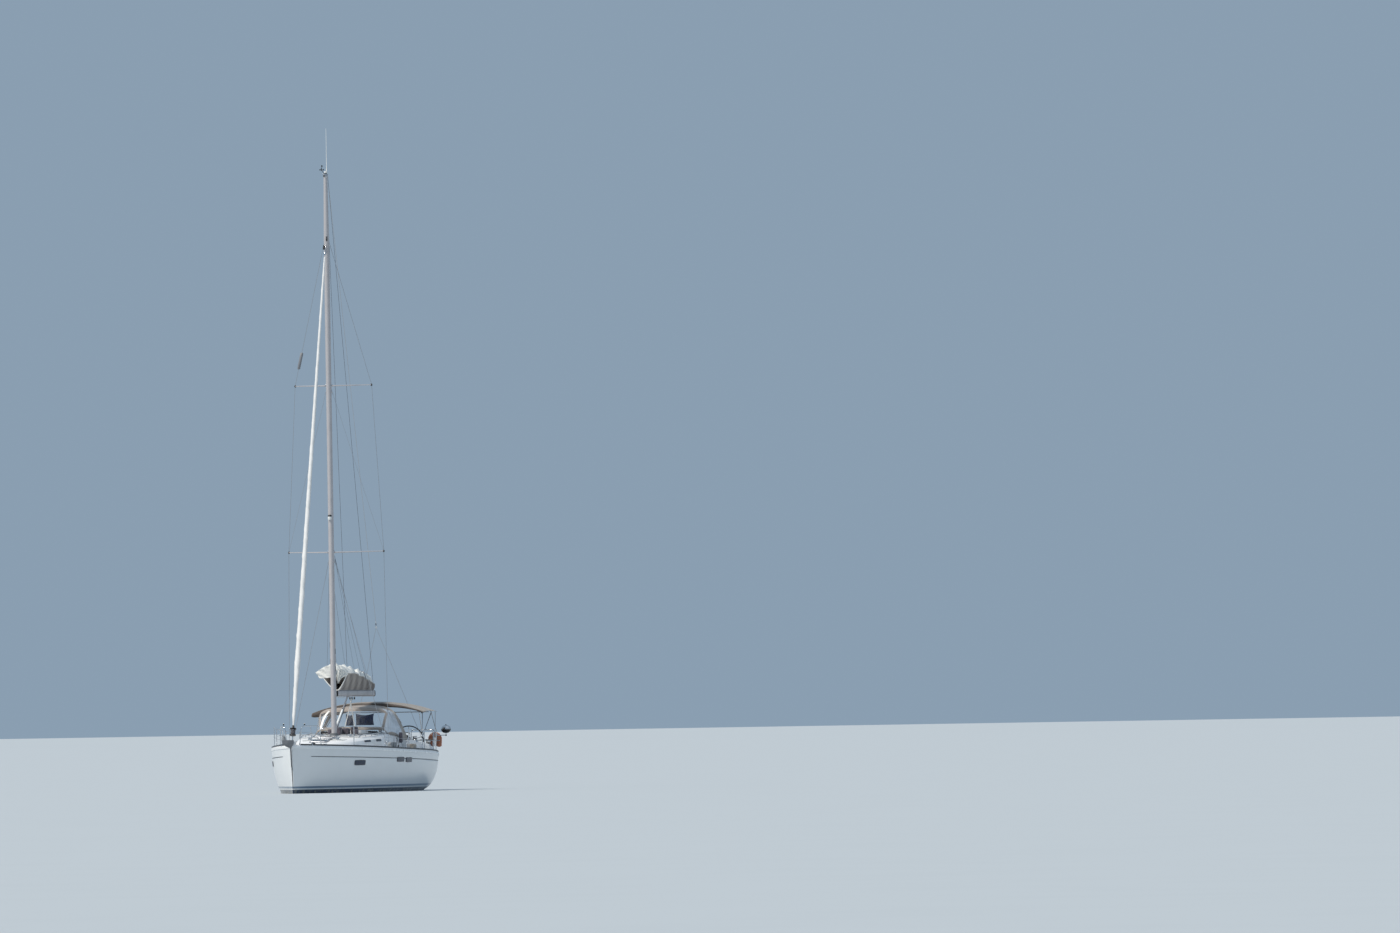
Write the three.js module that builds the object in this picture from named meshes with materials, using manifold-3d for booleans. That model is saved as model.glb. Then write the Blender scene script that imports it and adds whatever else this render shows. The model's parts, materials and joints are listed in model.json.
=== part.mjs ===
// A 12 m cruising sloop, afloat with her sails stowed.
// Units are millimetres. +X points forward, +Y to port, +Z up.
// The origin is on the waterline amidships, on the centreline.
// Places are given as (aft, port, up): aft is measured from the stem head, port from the centreline,
// and up from the waterline.

import * as THREE from 'three';
import { mergeVertices } from 'three/addons/utils/BufferGeometryUtils.js';
import Module from 'manifold-3d';

const wasm = await Module();
wasm.setup();

// Driving dimensions
const HULL_LENGTH = 12000;
const STEM_X = HULL_LENGTH / 2;
const GAP = 0.3;
const DECK_THICKNESS = 30;
const DECK_CAMBER = 40;

const MAST_AFT = 5220;
const MAST_TOP = 18130;
const HOUNDS_UP = 16100;
const MAST_LENGTHWAYS = 100;
const MAST_SIDEWAYS = 80;
const GOOSENECK_AFT = 5390;
const BOOM_UP = 2810;
const BOOM_DEPTH = 180;
const BOOM_END_AFT = 10100;
const CHAINPLATE = { aft: 5780, port: 1500 };
const SPREADERS = {
  lower: { up: 7040, port: 1420, sweep: 600 },
  upper: { up: 11930, port: 1140, sweep: 560 },
};
const WIRE_RADIUS = 6;

const BULKHEAD_AFT = 8300;
const WELL_SIDE = 330;
const SOLE_UP = 720;
const SEAT_UP = 1130;
const WHEEL = { aft: 10260, port: 1020, up: 1460, radius: 450 };
const RUDDER_STOCK_AFT = 11200;
const SHAFT = { aft: 9080, up: -800, radius: 230 };
const RAIL_UP = 600;
const TUBE_RADIUS = 13;

// Finishes
function paint(color, roughness, metalness = 0) {
  return new THREE.MeshStandardMaterial({ color, roughness, metalness });
}
const GELCOAT = paint(0xe9ecee, 0.3);
const DECK_WHITE = paint(0xe4e6e4, 0.55);
const TEAK = paint(0xb79f7c, 0.7);
const DARK_TRIM = paint(0x3b4046, 0.5);
const CAST_IRON = paint(0x26374d, 0.7);
const ALLOY = paint(0xb9bec2, 0.4, 0.8);
const STEEL = paint(0xc8ccd0, 0.25, 1);
const BLACK = paint(0x1c1d1f, 0.5);
const SMOKED = paint(0x2b3036, 0.15);
const TAUPE_CLOTH = paint(0x8d8376, 0.9);
const SAILCLOTH = paint(0xe8e8e2, 0.8);
const ORANGE = paint(0xe07a4a, 0.7);
const BRONZE = paint(0xa4895a, 0.35, 0.9);

// Hull lines, one row a station. aft: place at the sheer. rake: how much further aft the foot of the
// station lies. sheer: half-breadth and height at the deck edge. waterline: half-breadth afloat.
// keelUp: height of the canoe body's bottom.
const HULL_LINES = [
  { aft: 0, rake: 220, sheer: 22, sheerUp: 1410, waterline: 10, keelUp: -10 },
  { aft: 500, rake: 160, sheer: 330, sheerUp: 1396, waterline: 130, keelUp: -125 },
  { aft: 1000, rake: 100, sheer: 590, sheerUp: 1383, waterline: 320, keelUp: -235 },
  { aft: 2000, rake: 0, sheer: 1000, sheerUp: 1357, waterline: 720, keelUp: -380 },
  { aft: 3000, rake: 0, sheer: 1330, sheerUp: 1331, waterline: 1050, keelUp: -480 },
  { aft: 4000, rake: 0, sheer: 1570, sheerUp: 1304, waterline: 1300, keelUp: -540 },
  { aft: 5000, rake: 0, sheer: 1740, sheerUp: 1276, waterline: 1480, keelUp: -570 },
  { aft: 6000, rake: 0, sheer: 1870, sheerUp: 1248, waterline: 1600, keelUp: -570 },
  { aft: 7000, rake: 0, sheer: 1950, sheerUp: 1224, waterline: 1680, keelUp: -540 },
  { aft: 8000, rake: 0, sheer: 1980, sheerUp: 1204, waterline: 1700, keelUp: -480 },
  { aft: 9000, rake: 0, sheer: 1960, sheerUp: 1184, waterline: 1665, keelUp: -400 },
  { aft: 10000, rake: 0, sheer: 1880, sheerUp: 1160, waterline: 1490, keelUp: -300 },
  { aft: 11000, rake: 0, sheer: 1735, sheerUp: 1130, waterline: 1250, keelUp: -190 },
  { aft: 12000, rake: 0, sheer: 1500, sheerUp: 1095, waterline: 985, keelUp: -60 },
];

// Coachroof lines. foot: half-width at the deck. top: half-width at the roof's edge. topUp: roof height.
const ROOF_LINES = [
  { aft: 2650, foot: 330, top: 250, topUp: 1400 },
  { aft: 3100, foot: 590, top: 480, topUp: 1460 },
  { aft: 3700, foot: 850, top: 710, topUp: 1525 },
  { aft: 4500, foot: 1080, top: 930, topUp: 1600 },
  { aft: 5300, foot: 1210, top: 1060, topUp: 1645 },
  { aft: 6300, foot: 1280, top: 1130, topUp: 1685 },
  { aft: 7300, foot: 1310, top: 1160, topUp: 1720 },
  { aft: BULKHEAD_AFT, foot: 1320, top: 1170, topUp: 1745 },
];

// Geometry helpers
function at(aft, port, up) {
  return new THREE.Vector3(STEM_X - aft, port, up);
}

// Smooth curve through one column of a table of lines
function curve(table, column) {
  const slopes = table.map((row, i) => {
    const before = table[Math.max(i - 1, 0)];
    const after = table[Math.min(i + 1, table.length - 1)];
    return (after[column] - before[column]) / (after.aft - before.aft);
  });
  return (aft) => {
    let i = 0;
    while (i < table.length - 2 && aft > table[i + 1].aft) i += 1;
    const span = table[i + 1].aft - table[i].aft;
    const t = THREE.MathUtils.clamp((aft - table[i].aft) / span, 0, 1);
    const rise = table[i + 1][column] - table[i][column];
    const bend = t * (1 - t) * ((1 - t) * (slopes[i] * span - rise) - t * (slopes[i + 1] * span - rise));
    return table[i][column] + t * rise + bend;
  };
}

// A closed mesh becomes a solid for joining and cutting
function solid(geometry) {
  const bare = new THREE.BufferGeometry();
  bare.setAttribute('position', geometry.getAttribute('position').clone());
  if (geometry.index) bare.setIndex(geometry.index.clone());
  const merged = mergeVertices(bare, 1e-3);
  const corners = merged.index.array;
  const kept = [];
  for (let i = 0; i < corners.length; i += 3) {
    const [a, b, c] = [corners[i], corners[i + 1], corners[i + 2]];
    if (a !== b && b !== c && c !== a) kept.push(a, b, c);
  }
  const result = new wasm.Manifold(new wasm.Mesh({
    numProp: 3,
    vertProperties: new Float32Array(merged.attributes.position.array),
    triVerts: new Uint32Array(kept),
  }));
  return result;
}

function join(...solids) {
  return solids.reduce((whole, piece) => whole.add(piece));
}

function cut(whole, ...tools) {
  return tools.reduce((rest, tool) => rest.subtract(tool), whole);
}

function mirrored(piece) {
  return piece.mirror([0, 1, 0]);
}

// What is left of a piece that stands on its supports, with the gap between touching pieces
function standing(piece, ...supports) {
  return largest(cut(piece, ...supports, ...supports.map((support) => support.translate([0, 0, GAP]))));
}

// What is left of a piece that fits down into its supports, with the gap on all sides too
function fitted(piece, ...supports) {
  const shifts = [[GAP, 0, 0], [-GAP, 0, 0], [0, GAP, 0], [0, -GAP, 0]];
  const sides = supports.flatMap((support) => shifts.map((shift) => support.translate(shift)));
  return standing(cut(piece, ...sides), ...supports);
}

// What is left of a piece that hangs under its supports
function hanging(piece, ...supports) {
  return largest(cut(piece, ...supports, ...supports.map((support) => support.translate([0, 0, -GAP]))));
}

function largest(pieces) {
  return pieces.decompose().reduce((best, part) => (part.volume() > best.volume() ? part : best));
}

// A closed body through equal closed rings of points, with both ends capped
function loft(rings) {
  const count = rings[0].length;
  const positions = rings.flat().flatMap((point) => [point.x, point.y, point.z]);
  const index = [];
  for (let i = 0; i < rings.length - 1; i += 1) {
    for (let j = 0; j < count; j += 1) {
      const [a, b] = [i * count + j, i * count + ((j + 1) % count)];
      index.push(a, b, b + count, a, b + count, a + count);
    }
  }
  const first = capTriangles(rings[0]);
  const last = capTriangles(rings[rings.length - 1]);
  const shift = (rings.length - 1) * count;
  first.forEach(([a, b, c]) => index.push(a, c, b));
  last.forEach(([a, b, c]) => index.push(shift + a, shift + b, shift + c));
  return solid(facingOut(positions, index));
}

// Triangles of a flat ring, turned the way the ring runs
function capTriangles(ring) {
  const normal = new THREE.Vector3();
  ring.forEach((point, i) => {
    normal.add(new THREE.Vector3().crossVectors(point, ring[(i + 1) % ring.length]));
  });
  normal.normalize();
  const side = new THREE.Vector3(Math.abs(normal.x) > 0.8 ? 0 : 1, Math.abs(normal.x) > 0.8 ? 1 : 0, 0);
  const u = new THREE.Vector3().crossVectors(side, normal).normalize();
  const v = new THREE.Vector3().crossVectors(normal, u);
  const flat = ring.map((point) => new THREE.Vector2(point.dot(u), point.dot(v)));
  return THREE.ShapeUtils.triangulateShape(flat, []);
}

function facingOut(positions, index) {
  const point = (i) => new THREE.Vector3().fromArray(positions, i * 3);
  let volume = 0;
  for (let i = 0; i < index.length; i += 3) {
    volume += point(index[i]).dot(point(index[i + 1]).cross(point(index[i + 2])));
  }
  if (volume < 0) index.reverse();
  const geometry = new THREE.BufferGeometry();
  geometry.setAttribute('position', new THREE.Float32BufferAttribute(positions, 3));
  geometry.setIndex(index);
  return geometry;
}

// A sheet of even thickness from an open grid of points, inwards being towards the middle point
function sheet(grid, thickness, middle) {
  const rows = grid.length;
  const columns = grid[0].length;
  const { clamp } = THREE.MathUtils;
  const pick = (i, j) => grid[clamp(i, 0, rows - 1)][clamp(j, 0, columns - 1)];
  const inner = grid.map((row, i) => row.map((point, j) => {
    const along = pick(i + 1, j).clone().sub(pick(i - 1, j));
    const across = pick(i, j + 1).clone().sub(pick(i, j - 1));
    const normal = along.cross(across).normalize();
    if (normal.dot(middle.clone().sub(point)) < 0) normal.negate();
    return point.clone().addScaledVector(normal, thickness);
  }));
  return loft(grid.map((row, i) => [...row, ...inner[i].slice().reverse()]));
}

function box(aft, port, up) {
  const [length, width, height] = [aft[1] - aft[0], port[1] - port[0], up[1] - up[0]];
  const geometry = new THREE.BoxGeometry(length, width, height);
  const middle = at((aft[0] + aft[1]) / 2, (port[0] + port[1]) / 2, (up[0] + up[1]) / 2);
  return solid(geometry.translate(middle.x, middle.y, middle.z));
}

// A plate of the given (aft, port) outline between two heights
function plate(outline, low, high) {
  const shape = new THREE.Shape(outline.map(([aft, port]) => new THREE.Vector2(STEM_X - aft, port)));
  const geometry = new THREE.ExtrudeGeometry(shape, { depth: high - low, bevelEnabled: false });
  return solid(geometry.translate(0, 0, low));
}

// A straight round bar, thinner at one end where two radii are given
function bar(from, to, radius, endRadius = radius, sides = 10) {
  const run = to.clone().sub(from);
  const geometry = new THREE.CylinderGeometry(endRadius, radius, run.length(), sides);
  const turn = new THREE.Quaternion().setFromUnitVectors(new THREE.Vector3(0, 1, 0), run.clone().normalize());
  geometry.applyQuaternion(turn);
  const middle = from.clone().add(to).multiplyScalar(0.5);
  return solid(geometry.translate(middle.x, middle.y, middle.z));
}

// A round tube along a chain of points, mitred at each bend
function tube(points, radius, sides = 8) {
  const rings = [];
  let side = null;
  points.forEach((point, i) => {
    const into = point.clone().sub(points[Math.max(i - 1, 0)]).normalize();
    const out = points[Math.min(i + 1, points.length - 1)].clone().sub(point).normalize();
    const ahead = i === 0 ? out.clone() : into.clone();
    const mitre = ahead.clone().add(i === points.length - 1 ? into : out).normalize();
    if (side === null) {
      side = new THREE.Vector3(0.31, 0.27, 0.91).cross(ahead).normalize();
    } else {
      side = side.clone().addScaledVector(ahead, -side.dot(ahead)).normalize();
    }
    const other = ahead.clone().cross(side);
    const ring = [];
    for (let k = 0; k < sides; k += 1) {
      const angle = (2 * Math.PI * k) / sides;
      const reach = side.clone().multiplyScalar(Math.cos(angle) * radius)
        .addScaledVector(other, Math.sin(angle) * radius);
      const slide = -reach.dot(mitre) / ahead.dot(mitre);
      ring.push(point.clone().add(reach).addScaledVector(ahead, slide));
    }
    rings.push(ring);
  });
  return loft(rings);
}

// Points of a round arc about a middle, from one angle to another, in the plane of two directions
function arc(middle, first, second, radius, from, to, steps) {
  return Array.from({ length: steps + 1 }, (_, i) => {
    const angle = from + ((to - from) * i) / steps;
    return middle.clone().addScaledVector(first, radius * Math.cos(angle))
      .addScaledVector(second, radius * Math.sin(angle));
  });
}

const yacht = new THREE.Group();
function geometryOf(piece) {
  const { vertProperties, triVerts } = piece.getMesh();
  const geometry = new THREE.BufferGeometry();
  geometry.setAttribute('position', new THREE.BufferAttribute(vertProperties, 3));
  geometry.setIndex(new THREE.BufferAttribute(triVerts, 1));
  return geometry;
}

function show(name, piece, material) {
  const clean = largest(solid(geometryOf(piece)));
  const mesh = new THREE.Mesh(geometryOf(clean), material);
  mesh.name = name;
  yacht.add(mesh);
}

// Hull
const sheerHalf = curve(HULL_LINES, 'sheer');
const sheerUp = curve(HULL_LINES, 'sheerUp');
const waterlineHalf = curve(HULL_LINES, 'waterline');
const keelUp = curve(HULL_LINES, 'keelUp');
const stemRake = curve(HULL_LINES, 'rake');
const TOPSIDE_POWER = 1.9;
const SECTION_STEPS = 10;
const SECTION_SPACING = 2.6;

// Half-breadth of a section: half * (1 - (1 - rise)^1.9)^(1/bilge), with the bilge power fitted so that
// the section passes through the waterline half-breadth
function sectionHalf(aft, rise) {
  const depth = sheerUp(aft) - keelUp(aft);
  const afloat = 1 - (1 - -keelUp(aft) / depth) ** TOPSIDE_POWER;
  const bilge = Math.log(afloat) / Math.log(waterlineHalf(aft) / sheerHalf(aft));
  return sheerHalf(aft) * (1 - (1 - rise) ** TOPSIDE_POWER) ** (1 / bilge);
}

function hullRing(aft) {
  const low = keelUp(aft);
  const high = sheerUp(aft);
  const port = [];
  for (let k = 1; k <= SECTION_STEPS; k += 1) {
    const rise = (k / SECTION_STEPS) ** SECTION_SPACING;
    const up = Math.min(low + rise * (high - low), high - DECK_THICKNESS);
    port.push({ aft: aft + stemRake(aft) * (1 - rise), port: sectionHalf(aft, rise), up });
  }
  const keel = at(aft + stemRake(aft), 0, low);
  const left = port.map((p) => at(p.aft, p.port, p.up));
  const right = port.map((p) => at(p.aft, -p.port, p.up)).reverse();
  return [keel, ...left, ...right];
}

const STATIONS = [0, 120, 300, 500, 750, 1000, 1500, 2000, 2500, 3000, 3500, 4000, 4750, 5500, 6250, 7000,
  7750, 8500, 9250, 10000, 10500, 11000, 11500, HULL_LENGTH];
const hullBody = loft(STATIONS.map(hullRing));

// The deck's top rises in a parabola from its edge to the centreline
function deckTop(aft, port) {
  const across = port / sheerHalf(aft);
  return sheerUp(aft) + DECK_CAMBER * Math.min(1, sheerHalf(aft) / 1500) * (1 - across * across);
}

const DECK_POINTS = [-1, -0.75, -0.45, 0, 0.45, 0.75, 1];
const deckBody = loft(STATIONS.map((aft) => {
  const half = sheerHalf(aft);
  const under = sheerUp(aft) - DECK_THICKNESS + GAP;
  const top = DECK_POINTS.map((share) => at(aft, share * half, deckTop(aft, share * half)));
  return [...top, at(aft, half, under), at(aft, -half, under)];
}));

// Cockpit moulding: its outline on the centreline side is open to the transom platform
const COCKPIT_OUTLINE = [
  [BULKHEAD_AFT + 30, 1360], [9850, 1360], [10000, 1600], [10900, 1530], [11900, 1310],
];
function cockpitOutline(inset) {
  const side = COCKPIT_OUTLINE.map(([aft, port], i) => {
    const shift = i === 0 ? inset : (i === COCKPIT_OUTLINE.length - 1 ? -inset : 0);
    const turn = i === 1 || i === 2 ? inset : 0;
    return [aft + shift + turn, port - inset];
  });
  return [...side, ...side.slice().reverse().map(([aft, port]) => [aft, -port])];
}
const TUB_WALL = 45;
const TUB_LOW = SOLE_UP - 50;
const COAMING_UP = 1480;
const cockpitRoom = plate(cockpitOutline(0), TUB_LOW - GAP, COAMING_UP + 500);
const PLATFORM = { side: 620, low: 420, thickness: 60, edge: 8 };
const PLATFORM_HIGH = 1110;
const platformRoom = box(
  [HULL_LENGTH - PLATFORM.thickness - PLATFORM.edge, HULL_LENGTH + 100],
  [-PLATFORM.side - PLATFORM.edge, PLATFORM.side + PLATFORM.edge],
  [PLATFORM.low - PLATFORM.edge - 22, COAMING_UP],
);
const passage = box([11800, HULL_LENGTH], [-WELL_SIDE - 120, WELL_SIDE + 120], [SOLE_UP, COAMING_UP + 200]);

// Companionway well over the engine space
const WELL_AFT = 7620;
const WELL_LOW = 480;
const well = box([WELL_AFT, BULKHEAD_AFT - 60], [-WELL_SIDE, WELL_SIDE], [WELL_LOW, 2200]);
const ENGINE = { aft: [7660, 8200], port: [-270, 270], up: [-330, 400] };
const engineSpace = box([7640, 8220], [-290, 290], [-345, WELL_LOW + 1]);
const stockTube = bar(at(RUDDER_STOCK_AFT, 0, -400), at(RUDDER_STOCK_AFT, 0, 430), 46, 46, 16);

const hull = cut(hullBody, cockpitRoom, platformRoom, passage, well, engineSpace, stockTube);
show('hull', hull, GELCOAT);
const deck = cut(deckBody, cockpitRoom, platformRoom, passage, well);
show('deck', deck, DECK_WHITE);

// Coachroof
const roofFoot = curve(ROOF_LINES, 'foot');
const roofHalf = curve(ROOF_LINES, 'top');
const roofUp = curve(ROOF_LINES, 'topUp');
const ROOF_STATIONS = [2650, 2850, 3100, 3500, 4000, 4500, 5300, 6300, 7300, BULKHEAD_AFT];
const ROOF_CAMBER = 35;
const ROOF_POINTS = [1, 0.94, 0.7, 0.35, 0, -0.35, -0.7, -0.94, -1];
function roofTop(aft, port) {
  const across = port / roofHalf(aft);
  return roofUp(aft) - ROOF_CAMBER * across * across;
}
const roofBody = loft(ROOF_STATIONS.map((aft) => {
  const foot = sheerUp(aft) - 5;
  const edgeDrop = 0.22 * (roofUp(aft) - foot);
  const top = ROOF_POINTS.map((share) => {
    const port = share * roofHalf(aft);
    const drop = Math.abs(share) === 1 ? edgeDrop : 0;
    return at(aft, port * (Math.abs(share) === 1 ? 1.03 : 1), roofTop(aft, port) - drop);
  });
  return [at(aft, roofFoot(aft), foot), ...top, at(aft, -roofFoot(aft), foot)];
}));
const GARAGE = { aft: [6850, 7580], side: 430, height: 85 };
const garage = box(GARAGE.aft, [-GARAGE.side, GARAGE.side], [1600, roofUp(7300) + GARAGE.height]);
const HATCH_SLOT = { side: 390, low: roofUp(BULKHEAD_AFT) + 6, high: roofUp(BULKHEAD_AFT) + 48 };
const slot = box([6880, 7700], [-HATCH_SLOT.side, HATCH_SLOT.side], [HATCH_SLOT.low - 35, HATCH_SLOT.high]);
const mastStep = bar(at(MAST_AFT, 0, 1560), at(MAST_AFT, 0, roofUp(MAST_AFT) + 12), 150, 150, 16);
const coachroof = standing(cut(join(roofBody, garage, mastStep), slot,
  box([WELL_AFT, BULKHEAD_AFT + 50], [-WELL_SIDE, WELL_SIDE], [1100, 2200])), deckBody, hullBody);
show('coachroof', coachroof, DECK_WHITE);

// Cockpit moulding
const COAMING_TOP = [
  { aft: BULKHEAD_AFT, high: 1500 }, { aft: 9400, high: 1480 }, { aft: 10700, high: 1400 },
  { aft: 11400, high: 1260 }, { aft: HULL_LENGTH, high: 1215 },
];
const coamingHigh = curve(COAMING_TOP, 'high');
const tubSolid = plate(cockpitOutline(GAP), TUB_LOW, COAMING_UP + 60);
const FLANGE_STATIONS = [BULKHEAD_AFT + 30 + GAP, 9000, 9850, 10050, 10900, 11500, 11900 - GAP];
const coamingFlange = loft(FLANGE_STATIONS.map((aft) => {
  const half = Math.min(sheerHalf(aft) - 120, aft < 9900 ? 1500 : 1720);
  return [at(aft, half, 1060), at(aft, half - 40, 1600), at(aft, -half + 40, 1600), at(aft, -half, 1060)];
}));
const tubRoom = plate(cockpitOutline(TUB_WALL), SOLE_UP, 2200);
const SEAT = { aft: [BULKHEAD_AFT + 75, 9820], inner: 640, outer: 1316 };
const seat = box([SEAT.aft[0] - 10, SEAT.aft[1]], [SEAT.inner, SEAT.outer + 30], [SOLE_UP - 10, SEAT_UP]);
const HELM_SEAT = { aft: [11250, 11890], inner: 460, outer: 1290 };
const helmSeat = box(HELM_SEAT.aft, [HELM_SEAT.inner, HELM_SEAT.outer], [SOLE_UP - 10, SEAT_UP]);
const bridge = box([BULKHEAD_AFT + 40, BULKHEAD_AFT + 330], [-700, 700], [SOLE_UP - 10, SEAT_UP - 40]);
const coamingTrim = loft([BULKHEAD_AFT, 9000, 9900, 10700, 11400, HULL_LENGTH].map((aft) => {
  const high = coamingHigh(aft);
  return [at(aft, 2200, high), at(aft, 2200, 2300), at(aft, -2200, 2300), at(aft, -2200, high)];
}));
const WINCHES = [{ aft: 9350, port: 1425, up: 1480 }, { aft: 10150, port: 1640, up: 1440 }];
function winch({ aft, port, up }) {
  return join(
    bar(at(aft, port, up - 60), at(aft, port, up + 60), 75, 60, 14),
    bar(at(aft, port, up + 55), at(aft, port, up + 130), 52, 68, 14),
  );
}
const winches = WINCHES.map(winch);
const coamings = cut(coamingFlange, tubRoom, plate(cockpitOutline(TUB_WALL), 0, 2200));
const tubShell = cut(join(cut(tubSolid, tubRoom), coamings), coamingTrim);
const companionPass = box([BULKHEAD_AFT, BULKHEAD_AFT + 200], [-WELL_SIDE, WELL_SIDE], [SEAT_UP - 40, 2200]);
const tubWhole = cut(
  join(tubShell, seat, mirrored(seat), helmSeat, mirrored(helmSeat), bridge, ...winches,
    ...winches.map(mirrored)),
  passage, companionPass,
);
const deckRing = cut(deckBody, cockpitRoom);
const cockpit = fitted(tubWhole, deckRing, cut(hullBody, cockpitRoom));
show('cockpit', cockpit, DECK_WHITE);

// Companionway: steps over the engine, washboard and sliding hatch
const stepTread = (aft, up) => box([aft, 8220], [-WELL_SIDE + 25, WELL_SIDE - 25], [WELL_LOW + GAP, up]);
show('companion_steps', join(stepTread(7640, 640), stepTread(7840, 880), stepTread(8040, 1110)), TEAK);
show('engine', box(ENGINE.aft, ENGINE.port, ENGINE.up), CAST_IRON);
const BOARD_SIDE = WELL_SIDE - 1;
const washboard = box([BULKHEAD_AFT - 40, BULKHEAD_AFT - 15], [-BOARD_SIDE, BOARD_SIDE], [1095, 1735]);
show('washboard', standing(washboard, hullBody, deckBody), SMOKED);
const COMPANION_HATCH = { aft: [7500, BULKHEAD_AFT + 15], side: 372 };
show('companion_hatch', box(COMPANION_HATCH.aft, [-COMPANION_HATCH.side, COMPANION_HATCH.side],
  [HATCH_SLOT.low, HATCH_SLOT.high - 10]), SMOKED);

// Toe rails along the deck's edge
const TOE_RAIL = { width: 34, height: 45 };
const toeRail = standing(loft([345, ...STATIONS.slice(3)].map((aft) => {
  const half = sheerHalf(aft);
  const low = sheerUp(aft) - 4;
  const high = sheerUp(aft) + TOE_RAIL.height;
  return [at(aft, half, low), at(aft, half, high), at(aft, half - TOE_RAIL.width, high),
    at(aft, half - TOE_RAIL.width, low)];
})), deck);
show('toe_rail_port', toeRail, DARK_TRIM);
show('toe_rail_starboard', mirrored(toeRail), DARK_TRIM);

// Keel: a cast fin with a flat-bottomed bulb
const FIN = [
  { up: -400, front: 5150, back: 6950, half: 95 }, { up: -600, front: 5170, back: 6930, half: 92 },
  { up: -1300, front: 5420, back: 6760, half: 75 }, { up: -1900, front: 5600, back: 6640, half: 68 },
];
const FOIL = [[0, 0], [0.03, 0.4], [0.12, 0.78], [0.32, 1], [0.6, 0.8], [0.85, 0.32], [1, 0.05]];
function foilRing(front, back, half, up) {
  const chord = back - front;
  const left = FOIL.map(([share, width]) => at(front + share * chord, width * half, up));
  const right = FOIL.slice(1).reverse().map(([share, width]) => at(front + share * chord, -width * half, up));
  return [...left, ...right];
}
const fin = loft(FIN.map(({ up, front, back, half }) => foilRing(front, back, half, up)));
const KEEL_BOTTOM = -2100;
const BULB = [
  { aft: 5020, half: 40, high: -1960 }, { aft: 5200, half: 150, high: -1880 },
  { aft: 5600, half: 215, high: -1830 }, { aft: 6300, half: 200, high: -1830 },
  { aft: 6900, half: 130, high: -1880 }, { aft: 7300, half: 40, high: -1960 },
];
const bulb = loft(BULB.map(({ aft, half, high }) => [at(aft, half * 0.8, KEEL_BOTTOM), at(aft, half, -2020),
  at(aft, half * 0.8, high - 40), at(aft, half * 0.35, high), at(aft, -half * 0.35, high),
  at(aft, -half * 0.8, high - 40), at(aft, -half, -2020), at(aft, -half * 0.8, KEEL_BOTTOM)]));
show('keel', hanging(join(fin, bulb), hullBody), CAST_IRON);

// Saildrive leg and propeller
const leg = loft([
  { up: -330, front: 8870, back: 9050, half: 60 }, { up: -560, front: 8880, back: 9050, half: 45 },
  { up: SHAFT.up - 150, front: 8900, back: 9030, half: 40 },
].map(({ up, front, back, half }) => foilRing(front, back, half, up)));
const gearcase = bar(at(8840, 0, SHAFT.up), at(SHAFT.aft, 0, SHAFT.up), 50, 58, 14);
const legNose = bar(at(8840, 0, SHAFT.up), at(8770, 0, SHAFT.up), 50, 12, 14);
show('saildrive_leg', hanging(join(leg, gearcase, legNose), hullBody), ALLOY);
const blade = loft([
  { reach: 30, twist: 60, chord: 45, half: 9 }, { reach: 90, twist: 45, chord: 105, half: 8 },
  { reach: 160, twist: 34, chord: 115, half: 6 }, { reach: SHAFT.radius, twist: 27, chord: 60, half: 4 },
].map(({ reach, twist, chord, half }) => [[-1, 0], [0, -1], [1, 0], [0, 1]].map(([along, across]) => {
  const turn = THREE.MathUtils.degToRad(twist);
  const [x, y] = [along * chord / 2, across * half];
  return at(SHAFT.aft + 70 + x * Math.sin(turn) - y * Math.cos(turn), x * Math.cos(turn) + y * Math.sin(turn),
    SHAFT.up + reach);
})));
const hub = join(bar(at(SHAFT.aft + 6, 0, SHAFT.up), at(SHAFT.aft + 115, 0, SHAFT.up), 55, 48, 14),
  bar(at(SHAFT.aft + 115, 0, SHAFT.up), at(SHAFT.aft + 165, 0, SHAFT.up), 48, 14, 14));
function aboutShaft(piece, degrees) {
  const offset = [-(STEM_X - SHAFT.aft), 0, -SHAFT.up];
  return piece.translate(offset).rotate([degrees, 0, 0]).translate(offset.map((value) => -value));
}
show('propeller', join(hub, blade, aboutShaft(blade, 180)), BRONZE);

// Spade rudder on its stock
const RUDDER = [
  { up: -215, front: 10960, back: 11560, half: 52 }, { up: -700, front: 10975, back: 11560, half: 48 },
  { up: -1300, front: 11020, back: 11500, half: 36 }, { up: -1750, front: 11080, back: 11400, half: 24 },
];
const rudderTop = loft([[10900, -260], [11640, -150]].map(([aft, up]) => [at(aft, 200, up), at(aft, 200, 100),
  at(aft, -200, 100), at(aft, -200, up)]));
const rudderBlade = cut(loft([{ ...RUDDER[0], up: -100 }, ...RUDDER].map(({ up, front, back, half }) => (
  foilRing(front, back, half, up)))), rudderTop);
const rudderStock = bar(at(RUDDER_STOCK_AFT, 0, -400), at(RUDDER_STOCK_AFT, 0, 400), 40, 40, 16);
show('rudder', join(rudderBlade, rudderStock), CAST_IRON);

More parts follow.
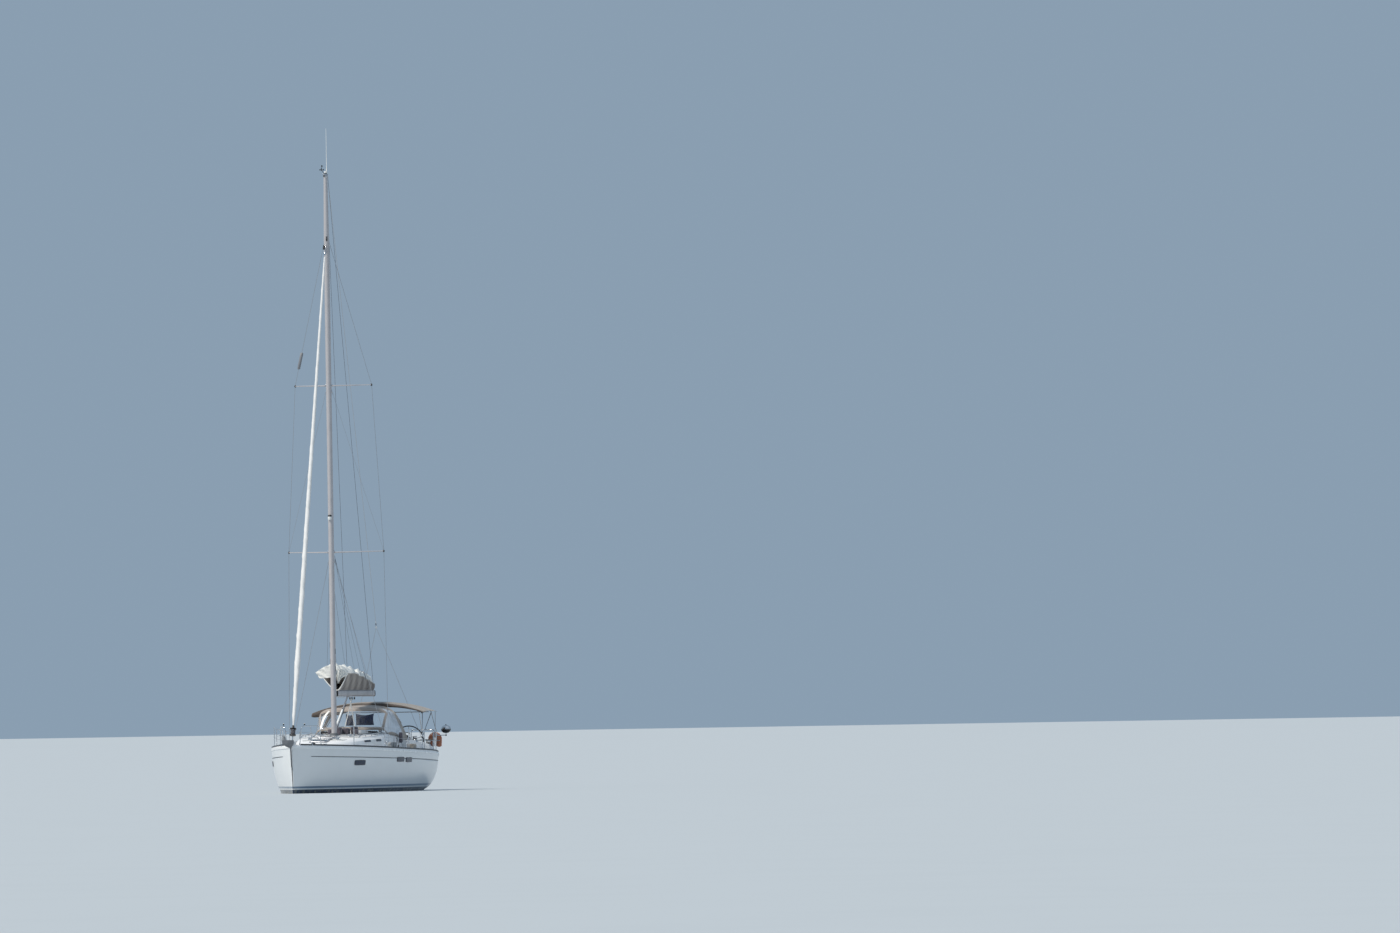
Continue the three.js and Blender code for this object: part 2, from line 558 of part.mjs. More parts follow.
// Mast with its head gear, steaming light and gooseneck
const MAST_FOOT = roofUp(MAST_AFT) + 12 + GAP;
function mastRing(up, lengthways, sideways) {
  return Array.from({ length: 14 }, (_, k) => {
    const angle = (2 * Math.PI * k) / 14;
    return at(MAST_AFT - lengthways * Math.cos(angle), sideways * Math.sin(angle), up);
  });
}
const mastTube = loft([
  mastRing(MAST_FOOT, MAST_LENGTHWAYS, MAST_SIDEWAYS), mastRing(HOUNDS_UP, MAST_LENGTHWAYS, MAST_SIDEWAYS),
  mastRing(MAST_TOP, 70, 55),
]);
const gooseneck = join(
  box([MAST_AFT + 80, GOOSENECK_AFT + 18], [-16, 16], [BOOM_UP + 35, BOOM_UP + BOOM_DEPTH - 35]),
  bar(at(GOOSENECK_AFT, 0, BOOM_UP + 20), at(GOOSENECK_AFT, 0, BOOM_UP + BOOM_DEPTH - 20), 18),
);
const vangLug = join(box([MAST_AFT + 80, GOOSENECK_AFT + 18], [-16, 16], [1900, 1960]),
  bar(at(GOOSENECK_AFT, 0, 1885), at(GOOSENECK_AFT, 0, 1975), 18));
const lightBody = bar(at(MAST_AFT - 135, 0, 7990), at(MAST_AFT - 135, 0, 8140), 55, 45, 12);
const lightArm = box([MAST_AFT - 140, MAST_AFT - 80], [-18, 18], [8010, 8040]);
const MASTHEAD = MAST_TOP - 25;
const crane = box([MAST_AFT - 210, MAST_AFT + 240], [-28, 28], [MASTHEAD, MASTHEAD + 55]);
const antenna = bar(at(MAST_AFT + 150, 0, MASTHEAD + 40), at(MAST_AFT + 150, 0, 19500), 9, 5, 6);
const windArm = join(
  bar(at(MAST_AFT - 180, 0, MASTHEAD + 40), at(MAST_AFT - 480, 0, MASTHEAD + 170), 9, 9, 6),
  bar(at(MAST_AFT - 470, 0, MASTHEAD + 120), at(MAST_AFT - 470, 0, MASTHEAD + 300), 12, 12, 8),
);
const anchorLight = bar(at(MAST_AFT, 0, MASTHEAD + 50), at(MAST_AFT, 0, MASTHEAD + 130), 42, 36, 12);
const mastHead = join(crane, antenna, windArm, anchorLight);
show('mast', join(mastTube, gooseneck, vangLug, lightArm, lightBody, mastHead), ALLOY);

// Spreaders, swept aft
Object.entries(SPREADERS).forEach(([level, { up, port, sweep }]) => {
  const root = at(MAST_AFT + 10, MAST_SIDEWAYS + GAP + 2, up);
  const tip = at(MAST_AFT + sweep, port, up + 20);
  const section = (centre, lengthways, height) => Array.from({ length: 8 }, (_, k) => {
    const angle = (2 * Math.PI * k) / 8;
    return centre.clone().add(new THREE.Vector3(lengthways * Math.cos(angle), 0, height * Math.sin(angle)));
  });
  const spreader = loft([section(root, 62, 20), section(tip, 38, 14)]);
  show(`spreader_${level}_port`, spreader, ALLOY);
  show(`spreader_${level}_starboard`, mirrored(spreader), ALLOY);
});

// Standing rigging: cap shrouds over the spreader tips, lower shrouds, forestay head and split backstay
const tipOf = ({ up, port, sweep }) => at(MAST_AFT + sweep + 4, port + 18, up + 20);
const chainplateUp = deckTop(CHAINPLATE.aft, CHAINPLATE.port) + GAP + 1;
const turnbuckle = (aft, port, toward) => {
  const foot = at(aft, port, chainplateUp);
  const reach = toward.clone().sub(foot).normalize();
  return bar(foot, foot.clone().addScaledVector(reach, 380), 16, 16, 8);
};
const capRoute = [at(CHAINPLATE.aft, CHAINPLATE.port, chainplateUp), tipOf(SPREADERS.lower),
  tipOf(SPREADERS.upper), at(MAST_AFT + 30, MAST_SIDEWAYS + 12, HOUNDS_UP)];
const capShroud = standing(join(tube(capRoute, WIRE_RADIUS, 6),
  turnbuckle(CHAINPLATE.aft, CHAINPLATE.port, capRoute[1])), deckBody);
show('cap_shroud_port', capShroud, STEEL);
// A radar reflector hangs on the starboard side
const REFLECTOR = { low: 12450, high: 12950, radius: 45 };
const onUpperShroud = (up) => {
  const [, , from, to] = capRoute;
  return from.clone().lerp(to, (up - from.z) / (to.z - from.z));
};
const reflector = bar(onUpperShroud(REFLECTOR.low), onUpperShroud(REFLECTOR.high), REFLECTOR.radius);
show('cap_shroud_starboard', mirrored(join(capShroud, reflector)), STEEL);
const lowerHead = at(MAST_AFT + 30, MAST_SIDEWAYS + 12, 6800);
const lowerShroud = standing(join(bar(at(CHAINPLATE.aft + 60, CHAINPLATE.port - 45, chainplateUp), lowerHead,
  WIRE_RADIUS, WIRE_RADIUS, 6), turnbuckle(CHAINPLATE.aft + 60, CHAINPLATE.port - 45, lowerHead)), deckBody);
show('lower_shroud_port', lowerShroud, STEEL);
show('lower_shroud_starboard', mirrored(lowerShroud), STEEL);

const STAY = { foot: at(170, 0, 1440), head: at(MAST_AFT - 116, 0, HOUNDS_UP) };
const stayAt = (up) => STAY.foot.clone().lerp(STAY.head, (up - STAY.foot.z) / (STAY.head.z - STAY.foot.z));
const GENOA = { low: 1690, high: 15700 };
show('forestay_head', bar(stayAt(GENOA.high + 60), stayAt(HOUNDS_UP - 5), 9, 9, 8), STEEL);
const backstayTop = at(MAST_AFT + 247, 0, MASTHEAD + 30);
const BACKSTAY_SPLIT = { aft: 10560, up: 4900 };
const BACKSTAY_FOOT = { aft: 11960, port: 1180 };
const backstayFoot = at(BACKSTAY_FOOT.aft, BACKSTAY_FOOT.port,
  deckTop(BACKSTAY_FOOT.aft, BACKSTAY_FOOT.port) + 2);
const split = at(BACKSTAY_SPLIT.aft, 0, BACKSTAY_SPLIT.up);
const bridle = tube([split, backstayFoot], WIRE_RADIUS, 6);
const splitPlate = bar(at(BACKSTAY_SPLIT.aft, 0, BACKSTAY_SPLIT.up + 60),
  at(BACKSTAY_SPLIT.aft, 0, BACKSTAY_SPLIT.up - 60), 22, 22, 8);
const backstay = join(tube([backstayTop, split], WIRE_RADIUS, 6), bridle, mirrored(bridle), splitPlate);
show('backstay', standing(backstay, deckBody), STEEL);

// Furled genoa with its drum, turning about the forestay
const GENOA_ROLL = [
  { up: GENOA.low + 270, radius: 20 }, { up: 2300, radius: 50 }, { up: 3300, radius: 70 },
  { up: 3700, radius: 88 },
  { up: 4200, radius: 80 }, { up: 6500, radius: 72 }, { up: 9000, radius: 62 }, { up: 12000, radius: 46 }, { up: 15000, radius: 32 },
  { up: GENOA.high, radius: 22 },
];
const stayRun = STAY.head.clone().sub(STAY.foot).normalize();
const stayPort = new THREE.Vector3(0, 1, 0);
const stayFore = stayPort.clone().cross(stayRun);
const roll = loft(GENOA_ROLL.map(({ up, radius }) => (
  arc(stayAt(up), stayFore, stayPort, radius, 0, (2 * Math.PI * 11) / 12, 11))));
const drum = join(
  bar(stayAt(GENOA.low), stayAt(GENOA.low + 25), 95, 95, 18),
  bar(stayAt(GENOA.low + 20), stayAt(GENOA.low + 190), 62, 62, 14),
  bar(stayAt(GENOA.low + 180), stayAt(GENOA.low + 210), 95, 95, 18),
  bar(stayAt(GENOA.low + 200), stayAt(GENOA.low + 300), 34, 24, 12),
);
show('furled_genoa', join(roll, drum), SAILCLOTH);

// Boom with the rigid vang, sail bag and stowed mainsail
const BOOM_SECTION = [
  [0.3, 0], [1, 0.25], [1, 0.75], [0.55, 1], [-0.55, 1], [-1, 0.75], [-1, 0.25], [-0.3, 0],
];
const BOOM_HALF = 62;
const boomRing = (aft) => BOOM_SECTION
  .map(([across, rise]) => at(aft, across * BOOM_HALF, BOOM_UP + rise * BOOM_DEPTH));
const boomTube = loft([boomRing(GOOSENECK_AFT + 40), boomRing(BOOM_END_AFT)]);
const vangFoot = at(GOOSENECK_AFT + 40, 0, 1935);
const vangHead = at(6950, 0, BOOM_UP + 15);
const vangMiddle = vangFoot.clone().lerp(vangHead, 0.55);
const vang = join(bar(vangFoot, vangMiddle, 36, 36, 12), bar(vangMiddle, vangHead, 26, 26, 12));
show('boom', join(boomTube, vang), ALLOY);

// Sail bag lines. Each row: half-widths of the open top to port and starboard, and its height.
const BAG_LINES = [
  { aft: 5620, port: 340, starboard: 500, high: 3470 }, { aft: 6100, port: 345, starboard: 535, high: 3500 },
  { aft: 6400, port: 340, starboard: 510, high: 3490 }, { aft: 7400, port: 310, starboard: 410, high: 3410 },
  { aft: 8600, port: 230, starboard: 290, high: 3300 }, { aft: 9900, port: 110, starboard: 120, high: 3170 },
];
const BAG_LOW = BOOM_UP + BOOM_DEPTH + 2;
const BAG_THICKNESS = 14;
const BAG_SHARES = [1, 0.7, 0.35, 0.08];
const bagPoints = ({ aft, port, starboard, high }, inset, drop = 0) => {
  const low = BAG_LOW + inset;
  const rise = high - drop - low;
  const side = (half, share) => 55 + (half - 55 - inset) * share ** 0.8;
  const foot = 40 - inset * 0.5;
  return [
    ...BAG_SHARES.map((share) => at(aft, side(port, share), low + share * rise)),
    at(aft, foot, low), at(aft, -foot, low),
    ...BAG_SHARES.slice().reverse().map((share) => at(aft, -side(starboard, share), low + share * rise)),
  ];
};
const bagGrid = BAG_LINES.map((row) => bagPoints(row, 0));
show('sail_bag', sheet(bagGrid, BAG_THICKNESS, at(7500, 0, 3900)), TAUPE_CLOTH);

// Stowed mainsail: the bag's room filled, with lumps that stand above it. crown: height of the heap.
const HEAP_LINES = [
  { aft: 5700, crown: 3620 }, { aft: 6000, crown: 3760 }, { aft: 6500, crown: 3740 },
  { aft: 7100, crown: 3640 }, { aft: 7700, crown: 3600 }, { aft: 8400, crown: 3480 },
  { aft: 9200, crown: 3370 }, { aft: 9800, crown: 3200 },
];
const bagAt = (aft) => ({
  aft,
  port: curve(BAG_LINES, 'port')(aft),
  starboard: curve(BAG_LINES, 'starboard')(aft),
  high: curve(BAG_LINES, 'high')(aft),
});
const HEAP_CLEAR = 45;
show('stowed_mainsail', loft(HEAP_LINES.map(({ aft, crown }) => {
  const row = bagAt(aft);
  const room = bagPoints(row, HEAP_CLEAR, 20);
  const last = room[room.length - 1];
  const first = room[0];
  const over = [0.2, 0.5, 0.8].map((share) => {
    const port = THREE.MathUtils.lerp(last.y, first.y, share);
    return at(aft, port, row.high + (crown - row.high) * Math.sin(Math.PI * share));
  });
  return [...room, ...over];
})), SAILCLOTH);

// Pulpit halves
const tubeFoot = (aft, port) => at(aft, port, deckTop(aft, port) - 20);
const pulpit = standing(join(
  tube([tubeFoot(330, 190), at(300, 240, 1850), at(330, 255, 1935), at(450, 310, 1960), at(1080, 560, 1960),
    at(1150, 590, 1920), tubeFoot(1180, 610)], TUBE_RADIUS),
  tube([at(325, 238, 1700), at(1165, 590, 1690)], TUBE_RADIUS - 3),
), deckBody, toeRail.translate([0, -GAP, 0]), toeRail);
show('pulpit_port', pulpit, STEEL);
show('pulpit_starboard', mirrored(pulpit), STEEL);

// Guard lines: stanchions with two wires between them
const STANCHIONS = [2800, 4800, 6800, 8600];
const guardHalf = (aft) => sheerHalf(aft) - 75;
const guardHigh = (aft) => deckTop(aft, guardHalf(aft)) + RAIL_UP;
const railFoot = (aft, port) => at(aft, port, deckTop(aft, port) - 15);
const guardPosts = STANCHIONS.map((aft) => (
  tube([railFoot(aft, guardHalf(aft)), at(aft, guardHalf(aft), guardHigh(aft))], TUBE_RADIUS)));
const GUARD_POINTS = [1190, ...STANCHIONS, 10270];
const guardAt = (aft, share) => at(aft, guardHalf(aft), deckTop(aft, guardHalf(aft)) + RAIL_UP * share);
const guardWire = (share) => tube(GUARD_POINTS.map((aft) => guardAt(aft, share)), WIRE_RADIUS, 6);
const guardLines = standing(join(...guardPosts, guardWire(0.97), guardWire(0.5)), deckBody, toeRail);
show('guard_lines_port', cut(guardLines, pulpit), STEEL);
show('guard_lines_starboard', mirrored(cut(guardLines, pulpit)), STEEL);

// Pushpit halves
const pushpitAt = (aft, up) => at(aft, guardHalf(aft), up);
const pushpitHigh = 1790;
const PUSHPIT_REAR = 11930;
const pushpit = standing(join(
  tube([railFoot(10300, guardHalf(10300)), pushpitAt(10300, pushpitHigh - 60), pushpitAt(10370, pushpitHigh),
    pushpitAt(11200, pushpitHigh), pushpitAt(11780, pushpitHigh), at(PUSHPIT_REAR, 1370, pushpitHigh),
    at(PUSHPIT_REAR, 740, pushpitHigh), at(PUSHPIT_REAR, 690, pushpitHigh - 60),
    railFoot(PUSHPIT_REAR, 690)], TUBE_RADIUS),
  tube([pushpitAt(10300, 1480), pushpitAt(11200, 1475), pushpitAt(11780, 1470), at(PUSHPIT_REAR, 1370, 1470),
    at(PUSHPIT_REAR, 690, 1470)], TUBE_RADIUS - 3),
  tube([pushpitAt(11200, pushpitHigh), railFoot(11200, guardHalf(11200))], TUBE_RADIUS),
  tube([at(PUSHPIT_REAR, 1370, pushpitHigh), railFoot(PUSHPIT_REAR, 1340)], TUBE_RADIUS),
), deckRing, toeRail, cockpit);
show('pushpit_port', pushpit, STEEL);
show('pushpit_starboard', mirrored(pushpit), STEEL);

// A plate standing on edge: its (aft, up) outline between two distances to port
function uprightPlate(outline, port) {
  const shape = new THREE.Shape(outline.map(([aft, up]) => new THREE.Vector2(STEM_X - aft, up)));
  const geometry = new THREE.ExtrudeGeometry(shape, { depth: port[1] - port[0], bevelEnabled: false });
  return solid(geometry.rotateX(Math.PI / 2).translate(0, port[1], 0));
}

// Bow roller with the stem plate and forestay toggle, and the anchor stowed on it
const CHEEK = [[-240, 1500], [-255, 1430], [-150, 1385], [-20, 1400], [330, 1420], [330, 1490], [0, 1515]];
const cheek = uprightPlate(CHEEK, [62, 70]);
const STEM_PLATE = [[-16, 1480], [-16, 1400], [84, 780], [115, 780], [30, 1480]];
const stayTag = uprightPlate([[110, 1400], [110, 1500], [160, 1540], [215, 1500], [215, 1400]], [-12, 12]);
const bowRoller = standing(cut(join(
  cheek, mirrored(cheek), box([-140, 330], [-69, 69], [1432, 1446]),
  bar(at(-190, -65, 1452), at(-190, 65, 1452), 24),
  uprightPlate(STEM_PLATE, [-26, 26]), stayTag, bar(stayAt(1490), stayAt(GENOA.low - 8), 14),
), hullBody.translate([GAP, 0, 0])), deckBody, hullBody);
show('bow_roller', bowRoller, STEEL);
const FLUKE_THICKNESS = 14;
const flukeRing = ({ aft, up, half, dip }) => {
  const [front, back] = [aft, aft + FLUKE_THICKNESS];
  return [at(front, half, up), at(front - dip, 0, up), at(front, -half, up),
    at(back, -half, up), at(back - dip, 0, up), at(back, half, up)];
};
const fluke = loft([
  { aft: -330, up: 1555, half: 175, dip: 12 }, { aft: -300, up: 1455, half: 165, dip: 35 },
  { aft: -225, up: 1375, half: 100, dip: 30 }, { aft: -130, up: 1325, half: 14, dip: 4 },
].map(flukeRing));
const SHANK = [[90, 1480], [90, 1520], [-180, 1535], [-338, 1510], [-330, 1430], [-180, 1480]];
const shank = uprightPlate(SHANK, [-13, 13]);
show('anchor', largest(cut(join(fluke, shank), bowRoller, hull)), DARK_TRIM);

// Hinged lids: a plate over the deck or roof, between two heights above it
const LID_CLEARANCE = 5;
function lid(surface, stations, halfAt, high) {
  const shares = [-1, -0.5, 0, 0.5, 1];
  return loft(stations.map((aft) => {
    const top = shares.map((share) => at(aft, share * halfAt(aft), surface(aft, share * halfAt(aft)) + high));
    const low = shares.slice().reverse()
      .map((share) => at(aft, share * halfAt(aft), surface(aft, share * halfAt(aft)) + LID_CLEARANCE));
    return [...top, ...low];
  }));
}
show('anchor_locker_lid', lid(deckTop, [620, 900, 1250], (aft) => 120 + (aft - 620) * 0.36, 24), DECK_WHITE);
show('foredeck_hatch', lid(roofTop, [3200, 3450, 3700], () => 250, 42), SMOKED);
show('saloon_hatch', lid(roofTop, [4150, 4400, 4650], () => 250, 42), SMOKED);

// Cockpit lids, table and helm stations
const seatLid = box([SEAT.aft[0] + 20, SEAT.aft[1] - 40], [SEAT.inner + 10, 1270],
  [SEAT_UP + LID_CLEARANCE, SEAT_UP + 28]);
show('seat_lid_port', seatLid, TEAK);
show('seat_lid_starboard', mirrored(seatLid), TEAK);
const TABLE = { aft: [8780, 9620], up: 1370, half: 140 };
show('cockpit_table', join(
  box(TABLE.aft, [-TABLE.half, TABLE.half], [TABLE.up - 40, TABLE.up]),
  box([TABLE.aft[0] + 60, TABLE.aft[1] - 60], [-90, 90], [SOLE_UP + GAP, TABLE.up - 30]),
), TEAK);
const leaf = box(TABLE.aft, [150, 172], [970, TABLE.up - 30]);
show('table_leaf_port', leaf, TEAK);
show('table_leaf_starboard', mirrored(leaf), TEAK);
const PEDESTAL = [
  [9960, SOLE_UP + GAP], [9930, 1250], [9900, 1540], [10060, 1580], [10150, 1380], [10170, SOLE_UP + GAP],
];
const pedestal = join(
  uprightPlate(PEDESTAL, [WHEEL.port - 140, WHEEL.port + 140]),
  bar(at(10100, WHEEL.port, WHEEL.up), at(10205, WHEEL.port, WHEEL.up), 60, 48, 14),
);
show('pedestal_port', pedestal, GELCOAT);
show('pedestal_starboard', mirrored(pedestal), GELCOAT);
const wheelMiddle = at(WHEEL.aft, WHEEL.port, WHEEL.up);
const PORTWARD = new THREE.Vector3(0, 1, 0);
const UPWARD = new THREE.Vector3(0, 0, 1);
const rim = new THREE.TorusGeometry(WHEEL.radius, 15, 8, 28).rotateY(Math.PI / 2);
const SPOKES = 5;
const spokes = Array.from({ length: SPOKES }, (_, k) => {
  const [tip] = arc(wheelMiddle, UPWARD, PORTWARD, WHEEL.radius, (2 * Math.PI * k) / SPOKES, 0, 1);
  return bar(wheelMiddle, tip, 9, 9, 6);
});
const wheel = join(
  solid(rim.translate(wheelMiddle.x, wheelMiddle.y, wheelMiddle.z)),
  ...spokes,
  bar(at(WHEEL.aft - 48, WHEEL.port, WHEEL.up), at(WHEEL.aft + 20, WHEEL.port, WHEEL.up), 42, 34, 14),
);
show('wheel_port', wheel, BLACK);
show('wheel_starboard', mirrored(wheel), BLACK);

// Sprayhood: rows from the front foot to the aft arch. Profiles give (width share, height share).
const FRONT_ARCH = [[1, 0], [0.97, 0.3], [0.91, 0.72], [0.8, 0.93], [0.5, 0.985], [0.25, 1], [0, 1]];
const AFT_ARCH = [
  [1, 0], [0.977, 0.175], [0.813, 0.61], [0.695, 0.816], [0.53, 0.932], [0.27, 0.985], [0, 1],
];
const HOOD_ROWS = [
  { aft: 7280, half: 1090, foot: 1700, crown: 1730, aftness: 0 },
  { aft: 7590, half: 1160, foot: 1670, crown: 2410, aftness: 0 },
  { aft: 8150, half: 1225, foot: 1600, crown: 2500, aftness: 0.6 },
  { aft: 8850, half: 1310, foot: 1490, crown: 2550, aftness: 1 },
];
const CLOTH_THICKNESS = 12;
const hoodGrid = HOOD_ROWS.map(({ aft, half, foot, crown, aftness }) => {
  const port = FRONT_ARCH.map(([wide, tall], i) => {
    const width = THREE.MathUtils.lerp(wide, AFT_ARCH[i][0], aftness) * half;
    const height = THREE.MathUtils.lerp(tall, AFT_ARCH[i][1], aftness) * (crown - foot);
    return [width, foot + height];
  });
  const whole = [...port, ...port.slice(0, -1).reverse().map(([width, up]) => [-width, up])];
  return whole.map(([width, up]) => at(aft, width, up));
});
const sprayhood = sheet(hoodGrid, CLOTH_THICKNESS, at(8100, 0, 1600));
show('sprayhood', standing(sprayhood, coachroof, cockpit, deckBody), TAUPE_CLOTH);

// Bimini canopy on its folding frame of three hoops
const BIMINI = { aft: [8850, 11300], half: 1600, edge: 2370, crown: 2650 };
const BIMINI_SHARES = [-1, -0.93, -0.75, -0.5, -0.25, 0, 0.25, 0.5, 0.75, 0.93, 1];
function biminiUp(aft, share) {
  const along = (2 * (aft - BIMINI.aft[0])) / (BIMINI.aft[1] - BIMINI.aft[0]) - 1;
  return BIMINI.edge + (BIMINI.crown - BIMINI.edge) * (1 - Math.abs(share) ** 2.4) - 45 * along * along;
}
const biminiGrid = [0, 0.2, 0.4, 0.6, 0.8, 1].map((run) => {
  const aft = THREE.MathUtils.lerp(...BIMINI.aft, run);
  return BIMINI_SHARES.map((share) => at(aft, share * BIMINI.half, biminiUp(aft, share)));
});
show('bimini', sheet(biminiGrid, CLOTH_THICKNESS, at(10000, 0, 0)), TAUPE_CLOTH);
const HOOP_BELOW = CLOTH_THICKNESS + TUBE_RADIUS + 12;
const hoopPoint = (aft, share) => at(aft, share * BIMINI.half, biminiUp(aft, share) - HOOP_BELOW);
const HOOP_SHARES = BIMINI_SHARES.slice(1, -1).map((share) => share * 0.97);
function hoop(aft, foot) {
  const over = HOOP_SHARES.map((share) => hoopPoint(aft, share));
  return tube([at(foot.aft, -foot.port, foot.up), ...over, at(foot.aft, foot.port, foot.up)], TUBE_RADIUS);
}
const LEG = { aft: 9550, port: 1600, up: deckTop(9550, 1600) - 10 };
const legHead = hoopPoint(9500, HOOP_SHARES[HOOP_SHARES.length - 1]);
const LEG_HEAD = { aft: 9500, port: legHead.y, up: legHead.z };
function legAt(share) {
  const between = (part) => THREE.MathUtils.lerp(LEG[part], LEG_HEAD[part], share);
  return { aft: between('aft'), port: between('port'), up: between('up') };
}
show('bimini_frame', standing(join(
  hoop(LEG_HEAD.aft, LEG), hoop(11200, legAt(0.32)), hoop(8950, legAt(0.45)),
), deckBody, cockpit), STEEL);

// Transom platform, closed
show('transom_platform', box([HULL_LENGTH - PLATFORM.thickness, HULL_LENGTH], [-PLATFORM.side, PLATFORM.side],
  [PLATFORM.low, PLATFORM_HIGH - 8]), GELCOAT);

// Horseshoe lifebuoy behind the port pushpit, and the kettle grill on the quarter rail
const BUOY = { aft: 12003, port: 1400, up: 1510, low: 1280, radius: 155, tube: 55 };
show('lifebuoy', tube([
  at(BUOY.aft, BUOY.port + BUOY.radius - 12, BUOY.low),
  ...arc(at(BUOY.aft, BUOY.port, BUOY.up), PORTWARD, UPWARD, BUOY.radius, 0, Math.PI, 12),
  at(BUOY.aft, BUOY.port - BUOY.radius + 12, BUOY.low),
], BUOY.tube, 10), ORANGE);
const GRILL = { aft: 11850, port: 1775, up: 1800 };
const KETTLE = [
  [0, -118], [74, -106], [126, -64], [150, -6], [150, 6], [126, 66], [74, 110], [14, 124], [14, 144],
  [0, 144],
];
const kettleOutline = KETTLE.map(([out, up]) => new THREE.Vector2(out, up));
const kettle = new THREE.LatheGeometry(kettleOutline, 18).rotateX(Math.PI / 2);
const grillMiddle = at(GRILL.aft, GRILL.port, GRILL.up);
show('rail_grill', cut(join(
  solid(kettle.translate(grillMiddle.x, grillMiddle.y, grillMiddle.z)),
  bar(at(GRILL.aft, GRILL.port, GRILL.up - 90), at(GRILL.aft, GRILL.port, GRILL.up - 190), 14, 14, 8),
  bar(at(GRILL.aft, GRILL.port, GRILL.up - 180), at(GRILL.aft - 80, 1505, GRILL.up - 180), 12, 12, 8),
), pushpit), STEEL);

export default yacht;
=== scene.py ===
"""Finishes, cloth, rigging and deck gear of a 12 m sloop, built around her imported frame.

Metres. +X forward, +Y to port, +Z up, with the origin on the waterline amidships.
Most places are given as (aft, port, up), with aft measured from the stem head.
"""
import json
import math

import bmesh
import bpy
import numpy as np
from mathutils import Matrix, Vector

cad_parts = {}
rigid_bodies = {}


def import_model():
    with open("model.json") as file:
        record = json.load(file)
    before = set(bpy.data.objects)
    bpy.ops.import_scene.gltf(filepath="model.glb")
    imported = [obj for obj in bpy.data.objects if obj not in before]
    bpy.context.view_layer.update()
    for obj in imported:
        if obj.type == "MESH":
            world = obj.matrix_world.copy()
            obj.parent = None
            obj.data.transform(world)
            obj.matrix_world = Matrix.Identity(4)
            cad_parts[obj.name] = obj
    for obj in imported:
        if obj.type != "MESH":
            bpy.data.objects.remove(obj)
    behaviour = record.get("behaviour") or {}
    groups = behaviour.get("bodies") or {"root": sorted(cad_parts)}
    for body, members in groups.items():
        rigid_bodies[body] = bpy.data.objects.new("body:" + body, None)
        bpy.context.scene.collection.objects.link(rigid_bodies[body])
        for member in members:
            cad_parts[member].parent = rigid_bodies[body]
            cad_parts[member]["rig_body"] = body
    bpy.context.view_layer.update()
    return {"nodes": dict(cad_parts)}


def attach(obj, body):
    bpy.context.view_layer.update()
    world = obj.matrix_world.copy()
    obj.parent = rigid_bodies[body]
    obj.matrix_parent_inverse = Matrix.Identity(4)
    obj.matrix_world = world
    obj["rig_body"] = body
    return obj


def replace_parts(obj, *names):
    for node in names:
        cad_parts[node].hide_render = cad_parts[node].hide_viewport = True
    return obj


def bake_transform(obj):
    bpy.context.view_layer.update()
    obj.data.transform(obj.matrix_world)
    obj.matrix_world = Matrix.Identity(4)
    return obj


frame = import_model()
NODES = frame["nodes"]

# Driving sizes, the same as the frame's own
STEM_X = 6.0
HULL_LENGTH = 12.0
DECK_THICKNESS = 0.03
DECK_CAMBER = 0.04
MAST_AFT = 5.22
MAST_TOP = 18.13
HOUNDS_UP = 16.1
SPREADER_UP = {"lower": 7.04, "upper": 11.93}
SPREADER_TIP = {"lower": (1.42, 0.6), "upper": (1.14, 0.56)}
BOOM_UP, BOOM_DEPTH = 2.81, 0.18
GOOSENECK_AFT, BOOM_END_AFT = 5.39, 10.1
STAY_FOOT, STAY_HEAD = (0.17, 0.0, 1.44), (MAST_AFT - 0.116, 0.0, HOUNDS_UP)
GENOA_LOW, GENOA_HIGH = 1.69, 15.7
SIDES = {"port": 1, "starboard": -1}
UPRIGHT, FORWARD, PORTWARD = (0, 0, 1), (1, 0, 0), (0, 1, 0)

# Hull lines: place aft, rake of the station's foot, half-breadth and height of the deck edge,
# half-breadth afloat, height of the canoe body's bottom
HULL_LINES = np.array([
    (0.0, 0.22, 0.022, 1.41, 0.01, -0.01), (0.5, 0.16, 0.33, 1.396, 0.13, -0.125),
    (1.0, 0.1, 0.59, 1.383, 0.32, -0.235), (2.0, 0.0, 1.0, 1.357, 0.72, -0.38),
    (3.0, 0.0, 1.33, 1.331, 1.05, -0.48), (4.0, 0.0, 1.57, 1.304, 1.3, -0.54),
    (5.0, 0.0, 1.74, 1.276, 1.48, -0.57), (6.0, 0.0, 1.87, 1.248, 1.6, -0.57),
    (7.0, 0.0, 1.95, 1.224, 1.68, -0.54), (8.0, 0.0, 1.98, 1.204, 1.7, -0.48),
    (9.0, 0.0, 1.96, 1.184, 1.665, -0.4), (10.0, 0.0, 1.88, 1.16, 1.49, -0.3),
    (11.0, 0.0, 1.735, 1.13, 1.25, -0.19), (12.0, 0.0, 1.5, 1.095, 0.985, -0.06),
])
TOPSIDE_POWER = 1.9

# Coachroof lines: place aft, half-width at the deck, half-width at the roof's edge, height
ROOF_LINES = np.array([
    (2.65, 0.33, 0.25, 1.4), (3.1, 0.59, 0.48, 1.46), (3.7, 0.85, 0.71, 1.525), (4.5, 1.08, 0.93, 1.6),
    (5.3, 1.21, 1.06, 1.645), (6.3, 1.28, 1.13, 1.685), (7.3, 1.31, 1.16, 1.72), (8.3, 1.32, 1.17, 1.745),
])
ROOF_CAMBER = 0.035


# Curves and places
def together(*values):
    """Values side by side along a last axis, as whole arrays."""
    return np.stack(np.broadcast_arrays(*values), axis=-1)


def place(aft, port, up):
    """Points from distances aft of the stem head, to port and above the water, as whole arrays."""
    return together(STEM_X - np.asarray(aft, float), port, up)


